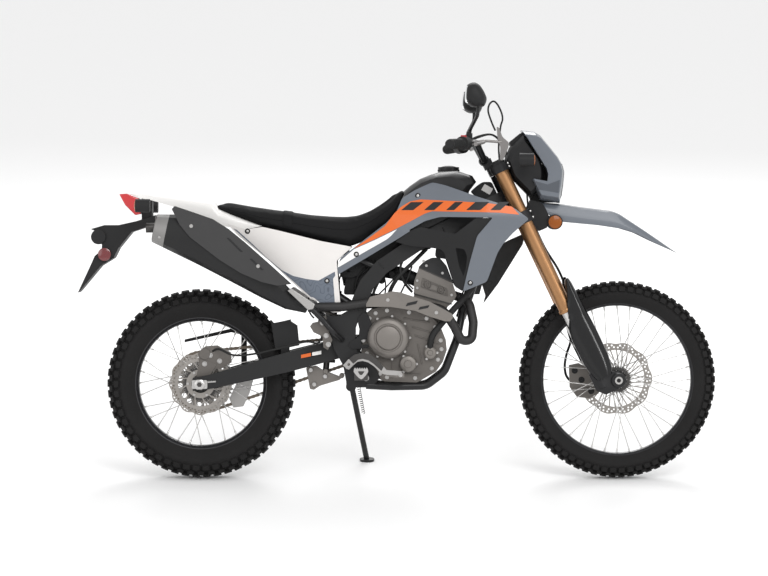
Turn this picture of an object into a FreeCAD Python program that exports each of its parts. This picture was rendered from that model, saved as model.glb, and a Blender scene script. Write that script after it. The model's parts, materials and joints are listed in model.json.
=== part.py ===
import FreeCAD, Part
import math
import os

import Sketcher
from FreeCAD import Placement, Rotation, Vector

# A dual sport motorcycle, modelled upright in its own frame: +X forward, +Y to its left, +Z up,
# the ground at zero and X zero midway between the axles. Right-hand pieces lie at negative Y.
# Each sub-part then gets the stance placement, which leans the machine left onto its side stand.

SIZES = {
    # stance, fits and gaps
    "wheelbase": 1455.0,
    "lean_angle": 10.0,
    "fit_gap": 0.05,
    "pin_gap": 0.3,
    "panel_gap": 1.0,
    "moving_gap": 5.0,
    "overrun": 10.0,
    # rear wheel
    "rear_tyre_radius": 330.0,
    "rear_tyre_half_width": 61.0,
    "rear_bead_radius": 228.0,
    "rear_rim_half_width": 37.0,
    "rear_rim_inner_radius": 217.0,
    "rear_rim_flange_radius": 243.0,
    "rear_hub_radius": 27.0,
    "rear_hub_flange_radius": 50.0,
    "rear_hub_half_width": 36.0,
    "rear_axle_radius": 10.0,
    "rear_axle_half_length": 128.0,
    "rear_disc_radius": 110.0,
    "rear_disc_inner_radius": 74.0,
    "rear_disc_y": -62.0,
    "sprocket_y": 84.0,
    # front wheel
    "front_tyre_radius": 344.0,
    "front_tyre_half_width": 44.0,
    "front_bead_radius": 266.0,
    "front_rim_half_width": 26.0,
    "front_rim_inner_radius": 257.0,
    "front_rim_flange_radius": 280.0,
    "front_hub_radius": 22.0,
    "front_hub_flange_radius": 36.0,
    "front_hub_half_width": 33.0,
    "front_axle_radius": 10.0,
    "front_axle_bore_radius": 7.0,
    "front_disc_radius": 128.0,
    "front_disc_inner_radius": 96.0,
    "front_disc_y": 58.0,
    # sizes that both wheels share
    "rim_wall": 4.0,
    "tyre_lift": 11.0,
    "spoke_width": 3.6,
    "hub_flange_thickness": 6.0,
    "disc_thickness": 4.0,
    "disc_wave": 5.0,
    "disc_arm_width": 16.0,
    "pad_gap": 3.0,
    # sprockets and chain
    "chain_pitch": 15.875,
    "chain_height": 14.0,
    "chain_width": 14.0,
    "inner_link_height": 11.0,
    "inner_link_width": 9.0,
    "sprocket_thickness": 6.0,
    "tooth_depth": 5.0,
    "tooth_gap": 0.6,
    "output_shaft_x": -125.0,
    "output_shaft_z": 462.0,
    "output_shaft_radius": 12.0,
    "guard_plate_wall": 4.0,
    "chain_guard_x": -791.0,
    "chain_guard_z": 470.0,
    "chain_guard_length": 374.0,
    "chain_guard_height": 81.0,
    "chain_guide_x": -634.0,
    "chain_guide_z": 240.0,
    "chain_guide_length": 88.0,
    "chain_guide_height": 112.0,
    # swingarm
    "pivot_x": -198.0,
    "pivot_z": 464.0,
    "pivot_bolt_radius": 9.0,
    "pivot_boss_radius": 34.0,
    "arm_half_width": 13.0,
    "arm_front_y": 58.0,
    "arm_rear_y": 106.0,
    "arm_height": 72.0,
    "arm_tail_height": 46.0,
    "arm_tail": 24.0,
    "axle_nut_radius": 17.0,
    "axle_nut_thickness": 12.0,
    # rear suspension and brake
    "shock_x": -292.0,
    "shock_z": 372.0,
    "shock_lean_x": 30.0,
    "shock_rise": 318.0,
    "shock_radius": 18.0,
    "spring_radius": 30.0,
    "link_x": -361.0,
    "link_z": 307.0,
    "link_length": 140.0,
    "link_height": 84.0,
    "link_half_width": 26.0,
    "rear_caliper_x": -735.0,
    "rear_caliper_z": 380.0,
    "rear_caliper_length": 116.0,
    "rear_caliper_height": 84.0,
    "caliper_half_width": 18.0,
    "piston_radius": 19.0,
    "master_x": -344.0,
    "master_z": 450.0,
    "master_length": 78.0,
    "master_height": 118.0,
    "master_depth": 30.0,
    "mudflap_x": -480.0,
    "mudflap_z": 447.0,
    "mudflap_length": 98.0,
    "mudflap_height": 105.0,
    # steering and fork
    "rake_angle": 25.2,
    "axle_lead": 60.5,
    "clamp_offset": 12.0,
    "steering_lock": 43.0,
    "fork_half_spread": 97.0,
    "fork_outer_radius": 25.0,
    "fork_inner_radius": 21.5,
    "fork_outer_low": 300.0,
    "fork_bore_depth": 60.0,
    "fork_top": 866.0,
    "lower_clamp_along": 632.0,
    "upper_clamp_along": 828.0,
    "lower_clamp_height": 42.0,
    "upper_clamp_height": 28.0,
    "clamp_wall": 8.0,
    "stem_radius": 15.0,
    "head_tube_radius": 28.0,
    "head_tube_gap": 1.0,
    "axle_lug_radius": 26.0,
    "axle_lug_width": 34.0,
    "axle_lug_top": 62.0,
    "guard_wall": 3.0,
    "guard_reach": 34.0,
    "guard_mount_height": 24.0,
    "guard_x": 549.0,
    "guard_z": 358.0,
    "guard_length": 170.0,
    "guard_height": 322.0,
    "front_caliper_x": 562.0,
    "front_caliper_z": 275.0,
    "front_caliper_length": 105.0,
    "front_caliper_height": 123.0,
    # frame
    "spar_x": -180.0,
    "spar_z": 560.0,
    "spar_length": 532.0,
    "spar_height": 428.0,
    "spar_side": 86.0,
    "spar_half_width": 15.0,
    "spar_half_height": 27.0,
    "plate_x": -316.0,
    "plate_z": 319.0,
    "plate_length": 215.0,
    "plate_height": 305.0,
    "plate_side": 98.0,
    "plate_thickness": 10.0,
    "cross_tube_radius": 14.0,
    "cradle_x": -150.0,
    "cradle_z": 321.0,
    "cradle_length": 336.0,
    "cradle_height": 254.0,
    "cradle_side": 93.0,
    "cradle_radius": 13.0,
    "cradle_bend": 60.0,
    "down_tube_radius": 18.0,
    "rail_x": -640.0,
    "rail_z": 730.0,
    "rail_length": 540.0,
    "rail_height": 175.0,
    "rail_side": 80.0,
    "rail_radius": 12.0,
    "brace_x": -560.0,
    "brace_z": 600.0,
    "brace_length": 365.0,
    "brace_height": 268.0,
    "peg_bracket_x": -350.0,
    "peg_bracket_z": 484.0,
    "peg_bracket_length": 118.0,
    "peg_bracket_height": 122.0,
    "peg_bracket_side": 160.0,
    "peg_bracket_radius": 10.0,
    # engine
    "case_x": -178.0,
    "case_z": 335.0,
    "case_length": 309.0,
    "case_height": 267.0,
    "case_right": 88.0,
    "case_left": 68.0,
    "clutch_x": -72.4,
    "clutch_z": 492.0,
    "clutch_radius": 73.0,
    "clutch_depth": 40.0,
    "clutch_disc_radius": 44.0,
    "clutch_disc_depth": 8.0,
    "filter_x": -4.0,
    "filter_z": 401.0,
    "filter_radius": 31.0,
    "filter_depth": 34.0,
    "pump_x": 73.0,
    "pump_z": 440.0,
    "pump_radius": 24.0,
    "pump_depth": 26.0,
    "generator_x": 0.0,
    "generator_z": 440.0,
    "generator_radius": 70.0,
    "generator_depth": 58.0,
    "cylinder_x": -4.0,
    "cylinder_z": 533.0,
    "cylinder_length": 170.0,
    "cylinder_height": 202.0,
    "cylinder_half_width": 62.0,
    "head_cover_x": 34.0,
    "head_cover_z": 682.0,
    "head_cover_length": 118.0,
    "head_cover_height": 87.0,
    # exhaust
    "exhaust_x": -352.0,
    "exhaust_z": 480.0,
    "exhaust_length": 576.0,
    "exhaust_height": 160.0,
    "exhaust_side": 126.0,
    "exhaust_radius": 16.0,
    "exhaust_bend": 60.0,
    "muffler_x": -880.0,
    "muffler_z": 597.0,
    "muffler_length": 528.0,
    "muffler_height": 276.0,
    "muffler_side": 160.0,
    "muffler_half_width": 60.0,
    "muffler_half_height": 75.0,
    "shield_x": -817.0,
    "shield_z": 675.0,
    "shield_length": 413.0,
    "shield_height": 274.0,
    "shield_wall": 4.0,
    "header_shield_x": -149.0,
    "header_shield_z": 550.0,
    "header_shield_length": 301.0,
    "header_shield_height": 104.0,
    # bodywork
    "tank_x": -137.0,
    "tank_z": 831.0,
    "tank_length": 371.0,
    "tank_height": 241.0,
    "tank_half_width": 126.0,
    "tank_waist": 64.0,
    "cap_x": 138.0,
    "cap_radius": 37.0,
    "cap_height": 14.0,
    "seat_x": -676.0,
    "seat_z": 807.0,
    "seat_length": 658.0,
    "seat_height": 203.0,
    "seat_half_width": 118.0,
    "seat_gap": 0.5,
    "shroud_x": -252.0,
    "shroud_z": 653.0,
    "shroud_length": 665.0,
    "shroud_height": 379.0,
    "shroud_half_width": 200.0,
    "shroud_wall": 4.0,
    "grille_x": -49.0,
    "grille_z": 653.0,
    "grille_length": 338.0,
    "grille_height": 255.0,
    "cover_x": -633.0,
    "cover_z": 580.0,
    "cover_length": 435.0,
    "cover_height": 309.0,
    "cover_half_width": 138.0,
    "cover_wall": 4.0,
    "airbox_half_width": 66.0,
    "fender_x": -980.0,
    "fender_z": 868.0,
    "fender_length": 469.0,
    "fender_height": 125.0,
    "fender_half_width": 104.0,
    "fender_wall": 4.0,
    "bracket_x": -1156.0,
    "bracket_z": 647.0,
    "bracket_length": 271.0,
    "bracket_height": 271.0,
    "bracket_half_width": 58.0,
    "neck_x": -934.0,
    "neck_z": 890.0,
    "neck_length": 36.0,
    "neck_width": 80.0,
    "lamp_x": -1011.0,
    "lamp_z": 918.0,
    "lamp_length": 77.0,
    "lamp_height": 75.0,
    "lamp_half_width": 62.0,
    "reflector_radius": 26.0,
    "reflector_depth": 10.0,
    "rear_signal_x": -918.0,
    "rear_signal_z": 950.0,
    "rear_signal_reach": 190.0,
    "signal_radius": 23.0,
    "signal_length": 50.0,
    "stalk_radius": 8.0,
    "radiator_x": 215.0,
    "radiator_z": 640.0,
    "radiator_length": 85.0,
    "radiator_height": 190.0,
    "radiator_depth": 32.0,
    "radiator_inner_y": 34.0,
    "radiator_outer_y": 108.0,
    "stay_radius": 5.0,
    "louvre_x": 263.0,
    "louvre_z": 606.0,
    "louvre_length": 149.0,
    "louvre_height": 250.0,
    "louvre_inner_y": 128.0,
    "louvre_outer_y": 152.0,
    # feet
    "peg_x": -166.0,
    "peg_z": 364.0,
    "peg_width": 46.0,
    "peg_height": 30.0,
    "peg_inner_y": 128.0,
    "peg_outer_y": 236.0,
    "peg_wall": 5.0,
    "pedal_x": -221.0,
    "pedal_z": 364.0,
    "pedal_length": 189.0,
    "pedal_height": 69.0,
    "pedal_radius": 7.0,
    "pedal_side": 150.0,
    "pad_length": 30.0,
    "pad_width": 40.0,
    "shift_x": -90.0,
    "shift_z": 372.0,
    "shift_length": 130.0,
    "shift_radius": 6.0,
    # side stand
    "stand_pivot_x": -205.0,
    "stand_pivot_y": 128.0,
    "stand_pivot_z": 322.0,
    "stand_axis_tilt": 18.7,
    "stand_foot_x": -150.0,
    "stand_foot_y": 250.0,
    "stand_leg_radius": 10.0,
    "stand_foot_radius": 26.0,
    "stand_foot_thickness": 8.0,
    "stand_bolt_radius": 6.0,
    "stand_head_radius": 18.0,
    "stand_head_thickness": 14.0,
    # front bodywork
    "front_fender_x": 455.0,
    "front_fender_z": 784.0,
    "front_fender_length": 484.0,
    "front_fender_height": 179.0,
    "front_fender_half_width": 66.0,
    "front_fender_wall": 4.0,
    "fender_root_x": 385.0,
    "fender_root_z": 863.0,
    "fender_root_length": 108.0,
    "fender_root_height": 108.0,
    "fender_root_half_width": 62.0,
    "cowl_x": 389.0,
    "cowl_z": 960.0,
    "cowl_length": 150.0,
    "cowl_height": 254.0,
    "cowl_half_width": 120.0,
    "lamp_house_x": 333.0,
    "lamp_house_z": 967.0,
    "lamp_house_length": 150.0,
    "lamp_house_height": 233.0,
    "lamp_house_half_width": 104.0,
    "front_signal_x": 405.0,
    "front_signal_z": 1108.0,
    "front_signal_reach": 180.0,
    # handlebar
    "bar_x": 137.0,
    "bar_z": 1108.0,
    "bar_length": 125.0,
    "bar_height": 60.0,
    "bar_half_span": 412.0,
    "bar_radius": 11.1,
    "bar_bend": 36.0,
    "bar_clamp_radius": 18.0,
    "bar_clamp_width": 26.0,
    "bar_clamp_y": 36.0,
    "grip_radius": 16.5,
    "grip_length": 122.0,
    "switch_length": 46.0,
    "switch_radius": 24.0,
    "lever_length": 180.0,
    "lever_height": 18.0,
    "lever_thickness": 9.0,
    "mirror_x": 189.0,
    "mirror_z": 1285.0,
    "mirror_length": 75.0,
    "mirror_height": 85.0,
    "mirror_y": 330.0,
    "mirror_half_width": 74.0,
    "mirror_stem_radius": 6.0,
}

SECTORS = 18
FRONT_SPOKES = 36
REAR_SPOKES = 32
REAR_TEETH = 42
FRONT_TEETH = 14
DISC_LOBES = 10
DISC_ARMS = 5

# Outlines: each point is a share of the piece's length and of its height
SEAT_SHARES = [
    (0.0, 0.718), (0.084, 0.735), (0.295, 0.624), (0.505, 0.53), (0.689, 0.496), (0.821, 0.598),
    (0.926, 0.821), (0.968, 0.974), (0.989, 1.0), (1.0, 0.906), (0.979, 0.752), (0.9, 0.393),
    (0.821, 0.188), (0.726, 0.0), (0.558, 0.103), (0.347, 0.274), (0.163, 0.479), (0.016, 0.658),
]
SHROUD_SHARES = [
    (1.0, 0.664), (0.922, 0.764), (0.746, 0.859), (0.565, 0.973), (0.497, 1.0), (0.409, 0.927),
    (0.342, 0.855), (0.311, 0.718), (0.259, 0.627), (0.124, 0.445), (0.021, 0.309), (0.0, 0.2),
    (0.073, 0.273), (0.28, 0.464), (0.461, 0.645), (0.539, 0.682), (0.813, 0.677), (0.731, 0.509),
    (0.694, 0.273), (0.658, 0.0), (0.782, 0.091), (0.837, 0.355), (0.865, 0.436), (0.917, 0.536),
]
GRILLE_SHARES = [
    (0.0, 0.676), (0.153, 0.824), (0.255, 0.878), (0.612, 0.784), (0.827, 1.0), (1.0, 1.0),
    (0.837, 0.757), (0.765, 0.405), (0.694, 0.0), (0.612, 0.068), (0.592, 0.162), (0.5, 0.541),
    (0.459, 0.581), (0.153, 0.622),
]
COVER_SHARES = [
    (0.0, 1.0), (0.095, 0.86), (0.349, 0.57), (0.508, 0.358), (0.667, 0.156), (0.73, 0.123),
    (0.802, 0.022), (0.849, 0.0), (0.913, 0.0), (0.889, 0.369), (0.877, 0.581), (1.0, 0.737),
    (0.746, 0.804), (0.429, 0.916), (0.286, 0.961), (0.151, 0.933),
]
AIRBOX_SHARES = [
    (0.16, 0.9), (0.3, 0.66), (0.56, 0.36), (0.72, 0.2), (0.88, 0.12), (0.86, 0.6), (0.9, 0.7),
]
FENDER_SHARES = [
    (0.0, 1.0), (0.17, 0.986), (0.644, 0.792), (0.667, 0.597), (0.874, 0.292), (1.0, 0.097),
    (0.874, 0.0), (0.748, 0.069), (0.674, 0.125), (0.63, 0.292), (0.43, 0.542), (0.17, 0.819),
    (0.089, 0.875),
]
SHIELD_SHARES = [
    (0.0, 0.962), (0.025, 1.0), (0.15, 0.937), (0.342, 0.836), (0.475, 0.711), (0.608, 0.547),
    (0.817, 0.27), (1.0, 0.019), (0.875, 0.0), (0.75, 0.044), (0.575, 0.157), (0.4, 0.321),
    (0.15, 0.61), (0.067, 0.761),
]
HEADER_SHIELD_SHARES = [
    (0.0, 0.583), (0.046, 0.817), (0.299, 1.0), (0.391, 0.967), (0.736, 0.65), (0.989, 0.25),
    (1.0, 0.117), (0.966, 0.0), (0.908, 0.0), (0.736, 0.15), (0.563, 0.35), (0.276, 0.483),
    (0.0, 0.483),
]
CASE_SHARES = [
    (0.022, 0.753), (0.079, 0.883), (0.157, 0.961), (0.303, 1.0), (0.584, 0.974), (0.809, 0.883),
    (0.921, 0.753), (0.989, 0.558), (1.0, 0.429), (0.955, 0.273), (0.876, 0.143), (0.663, 0.0),
    (0.303, 0.013), (0.213, 0.065), (0.045, 0.364), (0.0, 0.558),
]
CYLINDER_SHARES = [
    (0.224, 1.0), (0.918, 0.741), (1.0, 0.517), (0.816, 0.345), (0.612, 0.0), (0.0, 0.241),
    (0.122, 0.517), (0.122, 0.759),
]
HEAD_COVER_SHARES = [(0.0, 0.6), (0.147, 0.84), (0.382, 1.0), (0.618, 1.0), (0.824, 0.68), (1.0, 0.0)]
COWL_SHARES = [
    (0.0, 1.0), (0.302, 0.979), (0.442, 0.932), (0.674, 0.767), (0.86, 0.63), (0.953, 0.534),
    (1.0, 0.425), (0.977, 0.247), (0.907, 0.0), (0.442, 0.041), (0.233, 0.301), (0.605, 0.26),
    (0.628, 0.37), (0.581, 0.466), (0.209, 0.808), (0.07, 0.945),
]
LAMP_HOUSE_SHARES = [
    (0.116, 0.806), (0.419, 1.0), (0.581, 0.851), (0.814, 0.642), (0.88, 0.5), (0.9, 0.373),
    (0.88, 0.254), (0.767, 0.15), (0.605, 0.05), (0.163, 0.343), (0.0, 0.612),
]
FRONT_FENDER_SHARES = [
    (0.0, 1.0), (0.151, 0.971), (0.288, 0.913), (0.518, 0.835), (0.576, 0.777), (0.755, 0.456),
    (0.935, 0.117), (1.0, 0.0), (0.95, 0.068), (0.791, 0.262), (0.683, 0.408), (0.576, 0.495),
    (0.432, 0.553), (0.158, 0.621), (0.058, 0.786),
]
FENDER_ROOT_SHARES = [
    (0.355, 1.0), (0.742, 0.903), (0.903, 0.581), (1.0, 0.355), (0.871, 0.097), (0.645, 0.0),
    (0.258, 0.161), (0.0, 0.29),
]
TANK_SHARES = [
    (0.311, 0.696), (0.377, 0.783), (0.472, 0.884), (0.566, 0.942), (0.66, 0.986), (0.821, 1.0),
    (0.962, 0.928), (1.0, 0.841), (0.934, 0.71), (0.868, 0.362), (0.66, 0.116), (0.377, 0.058),
    (0.142, 0.058), (0.0, 0.0), (0.094, 0.174), (0.226, 0.377), (0.283, 0.536),
]
BRACKET_SHARES = [
    (1.0, 1.0), (0.756, 0.923), (0.526, 0.872), (0.346, 0.872), (0.167, 0.821), (0.321, 0.756),
    (0.308, 0.551), (0.218, 0.474), (0.167, 0.359), (0.0, 0.0), (0.038, 0.038), (0.295, 0.346),
    (0.462, 0.449), (0.526, 0.577), (0.692, 0.782), (0.885, 0.846), (1.0, 0.885),
]
LAMP_SHARES = [
    (0.0, 0.977), (0.364, 1.0), (0.909, 0.767), (0.818, 0.419), (1.0, 0.047), (0.727, 0.0),
    (0.273, 0.465),
]
PLATE_SHARES = [
    (0.468, 0.864), (0.548, 1.0), (0.677, 0.83), (0.597, 0.659), (0.597, 0.545), (0.629, 0.409),
    (0.871, 0.318), (1.0, 0.114), (0.871, 0.0), (0.468, 0.0), (0.403, 0.25), (0.258, 0.432),
    (0.161, 0.659), (0.0, 0.818), (0.355, 0.818),
]
MIRROR_SHARES = [
    (0.045, 0.84), (0.227, 0.96), (0.455, 1.0), (0.682, 0.88), (0.864, 0.64), (1.0, 0.36),
    (0.977, 0.2), (0.864, 0.0), (0.318, 0.0), (0.0, 0.2), (0.0, 0.48),
]
GUARD_SHARES = [
    (0.02, 1.0), (0.082, 1.0), (0.184, 0.935), (0.653, 0.452), (0.918, 0.129), (1.0, 0.0),
    (0.898, 0.0), (0.612, 0.054), (0.449, 0.183), (0.204, 0.505), (0.041, 0.72), (0.0, 0.849),
]
LOUVRE_SHARES = [
    (0.628, 0.903), (1.0, 1.0), (0.93, 0.833), (0.349, 0.278), (0.0, 0.0), (0.047, 0.111),
    (-0.05, 0.3), (0.1, 0.736),
]
LINK_SHARES = [
    (0.0, 0.92), (0.25, 1.0), (0.4, 0.83), (0.85, 0.54), (1.0, 0.75), (0.85, 0.42), (0.35, 0.17),
    (0.2, 0.0), (0.1, 0.04), (0.05, 0.5),
]
REAR_CALIPER_SHARES = [
    (0.0, 0.71), (0.21, 0.96), (0.57, 1.0), (0.97, 0.71), (1.0, 0.29), (0.69, 0.05), (0.27, 0.0),
    (0.03, 0.21),
]
FRONT_CALIPER_SHARES = [
    (0.0, 0.94), (0.33, 1.0), (0.67, 0.83), (0.93, 0.54), (1.0, 0.14), (0.67, 0.0), (0.27, 0.03),
    (0.03, 0.31),
]
MASTER_SHARES = [
    (0.12, 0.8), (0.35, 0.83), (0.4, 1.0), (0.72, 1.0), (0.8, 0.58), (1.0, 0.3), (0.8, 0.0),
    (0.6, 0.08), (0.56, 0.4), (0.16, 0.52), (0.0, 0.7),
]
MUDFLAP_SHARES = [(0.0, 0.9), (0.65, 1.0), (0.93, 0.83), (1.0, 0.17), (0.15, 0.0)]
CHAIN_GUARD_SHARES = [
    (0.0, 0.0), (0.44, 0.44), (0.53, 0.34), (1.0, 0.88), (1.0, 1.0), (0.53, 0.49), (0.44, 0.6),
    (0.0, 0.12),
]
CHAIN_GUIDE_SHARES = [(0.36, 0.88), (1.0, 1.0), (0.8, 0.44), (0.56, 0.04), (0.17, 0.0), (0.0, 0.28)]

# Routes on the right: shares of length, of the greatest distance from the centre plane, of height
SPAR_SHARES = [
    (1.0, 0.256, 1.0), (0.846, 0.349, 0.902), (0.564, 0.977, 0.715), (0.383, 0.977, 0.6),
    (0.16, 0.977, 0.416), (0.062, 0.977, 0.273), (0.015, 0.977, 0.14), (0.0, 1.0, 0.0),
]
CRADLE_SHARES = [
    (1.0, 0.172, 1.0), (0.94, 0.624, 0.626), (0.815, 0.796, 0.201), (0.625, 0.882, 0.008),
    (0.268, 0.968, 0.0), (0.0, 1.0, 0.02),
]
RAIL_SHARES = [(1.0, 1.0, 0.0), (0.722, 0.95, 0.4), (0.407, 0.95, 0.657), (0.0, 0.95, 1.0)]
BRACE_SHARES = [(1.0, 1.0, 0.0), (0.63, 1.0, 0.336), (0.0, 0.952, 1.0)]
PEG_BRACKET_SHARES = [(1.0, 0.625, 0.0), (0.746, 0.925, 0.23), (0.381, 1.0, 0.639), (0.0, 1.0, 1.0)]
EXHAUST_SHARES = [
    (0.872, 0.238, 1.0), (0.972, 0.365, 0.887), (1.0, 0.492, 0.406), (0.99, 0.651, 0.025),
    (0.927, 0.762, 0.0), (0.885, 0.794, 0.312), (0.816, 0.81, 0.688), (0.646, 0.857, 0.825),
    (0.495, 0.921, 0.912), (0.351, 0.96, 0.825), (0.212, 0.976, 0.75), (0.0, 1.0, 0.738),
]
MUFFLER_SHARES = [
    (1.0, 0.787, 0.0), (0.881, 0.838, 0.087), (0.748, 0.906, 0.268), (0.568, 0.969, 0.525),
    (0.35, 1.0, 0.779), (0.152, 1.0, 0.938), (0.0, 0.988, 1.0),
]
MUFFLER_SECTION_SHARES = [
    (0.33, 0.27), (0.5, 0.43), (0.73, 0.64), (0.93, 0.88), (1.0, 1.0), (0.97, 0.92), (0.77, 0.66),
]
BAR_SHARES = [(1.0, 0.0, 0.0), (1.0, 0.17, 0.0), (0.76, 0.364, 1.0), (0.0, 1.0, 0.817)]
PEDAL_SHARES = [
    (0.0, 0.76, 0.387), (0.111, 0.8, 0.69), (0.206, 0.9, 0.94), (0.317, 1.0, 1.0),
    (0.444, 1.0, 0.84), (0.593, 1.0, 0.49), (0.72, 1.0, 0.107), (0.852, 1.0, 0.0), (1.0, 1.0, 0.0),
]

doc = FreeCAD.newDocument("motorcycle")
sheet = doc.addObject("Spreadsheet::Sheet", "sizes")


class Bound:
    """A size that carries the sheet expression it comes from, for use in sketches."""

    def __init__(self, value, text):
        self.value = float(value)
        self.text = text

    def __float__(self):
        return self.value

    def joined(self, other, sign, value):
        text = other.text if isinstance(other, Bound) else repr(other)
        return Bound(value, f"({self.text} {sign} {text})")

    def __add__(self, other):
        return self.joined(other, "+", self.value + float(other))

    def __sub__(self, other):
        return self.joined(other, "-", self.value - float(other))

    def __mul__(self, other):
        return self.joined(other, "*", self.value * float(other))

    def __neg__(self):
        return Bound(-self.value, f"(-1 * {self.text})")


class Table:
    """Holds each size under its own name."""


size = Table()
bound = Table()
for row, (alias, value) in enumerate(SIZES.items(), start=1):
    sheet.set(f"A{row}", alias)
    sheet.set(f"B{row}", str(value))
    sheet.setAlias(f"B{row}", alias)
doc.recompute()
for alias in SIZES:
    setattr(size, alias, float(sheet.get(alias)))
    setattr(bound, alias, Bound(sheet.get(alias), f"sizes.{alias}"))


def xyz(x, y, z):
    return Vector(float(x), float(y), float(z))


LEFT = Vector(0, 1, 0)
UP = Vector(0, 0, 1)
FORWARD = Vector(1, 0, 0)
CENTRE = Vector(0, 0, 0)

rear_axle = xyz(-size.wheelbase / 2, 0, size.rear_tyre_radius)
front_axle = xyz(size.wheelbase / 2, 0, size.front_tyre_radius)
pivot = xyz(size.pivot_x, 0, size.pivot_z)
output_shaft = xyz(size.output_shaft_x, 0, size.output_shaft_z)
stem_back = -(size.axle_lead + size.clamp_offset)
fork_frame = Placement(front_axle, Rotation(LEFT, -size.rake_angle))
stance = Placement(CENTRE, Rotation(FORWARD, -size.lean_angle))


def on_fork(ahead, side, along):
    """The place that is so far ahead of the front axle, to its left, and up along the fork."""
    return fork_frame.multVec(xyz(ahead, side, along))


def from_fork(shape):
    """Takes a shape from the fork's own directions to the machine's."""
    return shape.transformed(fork_frame.toMatrix())


along_fork = on_fork(0, 0, 1) - front_axle
parts = []


def finish_part(label, feature):
    """Names a sub-part and leans it with the machine."""
    feature.Label = label
    feature.Placement = stance.multiply(feature.Placement)
    parts.append(feature)
    return feature


def keep(label, shape):
    """Adds a sub-part from a finished shape."""
    feature = doc.addObject("Part::Feature", label)
    feature.Shape = shape
    return finish_part(label, feature)


def mirrored(shape):
    return shape.mirror(CENTRE, LEFT)


def both_sides(shape):
    """The shape and its mirror image across the centre plane."""
    return Part.makeCompound(shape.Solids + mirrored(shape).Solids)


def largest(shape):
    """The largest solid of a shape that a cut has left in pieces."""
    return max(shape.Solids, key=lambda solid: solid.Volume)


def fused(*shapes):
    """One shape made of shapes that run into each other."""
    return shapes[0].multiFuse(list(shapes[1:])).removeSplitter()


def rod(start, end, radius):
    run = end - start
    return Part.makeCylinder(radius, run.Length, start, run)


def cross_rod(x, z, from_y, to_y, radius):
    """A round bar that lies across the machine."""
    return rod(xyz(x, from_y, z), xyz(x, to_y, z), radius)


def bent_tube(points, radius, bend):
    """A round tube along straight runs, with an arc at each corner that both its runs have room for."""
    pieces = []
    start = points[0]
    for before, corner, after in zip(points, points[1:], points[2:]):
        back = (before - corner).normalize()
        ahead = (after - corner).normalize()
        turn = math.pi - back.getAngle(ahead)
        room = 0.45 * min((before - corner).Length, (after - corner).Length)
        arc_radius = min(bend, room / math.tan(turn / 2))
        reach = arc_radius * math.tan(turn / 2)
        middle = corner + (back + ahead).normalize() * (arc_radius / math.cos(turn / 2))
        arc_start = corner + back * reach
        pieces.append(rod(start, arc_start, radius))
        disc = Part.Face(Part.Wire([Part.makeCircle(radius, arc_start, back)]))
        pieces.append(disc.revolve(middle, ahead.cross(back), math.degrees(turn)))
        start = corner + ahead * reach
    pieces.append(rod(start, points[-1], radius))
    return fused(*pieces)


def outline(name, shares):
    """Outline points in XZ, from shares of the named piece's length and height."""
    low_x, low_z = getattr(size, name + "_x"), getattr(size, name + "_z")
    length, height = getattr(size, name + "_length"), getattr(size, name + "_height")
    return [(low_x + a * length, low_z + b * height) for a, b in shares]


def route(name, shares, side):
    """Points on the machine's right, from shares of the named route's length and height."""
    low_x, low_z = getattr(size, name + "_x"), getattr(size, name + "_z")
    length, height = getattr(size, name + "_length"), getattr(size, name + "_height")
    return [xyz(low_x + a * length, -b * side, low_z + c * height) for a, b, c in shares]


def outline_face(points, y):
    corners = [xyz(x, y, z) for x, z in points]
    return Part.Face(Part.makePolygon(corners + corners[:1]))


def slab(points, from_y, to_y):
    """An outline in XZ, carried across the machine from one Y to another."""
    return outline_face(points, from_y).extrude(xyz(0, to_y - from_y, 0))


def sections_solid(sections):
    """A closed solid with straight edges through sections that have the same count of points."""
    wires = [Part.makePolygon(section + section[:1]) for section in sections]
    return Part.makeLoft(wires, True, True)


def shrunk(points, share):
    """Outline points drawn in towards their middle."""
    mid_x = sum(x for x, z in points) / len(points)
    mid_z = sum(z for x, z in points) / len(points)
    return [(mid_x + (x - mid_x) * share, mid_z + (z - mid_z) * share) for x, z in points]


BULGE_SHARES = [(-1.0, 0.8), (-0.86, 0.93), (-0.5, 1.0), (0.5, 1.0), (0.86, 0.93), (1.0, 0.8)]


def bulged(points, half_width, bulge=BULGE_SHARES):
    """A body with its outline on the centre plane, drawn in towards both sides."""
    sections = []
    for side_share, outline_share in bulge:
        row = shrunk(points, outline_share)
        sections.append([xyz(x, side_share * half_width, z) for x, z in row])
    return sections_solid(sections)


def directions(stations, index):
    """Unit vectors along, up from and across a beam at one of its stations."""
    behind = stations[max(index - 1, 0)][0]
    beyond = stations[min(index + 1, len(stations) - 1)][0]
    along = (beyond - behind).normalize()
    upward = along.cross(LEFT).normalize()
    return along, upward, upward.cross(along).normalize()


def box_beam(stations):
    """A beam of rectangular section through (centre, half_width, half_height) stations."""
    sections = []
    for index, (centre, half_width, half_height) in enumerate(stations):
        along, upward, side = directions(stations, index)
        out, rise = side * half_width, upward * half_height
        sections.append([centre + out + rise, centre + out - rise, centre - out - rise, centre - out + rise])
    return sections_solid(sections)


def oval_beam(stations):
    """A beam of twelve-sided oval section through (centre, half_width, half_height) stations."""
    sections = []
    for index, (centre, half_width, half_height) in enumerate(stations):
        along, upward, side = directions(stations, index)
        row = []
        for corner in range(12):
            turn = math.pi / 12 + corner * math.pi / 6
            across = math.copysign(abs(math.cos(turn)) ** 0.7, math.cos(turn)) * half_width
            rise = math.copysign(abs(math.sin(turn)) ** 0.7, math.sin(turn)) * half_height
            row.append(centre + side * across + upward * rise)
        sections.append(row)
    return sections_solid(sections)


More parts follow.
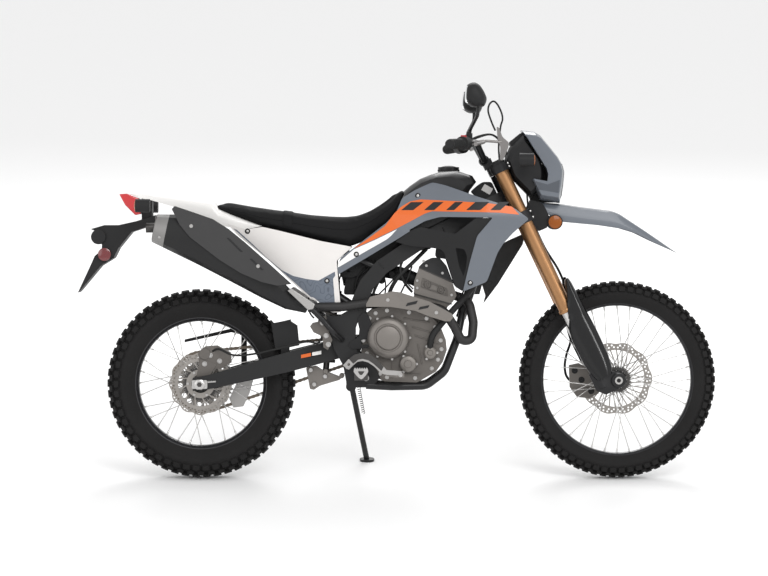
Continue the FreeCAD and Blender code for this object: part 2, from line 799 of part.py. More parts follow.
def skin(name, side, stations, wall):
    """A curved upright wall on the right: each station is a share of length and, going up, shares
    of height with the shares of the side distance there."""
    low_x, low_z = getattr(size, name + "_x"), getattr(size, name + "_z")
    length, height = getattr(size, name + "_length"), getattr(size, name + "_height")
    sections = []
    for x_share, edge in stations:
        x = low_x + x_share * length
        outer = [xyz(x, -side * y_share, low_z + z_share * height) for z_share, y_share in edge]
        inner = [point + LEFT * wall for point in reversed(outer)]
        sections.append(outer + inner)
    return sections_solid(sections)


def tray(points, half_width, wall):
    """A cover that is open below: its outline across the whole width, hollowed from underneath."""
    hollow = [(x, z - wall) for x, z in points]
    inner = half_width - wall
    return slab(points, -half_width, half_width).cut(slab(hollow, -inner, inner))


def base_plane(body, role):
    for feature in body.Origin.OriginFeatures:
        if feature.Role == role:
            return feature
    raise ValueError(role)


def tie(sketch, kind, place, value):
    """Holds one coordinate of a sketch to its size."""
    index = sketch.addConstraint(Sketcher.Constraint(kind, *place, float(value)))
    if isinstance(value, Bound):
        sketch.setExpression(f"Constraints[{index}]", value.text)


def profile_sketch(body, name, corners):
    """A closed chain of lines whose corners are held to the sheet."""
    sketch = body.newObject("Sketcher::SketchObject", name)
    sketch.AttachmentSupport = [(base_plane(body, "XY_Plane"), "")]
    sketch.MapMode = "FlatFace"
    count = len(corners)
    for index, (x, y) in enumerate(corners):
        far_x, far_y = corners[(index + 1) % count]
        sketch.addGeometry(Part.LineSegment(xyz(x, y, 0), xyz(far_x, far_y, 0)), False)
    for index, (x, y) in enumerate(corners):
        sketch.addConstraint(Sketcher.Constraint("Coincident", index, 2, (index + 1) % count, 1))
        tie(sketch, "DistanceX", (-1, 1, index, 1), x)
        tie(sketch, "DistanceY", (-1, 1, index, 1), y)
    return sketch


def turned(name, corners):
    """A body turned about its own Y axis, from corners of (radius, place along the axis)."""
    body = doc.addObject("PartDesign::Body", name)
    sketch = profile_sketch(body, name + "_profile", corners)
    revolution = body.newObject("PartDesign::Revolution", name + "_turned")
    revolution.Profile = sketch
    revolution.ReferenceAxis = (sketch, ["V_Axis"])
    revolution.Angle = 360
    return body


def pair(label, source):
    """A right-hand object and its mirror image, as one sub-part."""
    other = doc.addObject("Part::Mirroring", label + "_other")
    other.Source = source
    other.Normal = LEFT
    other.Base = CENTRE
    both = doc.addObject("Part::Compound", label)
    both.Links = [source, other]
    return finish_part(label, both)


def finish_turned(label, body, centre):
    """Sets a turned body about a cross axis through the given centre."""
    body.Placement = Placement(centre, Rotation())
    return finish_part(label, body)


# Wheels


def tyre(label, centre, radius, half_width, bead, rim_half_width, flange):
    """A block tyre of flat-sided sectors, where shoulder blocks and centre blocks take turns."""
    lift = size.tyre_lift
    root = radius - lift
    seat_half = rim_half_width - size.rim_wall
    step = math.pi / SECTORS
    carcass = [
        (bead, -seat_half), (flange, -rim_half_width * 0.94), ((radius + bead) / 2, -half_width * 0.97),
        (root - lift, -half_width * 0.84), (root, 0), (root - lift, half_width * 0.84),
        ((radius + bead) / 2, half_width * 0.97), (flange, rim_half_width * 0.94), (bead, seat_half),
    ]
    shoulder = [
        (root - lift * 3, half_width * 0.86), (root - lift, half_width),
        (radius - lift * 0.7, half_width * 0.84), (radius - lift * 0.1, half_width * 0.42),
        (root - lift, half_width * 0.4),
    ]
    middle = [
        (root - lift, -half_width * 0.3), (radius - lift * 0.05, -half_width * 0.3), (radius, 0),
        (radius - lift * 0.05, half_width * 0.3), (root - lift, half_width * 0.3),
    ]

    def sector(turn, profile):
        """The profile carried between two radial planes, with flat faces between them."""
        stretch = 1 / math.cos(step / 2)
        rows = []
        for angle in (turn - step / 2, turn + step / 2):
            rows.append([
                xyz(r * stretch * math.cos(angle), y, r * stretch * math.sin(angle)) for r, y in profile
            ])
        return sections_solid(rows)

    def block(turn, profile):
        """A tread block, as long as two thirds of its sector."""
        half = xyz(-math.sin(turn), 0, math.cos(turn)) * (root * math.tan(step / 2) * 0.68)
        row = [xyz(r * math.cos(turn), y, r * math.sin(turn)) for r, y in profile]
        return sections_solid([[point - half for point in row], [point + half for point in row]])

    unit = fused(
        sector(0, carcass), block(0, shoulder), block(0, [(r, -y) for r, y in shoulder]),
        sector(step, carcass), block(step, middle),
    )
    ends = [xyz(math.sin(angle), 0, -math.cos(angle)) for angle in (-step / 2, step * 1.5)]
    open_faces = [
        face for face in unit.Faces
        if all(abs(face.CenterOfMass.dot(end)) > size.fit_gap for end in ends)
    ]
    faces = []
    for index in range(SECTORS):
        for face in open_faces:
            faces.append(face.rotated(CENTRE, LEFT, math.degrees(index * 2 * step)))
    shell = Part.makeShell(faces)
    shell.sewShape()
    solid = Part.makeSolid(shell)
    if solid.Volume < 0:
        solid.reverse()
    return keep(label, solid.translated(centre))


def rim(label, centre, bead, inner, flange, half_width):
    """A drop-centre rim, turned in one piece."""
    wall = bound.rim_wall
    body = turned(label, [
        (inner, -half_width * 0.5), (bead - wall, -half_width), (flange, -half_width),
        (bead, wall - half_width), (bead, half_width - wall), (flange, half_width),
        (bead - wall, half_width), (inner, half_width * 0.5),
    ])
    return finish_turned(label, body, centre)


def spokes(label, centre, count, hub_radius, hub_half_width, rim_radius, rim_half_width):
    """Spokes that cross each other, from both hub flanges to the rim."""
    bars = []
    half = size.spoke_width / 2
    for index in range(count):
        side = 1 if index % 2 else -1
        lead = 1 if (index // 2) % 2 else -1
        rim_turn = 2 * math.pi * index / count
        hub_turn = rim_turn + lead * 1.1
        hub_y = side * (hub_half_width - size.hub_flange_thickness / 2)
        hub_end = hub_radius + half
        start = xyz(hub_end * math.cos(hub_turn), hub_y, hub_end * math.sin(hub_turn))
        end_y = side * rim_half_width * 0.2
        end = xyz(rim_radius * math.cos(rim_turn), end_y, rim_radius * math.sin(rim_turn))
        run = end - start
        across = run.cross(LEFT).normalize() * half
        upward = run.cross(across).normalize() * half
        square = [start + across, start + upward, start - across, start - upward]
        bars.append(sections_solid([square, [corner + run for corner in square]]))
    return keep(label, Part.makeCompound(bars).translated(centre))


def wave_disc(radius, inner, y, hub_radius, lead):
    """A brake disc with a waved rim, carried on slanting arms."""
    half = size.disc_thickness / 2
    corners = []
    count = DISC_LOBES * 4
    for index in range(count):
        turn = 2 * math.pi * index / count
        dip = size.disc_wave if index % 4 > 1 else 0
        corners.append(((radius - dip) * math.cos(turn), (radius - dip) * math.sin(turn)))
    ring = slab(corners, y - half, y + half).cut(cross_rod(0, 0, y - half, y + half, inner))
    arms = []
    arm_half = size.disc_arm_width / 2
    arm_end = inner + arm_half
    for index in range(DISC_ARMS):
        turn = 360 * index / DISC_ARMS
        corners = [(0, -arm_half), (arm_end, -arm_half), (arm_end, arm_half), (0, arm_half)]
        bar = slab(corners, y - half, y + half)
        arms.append(bar.translated(xyz(0, 0, lead)).rotated(CENTRE, LEFT, turn))
    middle = cross_rod(0, 0, y - half, y + half, hub_radius + size.disc_arm_width)
    hole = cross_rod(0, 0, y - half, y + half, hub_radius)
    return fused(ring, middle, *arms).cut(hole)


def front_wheel():
    tyre("front_tyre", front_axle, size.front_tyre_radius, size.front_tyre_half_width,
         size.front_bead_radius, size.front_rim_half_width, size.front_rim_flange_radius)
    rim("front_rim", front_axle, bound.front_bead_radius, bound.front_rim_inner_radius,
        bound.front_rim_flange_radius, bound.front_rim_half_width)
    flange, thick = bound.front_hub_flange_radius, bound.hub_flange_thickness
    half, barrel = bound.front_hub_half_width, bound.front_hub_radius
    bore = bound.front_axle_radius + bound.pin_gap
    disc_end = bound.front_disc_y + bound.disc_thickness * 0.5
    hub = turned("front_hub", [
        (bore, -half), (flange, -half), (flange, thick - half), (barrel, thick - half),
        (barrel, half - thick), (flange, half - thick), (flange, half), (barrel, half),
        (barrel, disc_end), (bore, disc_end),
    ])
    finish_turned("front_hub", hub, front_axle)
    spokes("front_spokes", front_axle, FRONT_SPOKES, size.front_hub_flange_radius,
           size.front_hub_half_width, size.front_rim_inner_radius, size.front_rim_half_width)
    disc = wave_disc(size.front_disc_radius, size.front_disc_inner_radius, size.front_disc_y,
                     size.front_hub_radius, size.front_hub_radius)
    keep("front_disc", disc.translated(front_axle))


def rear_wheel():
    tyre("rear_tyre", rear_axle, size.rear_tyre_radius, size.rear_tyre_half_width,
         size.rear_bead_radius, size.rear_rim_half_width, size.rear_rim_flange_radius)
    rim("rear_rim", rear_axle, bound.rear_bead_radius, bound.rear_rim_inner_radius,
        bound.rear_rim_flange_radius, bound.rear_rim_half_width)
    flange, thick = bound.rear_hub_flange_radius, bound.hub_flange_thickness
    half, barrel = bound.rear_hub_half_width, bound.rear_hub_radius
    bore = bound.rear_axle_radius + bound.pin_gap
    right_end = bound.rear_disc_y - bound.disc_thickness * 0.5
    left_end = bound.sprocket_y + bound.sprocket_thickness * 0.5
    hub = turned("rear_hub", [
        (bore, right_end), (barrel, right_end), (barrel, -half), (flange, -half),
        (flange, thick - half), (barrel, thick - half), (barrel, half - thick),
        (flange, half - thick), (flange, half), (barrel, half), (barrel, left_end), (bore, left_end),
    ])
    finish_turned("rear_hub", hub, rear_axle)
    spokes("rear_spokes", rear_axle, REAR_SPOKES, size.rear_hub_flange_radius,
           size.rear_hub_half_width, size.rear_rim_inner_radius, size.rear_rim_half_width)
    disc = wave_disc(size.rear_disc_radius, size.rear_disc_inner_radius, size.rear_disc_y,
                     size.rear_hub_radius, size.rear_hub_radius / 2)
    keep("rear_disc", disc.translated(rear_axle))
    teeth = sprocket(REAR_TEETH).cut(cross_rod(0, 0, 0, size.wheelbase, size.rear_hub_radius))
    keep("rear_sprocket", teeth.translated(rear_axle))


# Chain and sprockets


def pitch_radius(teeth):
    return size.chain_pitch / (2 * math.sin(math.pi / teeth))


def sprocket(teeth):
    """A toothed plate about the origin, with its tips just inside the chain's side plates."""
    tip = pitch_radius(teeth) - size.chain_height / 2 - size.tooth_gap
    corners = []
    for index in range(teeth * 2):
        turn = math.pi * index / teeth
        reach = tip - size.tooth_depth * (index % 2)
        corners.append((reach * math.cos(turn), reach * math.sin(turn)))
    half = size.sprocket_thickness / 2
    return slab(corners, size.sprocket_y - half, size.sprocket_y + half)


def chain_spots():
    """Places and outward turns along the loop, one for each outer link, and their spacing."""
    big, small = pitch_radius(REAR_TEETH), pitch_radius(FRONT_TEETH)
    run = output_shaft - rear_axle
    spread = math.asin((big - small) / run.Length)
    straight = math.sqrt(run.Length ** 2 - (big - small) ** 2)
    wrap_small = (math.pi - 2 * spread) * small
    wrap_big = (math.pi + 2 * spread) * big
    upper = math.atan2(run.z, run.x) + math.pi / 2 - spread
    lower = upper - math.pi + 2 * spread
    total = 2 * straight + wrap_small + wrap_big
    count = round(total / size.chain_pitch / 2)

    def out(turn):
        return xyz(math.cos(turn), 0, math.sin(turn))

    def onward(turn):
        return xyz(math.sin(turn), 0, -math.cos(turn))

    def spot(travel):
        if travel < straight:
            return rear_axle + out(upper) * big + onward(upper) * travel, upper
        travel -= straight
        if travel < wrap_small:
            turn = upper - travel / small
            return output_shaft + out(turn) * small, turn
        travel -= wrap_small
        if travel < straight:
            return output_shaft + out(lower) * small + onward(lower) * travel, lower
        turn = lower - (travel - straight) / big
        return rear_axle + out(turn) * big, turn

    return [spot(total * (index + 0.25) / count) for index in range(count)], total / count


def drive_chain():
    """A closed loop: narrow inner links as a band, with an outer link at every second pitch."""
    spots, spacing = chain_spots()
    y = size.sprocket_y
    half_width, half_height = size.chain_width / 2, size.chain_height / 2
    inner_half, band_half = size.inner_link_width / 2, size.inner_link_height / 2
    outer_edge, inner_edge, links = [], [], []
    for spot, turn in spots:
        outward = xyz(math.cos(turn), 0, math.sin(turn))
        ahead = xyz(math.sin(turn), 0, -math.cos(turn)) * (spacing * 0.34)
        for end in (spot - ahead, spot + ahead):
            outer_edge.append(end + outward * band_half)
            inner_edge.append(end - outward * band_half)
        corners = [
            spot - ahead - outward * half_height, spot + ahead - outward * half_height,
            spot + ahead + outward * half_height, spot - ahead + outward * half_height,
        ]
        links.append(slab([(corner.x, corner.z) for corner in corners], y - half_width, y + half_width))
    rings = [
        slab([(point.x, point.z) for point in edge], y - inner_half, y + inner_half)
        for edge in (outer_edge, inner_edge)
    ]
    keep("drive_chain", fused(rings[0].cut(rings[1]), *links))


def chain_guards(swing):
    """The cover over the chain's upper run, and the guide under its lower run, on the left arm."""
    wall = size.guard_plate_wall
    near = size.sprocket_y - size.chain_width / 2 - size.pad_gap
    far = size.sprocket_y + size.chain_width / 2 + size.pad_gap
    cover = slab(outline("chain_guard", CHAIN_GUARD_SHARES), near - wall, far + wall * 4)
    foot_x, foot_z = outline("chain_guard", [(0.53, 0.4)])[0]
    leg = Part.makeBox(wall * 5, wall * 2, size.chain_guard_height * 2,
                       xyz(foot_x, far + wall, foot_z - size.chain_guard_height * 2))
    upper = largest(fused(cover, leg).cut(swing))
    guide = slab(outline("chain_guide", CHAIN_GUIDE_SHARES), near - wall, far + wall)
    slot_top = size.chain_guide_z + size.chain_guide_height * 0.72
    slot = Part.makeBox(size.chain_guide_length * 2, far - near, size.chain_guide_height * 2,
                        xyz(size.chain_guide_x - size.overrun, near, slot_top - size.chain_guide_height * 2))
    lower = largest(guide.cut(slot).cut(swing))
    return Part.makeCompound([upper, lower])


# Swingarm, rear suspension and rear brake

ARM_SHARES = [
    (-0.02, 0.0, 0.9), (0.27, 0.0, 1.0), (0.4, 0.62, 0.98), (0.6, 0.86, 0.9), (0.95, 1.0, 0.68),
]


def swingarm():
    """Two arms joined by a bridge ahead of the tyre, with the pivot bolt and the rear axle."""
    reach = rear_axle - pivot
    half = size.arm_half_width
    stations = []
    for run_share, spread_share, height_share in ARM_SHARES:
        place = pivot + reach * run_share
        y = size.arm_front_y + spread_share * (size.arm_rear_y - size.arm_front_y)
        stations.append((place.x, y, place.z, height_share * size.arm_height / 2))
    stations.append((rear_axle.x - size.arm_tail, size.arm_rear_y, rear_axle.z, size.arm_tail_height / 2))
    arm_right = sections_solid([
        [xyz(x, -y - half, z - h), xyz(x, -y + half, z - h), xyz(x, -y + half, z + h), xyz(x, -y - half, z + h)]
        for x, y, z, h in stations
    ])
    boss = cross_rod(pivot.x, pivot.z, -size.arm_front_y - half, -size.arm_front_y + half,
                     size.pivot_boss_radius)
    corner = bridge_place() - xyz(half * 0.8, size.arm_front_y, size.arm_height * 0.4)
    bridge = Part.makeBox(half * 1.6, size.arm_front_y * 2, size.arm_height * 0.8, corner)
    axle = cross_rod(rear_axle.x, rear_axle.z, -size.rear_axle_half_length, size.rear_axle_half_length,
                     size.rear_axle_radius)
    nut_from = -size.arm_rear_y - half
    nut = cross_rod(rear_axle.x, rear_axle.z, nut_from, nut_from - size.axle_nut_thickness,
                    size.axle_nut_radius)
    bolt_end = size.plate_side + size.plate_thickness
    bolt = cross_rod(pivot.x, pivot.z, -bolt_end, bolt_end, size.pivot_bolt_radius)
    return fused(arm_right, boss, mirrored(arm_right), mirrored(boss), bridge, axle, nut, mirrored(nut), bolt)


def bridge_place():
    """The middle of the bridge that joins the swingarm's arms ahead of the tyre."""
    x = rear_axle.x + size.rear_tyre_radius + size.arm_height / 2
    slope = (rear_axle.z - pivot.z) / (rear_axle.x - pivot.x)
    return xyz(x, 0, pivot.z + slope * (x - pivot.x))


def rear_suspension(swing):
    """The spring and damper between the arms, and the rocker that joins them to the bridge."""
    low = xyz(size.shock_x, 0, size.shock_z)
    run = xyz(size.shock_lean_x, 0, size.shock_rise)
    body = rod(low, low + run, size.shock_radius)
    spring = rod(low + run * 0.22, low + run * 0.86, size.spring_radius)
    rocker = slab(outline("link", LINK_SHARES), -size.link_half_width, size.link_half_width)
    x, z = outline("link", [(0.24, 0.8)])[0]
    link = rod(xyz(x, 0, z), bridge_place(), size.shock_radius)
    return largest(fused(body, spring, rocker, link).cut(swing))


def rear_brake(swing):
    """The caliper on its bracket at the axle, and the master cylinder by the pivot."""
    y = size.rear_disc_y
    half = size.caliper_half_width
    body = slab(outline("rear_caliper", REAR_CALIPER_SHARES), y - half, y + half)
    slot_half = size.disc_thickness / 2 + size.pad_gap
    slot = cross_rod(rear_axle.x, rear_axle.z, y - slot_half, y + slot_half,
                     size.rear_disc_radius + size.disc_wave)
    piston_x, piston_z = outline("rear_caliper", [(0.2, 0.66)])[0]
    piston = cross_rod(piston_x, piston_z, y - half, y - half - size.pad_gap * 2, size.piston_radius)
    seat_y = y - half
    bracket_y = seat_y - size.guard_plate_wall
    bracket = slab([
        (rear_axle.x - size.piston_radius, rear_axle.z), (rear_axle.x + size.piston_radius, rear_axle.z),
        (rear_axle.x + size.piston_radius * 3, size.rear_caliper_z + size.piston_radius),
        (rear_axle.x, size.rear_caliper_z + size.piston_radius * 2),
    ], seat_y, bracket_y)
    eye = cross_rod(rear_axle.x, rear_axle.z, seat_y, bracket_y, size.piston_radius * 1.2)
    hole = cross_rod(rear_axle.x, rear_axle.z, bracket_y, seat_y, size.rear_axle_radius + size.fit_gap)
    caliper = fused(body, piston, bracket, eye).cut(slot).cut(hole).cut(swing)
    face = -(size.plate_side + size.plate_thickness / 2)
    master = slab(outline("master", MASTER_SHARES), face, face - size.master_depth)
    return Part.makeCompound([largest(caliper), largest(master)])


def rear_mudflap(swing):
    face = -(size.rear_tyre_half_width + size.overrun)
    flap = slab(outline("mudflap", MUDFLAP_SHARES), face - size.fender_wall * 2, face)
    seat_x = rear_axle.x + size.rear_tyre_radius
    foot = Part.makeBox(size.overrun * 3, size.fender_wall * 2, size.mudflap_height,
                        xyz(seat_x - size.mudflap_length / 2, face - size.fender_wall * 2,
                            size.mudflap_z - size.mudflap_height * 0.6))
    return largest(fused(flap, foot).cut(swing))


# Frame


def main_frame():
    """Head tube, twin spars, pivot plates and the side stand's lug, welded into one."""
    low = size.lower_clamp_along + size.lower_clamp_height + size.head_tube_gap
    high = size.upper_clamp_along - size.head_tube_gap
    head = rod(on_fork(stem_back, 0, low), on_fork(stem_back, 0, high), size.head_tube_radius)
    bore = rod(on_fork(stem_back, 0, low - size.overrun), on_fork(stem_back, 0, high + size.overrun),
               size.stem_radius + size.pin_gap)
    points = route("spar", SPAR_SHARES, size.spar_side)
    spar = box_beam([(point, size.spar_half_width, size.spar_half_height) for point in points])
    inner_y = size.plate_side - size.plate_thickness / 2
    plate = slab(outline("plate", PLATE_SHARES), -inner_y - size.plate_thickness, -inner_y)
    upper = cross_rod(points[-1].x, points[-1].z, -inner_y, inner_y, size.cross_tube_radius)
    foot_x, foot_z = outline("plate", [(0.66, 0.06)])[0]
    lower = cross_rod(foot_x, foot_z, -inner_y, inner_y, size.cross_tube_radius)
    bolt_hole = cross_rod(pivot.x, pivot.z, -size.wheelbase, size.wheelbase,
                          size.pivot_bolt_radius + size.fit_gap)
    frame = fused(head, spar, mirrored(spar), plate, mirrored(plate), upper, lower)
    return fused(frame.cut(bore).cut(bolt_hole), *stand_mount())


def stand_mount():
    """The lug on the left pivot plate, and the headed bolt that the stand turns on."""
    inner = size.plate_side - size.stand_pivot_y
    face = size.stand_head_thickness / 2 + size.pin_gap
    lug = stand_rod(inner, -face, size.stand_head_radius)
    bolt = stand_rod(inner, face + size.stand_bolt_radius, size.stand_bolt_radius)
    head = stand_rod(face, face + size.stand_bolt_radius, size.stand_bolt_radius * 1.8)
    return lug, bolt, head


def cradle(frame):
    """The down tube from the head, and the two tubes that run on from it under the engine."""
    points = route("cradle", CRADLE_SHARES, size.cradle_side)
    top = on_fork(stem_back - size.head_tube_radius * 1.07, 0,
                  size.lower_clamp_along + size.lower_clamp_height * 2.45)
    foot = xyz(points[0].x, 0, points[0].z)
    down = rod(top, foot + (foot - top).normalize() * size.down_tube_radius, size.down_tube_radius)
    tube = bent_tube(points, size.cradle_radius, size.cradle_bend)
    return largest(fused(down, tube, mirrored(tube)).cut(frame))


def subframe(frame):
    """The rear rails, their braces and their cross members."""
    rail_points = route("rail", RAIL_SHARES, size.rail_side)
    brace_points = route("brace", BRACE_SHARES, size.rail_side)
    rail = bent_tube(rail_points, size.rail_radius, size.rail_length)
    brace = bent_tube(brace_points, size.rail_radius, size.rail_length)
    crossings = []
    for point in rail_points[2:]:
        crossings.append(cross_rod(point.x + size.rail_radius, point.z, point.y, -point.y, size.rail_radius))
    return fused(rail, brace, mirrored(rail), mirrored(brace), *crossings).cut(frame)


def peg_brackets():
    """The bent tubes that carry the passenger pegs, from the pivot plates."""
    points = route("peg_bracket", PEG_BRACKET_SHARES, size.peg_bracket_side)
    root = xyz(points[0].x, -size.plate_side - size.plate_thickness / 2, points[0].z)
    tube = bent_tube([root, points[1], points[2], points[3]], size.peg_bracket_radius,
                     size.peg_bracket_length / 4)
    inboard = slab(outline("plate", PLATE_SHARES), -size.plate_side - size.plate_thickness / 2, 0)
    return both_sides(largest(tube.cut(inboard)))


# Engine


def engine_case():
    """The crankcase as one closed block, with its output shaft and front sprocket."""
    block = slab(outline("case", CASE_SHARES), -size.case_right, size.case_left)
    block = block.cut(cross_rod(pivot.x, pivot.z, -size.case_right, size.case_left,
                                size.pivot_boss_radius + size.panel_gap))
    end = size.sprocket_y + size.sprocket_thickness
    shaft = cross_rod(output_shaft.x, output_shaft.z, 0, end, size.output_shaft_radius)
    return fused(block, shaft, sprocket(FRONT_TEETH).translated(output_shaft))


def engine_covers():
    """The covers over the clutch, oil filter and water pump, and on the left the generator's."""
    seat_y = -size.case_right
    face = seat_y - size.clutch_depth
    clutch = cross_rod(size.clutch_x, size.clutch_z, seat_y, face, size.clutch_radius)
    disc = cross_rod(size.clutch_x, size.clutch_z, face, face - size.clutch_disc_depth,
                     size.clutch_disc_radius)
    oil = cross_rod(size.filter_x, size.filter_z, seat_y, seat_y - size.filter_depth, size.filter_radius)
    pump = cross_rod(size.pump_x, size.pump_z, seat_y, seat_y - size.pump_depth, size.pump_radius)
    generator = cross_rod(size.generator_x, size.generator_z, size.case_left,
                          size.case_left + size.generator_depth, size.generator_radius)
    return Part.makeCompound(fused(clutch, disc).Solids + fused(oil).Solids + [pump, generator])


def cylinder_head(case):
    """The barrel and head, leaning forward, under a rounded cover."""
    half = size.cylinder_half_width
    barrel = slab(outline("cylinder", CYLINDER_SHARES), -half, half)
    cover = slab(outline("head_cover", HEAD_COVER_SHARES), -half * 0.9, half * 0.9)
    return fused(barrel, cover).cut(case)


# Exhaust


def exhaust_pipe(head, can):
    points = route("exhaust", EXHAUST_SHARES, size.exhaust_side)
    tube = bent_tube(points, size.exhaust_radius, size.exhaust_bend)
    return largest(tube.cut(head).cut(can))


def muffler():
    """The silencer, which swells from the pipe and rises to the rear."""
    points = route("muffler", MUFFLER_SHARES, size.muffler_side)
    return oval_beam([
        (point, a * size.muffler_half_width, b * size.muffler_half_height)
        for point, (a, b) in zip(points, MUFFLER_SECTION_SHARES)
    ])


def exhaust_shields(can, pipe):
    """The plate over the muffler and the plate over the header, each on two bosses."""
    wall = size.shield_wall
    face = size.muffler_side + size.muffler_half_width
    plate = slab(outline("shield", SHIELD_SHARES), -face - wall, -face)
    bosses = []
    for x, z in outline("shield", [(0.3, 0.62), (0.7, 0.25)]):
        bosses.append(cross_rod(x, z, -face, -size.muffler_side, wall * 2))
    outer = fused(plate, *bosses).cut(can)
    face = size.exhaust_side + size.exhaust_radius * 0.5
    header_plate = slab(outline("header_shield", HEADER_SHIELD_SHARES), -face - wall, -face)
    header_bosses = []
    for x, z in outline("header_shield", [(0.25, 0.72), (0.8, 0.3)]):
        header_bosses.append(cross_rod(x, z, -face, size.exhaust_radius - face, wall))
    header = fused(header_plate, *header_bosses).cut(pipe)
    return Part.makeCompound([largest(outer), largest(header)])


# Bodywork

# Each row runs up the outer face: share of length, then height and side shares
SHROUD_SKIN_SHARES = [
    (-0.02, [(0.1, 0.62), (0.45, 0.62), (0.8, 0.6), (1.02, 0.56)]),
    (0.25, [(0.0, 0.66), (0.45, 0.68), (0.8, 0.63), (1.02, 0.58)]),
    (0.5, [(-0.02, 0.72), (0.45, 0.86), (0.8, 0.78), (1.02, 0.62)]),
    (0.75, [(-0.02, 0.78), (0.45, 1.0), (0.8, 1.0), (1.02, 0.86)]),
    (1.02, [(-0.02, 0.8), (0.45, 0.98), (0.8, 1.0), (1.02, 0.9)]),
]
COVER_SKIN_SHARES = [
    (-0.02, [(-0.05, 0.8), (0.4, 0.86), (0.8, 0.92), (1.05, 0.9)]),
    (0.4, [(-0.05, 0.86), (0.4, 0.94), (0.8, 1.0), (1.05, 0.98)]),
    (0.75, [(-0.05, 0.86), (0.4, 0.92), (0.8, 0.94), (1.05, 0.92)]),
    (1.02, [(-0.05, 0.84), (0.4, 0.88), (0.8, 0.88), (1.05, 0.88)]),
]


def seat():
    return bulged(outline("seat", SEAT_SHARES), size.seat_half_width)


def seat_room():
    """The space that the seat needs, with its gap."""
    face = outline_face(outline("seat", SEAT_SHARES), -size.seat_half_width * 2)
    return face.makeOffset2D(size.seat_gap).extrude(xyz(0, size.seat_half_width * 4, 0))


def spar_room():
    """The space beside the tank's waist, from under the spars to just over them."""
    lift = size.spar_half_height * 1.35
    tops = [(point.x, point.z + lift) for point in route("spar", SPAR_SHARES, size.spar_side)[:5]]
    far_x = tops[-1][0] - size.spar_length
    points = tops + [(far_x, tops[-1][1]), (far_x, size.spar_z), (tops[0][0], size.spar_z)]
    right = slab(points, -size.tank_half_width * 2, -size.tank_waist)
    return Part.makeCompound([right, mirrored(right)])


def head_room():
    """The space round the head tube, which the tank stays out of."""
    return rod(on_fork(stem_back, 0, size.lower_clamp_along), on_fork(stem_back, 0, size.fork_top),
               size.head_tube_radius + size.panel_gap)


def lock_room():
    """The space that the fork tubes sweep beside the head tube, out to the steering stops."""
    low = size.lower_clamp_along - size.moving_gap
    reach = size.fork_outer_radius + size.clamp_wall + size.moving_gap
    rooms = []
    for lock_share in (0.25, 0.5, 0.75, 1.0):
        room = Part.makeCylinder(reach, size.fork_top - low,
                                 xyz(-size.axle_lead, -size.fork_half_spread, low), UP)
        rooms.append(room.rotated(xyz(stem_back, 0, 0), UP, -lock_share * size.steering_lock))
    return both_sides(from_fork(rooms[0].multiFuse(rooms[1:])))


def fuel_tank(frame, panels):
    """The tank, wide above the spars and narrow between them, with its filler cap."""
    body = bulged(outline("tank", TANK_SHARES), size.tank_half_width)
    top = size.tank_z + size.tank_height
    cap = Part.makeCylinder(size.cap_radius, size.cap_height + size.overrun,
                            xyz(size.cap_x, 0, top - size.overrun), UP)
    rooms = [spar_room(), head_room(), lock_room(), seat_room(), frame, panels]
    return largest(fused(body, cap).cut(Part.makeCompound(rooms)))


def shrouds():
    """The side panels from the seat forward past the tank to the radiators."""
    wall = skin("shroud", size.shroud_half_width, SHROUD_SKIN_SHARES, size.shroud_wall)
    panel = wall.common(slab(outline("shroud", SHROUD_SHARES), -size.wheelbase, 0))
    return both_sides(largest(panel))


def shroud_grilles():
    """The black panels behind the lower front of the shrouds, against their inner face."""
    wall = skin("shroud", size.shroud_half_width, SHROUD_SKIN_SHARES, size.shroud_wall)
    panel = wall.translated(LEFT * size.shroud_wall).common(slab(outline("grille", GRILLE_SHARES), -size.wheelbase, 0))
    return both_sides(largest(panel))


def side_covers(panels, rails):
    """The panels under the seat, on bosses from the rail and its brace, clear of the exhaust."""
    wall = skin("cover", size.cover_half_width, COVER_SKIN_SHARES, size.cover_wall)
    panel = wall.common(slab(outline("cover", COVER_SHARES), -size.wheelbase, 0))
    bosses = []
    for mount in (route("rail", RAIL_SHARES, size.rail_side)[2], route("brace", BRACE_SHARES, size.rail_side)[1]):
        end = -size.cover_half_width * 0.9 + size.cover_wall / 2
        bosses.append(cross_rod(mount.x, mount.z, mount.y, end, size.rail_radius * 0.7))
    pipe_room = bent_tube(route("exhaust", EXHAUST_SHARES, size.exhaust_side)[5:],
                          size.exhaust_radius + size.moving_gap, size.exhaust_bend)
    rooms = Part.makeCompound([seat_room(), panels, rails, pipe_room])
    return both_sides(largest(fused(panel, *bosses).cut(rooms)))


def airbox(*others):
    """The black case between the side covers, under the seat."""
    body = slab(outline("cover", AIRBOX_SHARES), -size.airbox_half_width, size.airbox_half_width)
    return largest(body.cut(Part.makeCompound(list(others))))


def rear_fender(*others):
    """The tail cover behind the seat, open below."""
    cover = tray(outline("fender", FENDER_SHARES), size.fender_half_width, size.fender_wall)
    return largest(cover.cut(Part.makeCompound(list(others))))


def plate_bracket(*others):
    """The hanging rear mudguard that carries the blank plate and side reflectors."""
    side = size.bracket_half_width
    body = slab(outline("bracket", BRACKET_SHARES), -side, side)
    x, z = outline("bracket", [(0.27, 0.72)])[0]
    neck_top = size.fender_z + size.fender_height * 0.95
    neck = Part.makeBox(size.neck_length, size.neck_width, neck_top - size.neck_z,
                        xyz(size.neck_x, -size.neck_width / 2, size.neck_z))
    reflector = cross_rod(x, z, -side, -side - size.reflector_depth, size.reflector_radius)
    whole = fused(body, neck, reflector, mirrored(reflector))
    return largest(whole.cut(Part.makeCompound(list(others))))


def tail_lamp(*others):
    lamp = slab(outline("lamp", LAMP_SHARES), -size.lamp_half_width, size.lamp_half_width)
    return largest(lamp.cut(Part.makeCompound(list(others))))


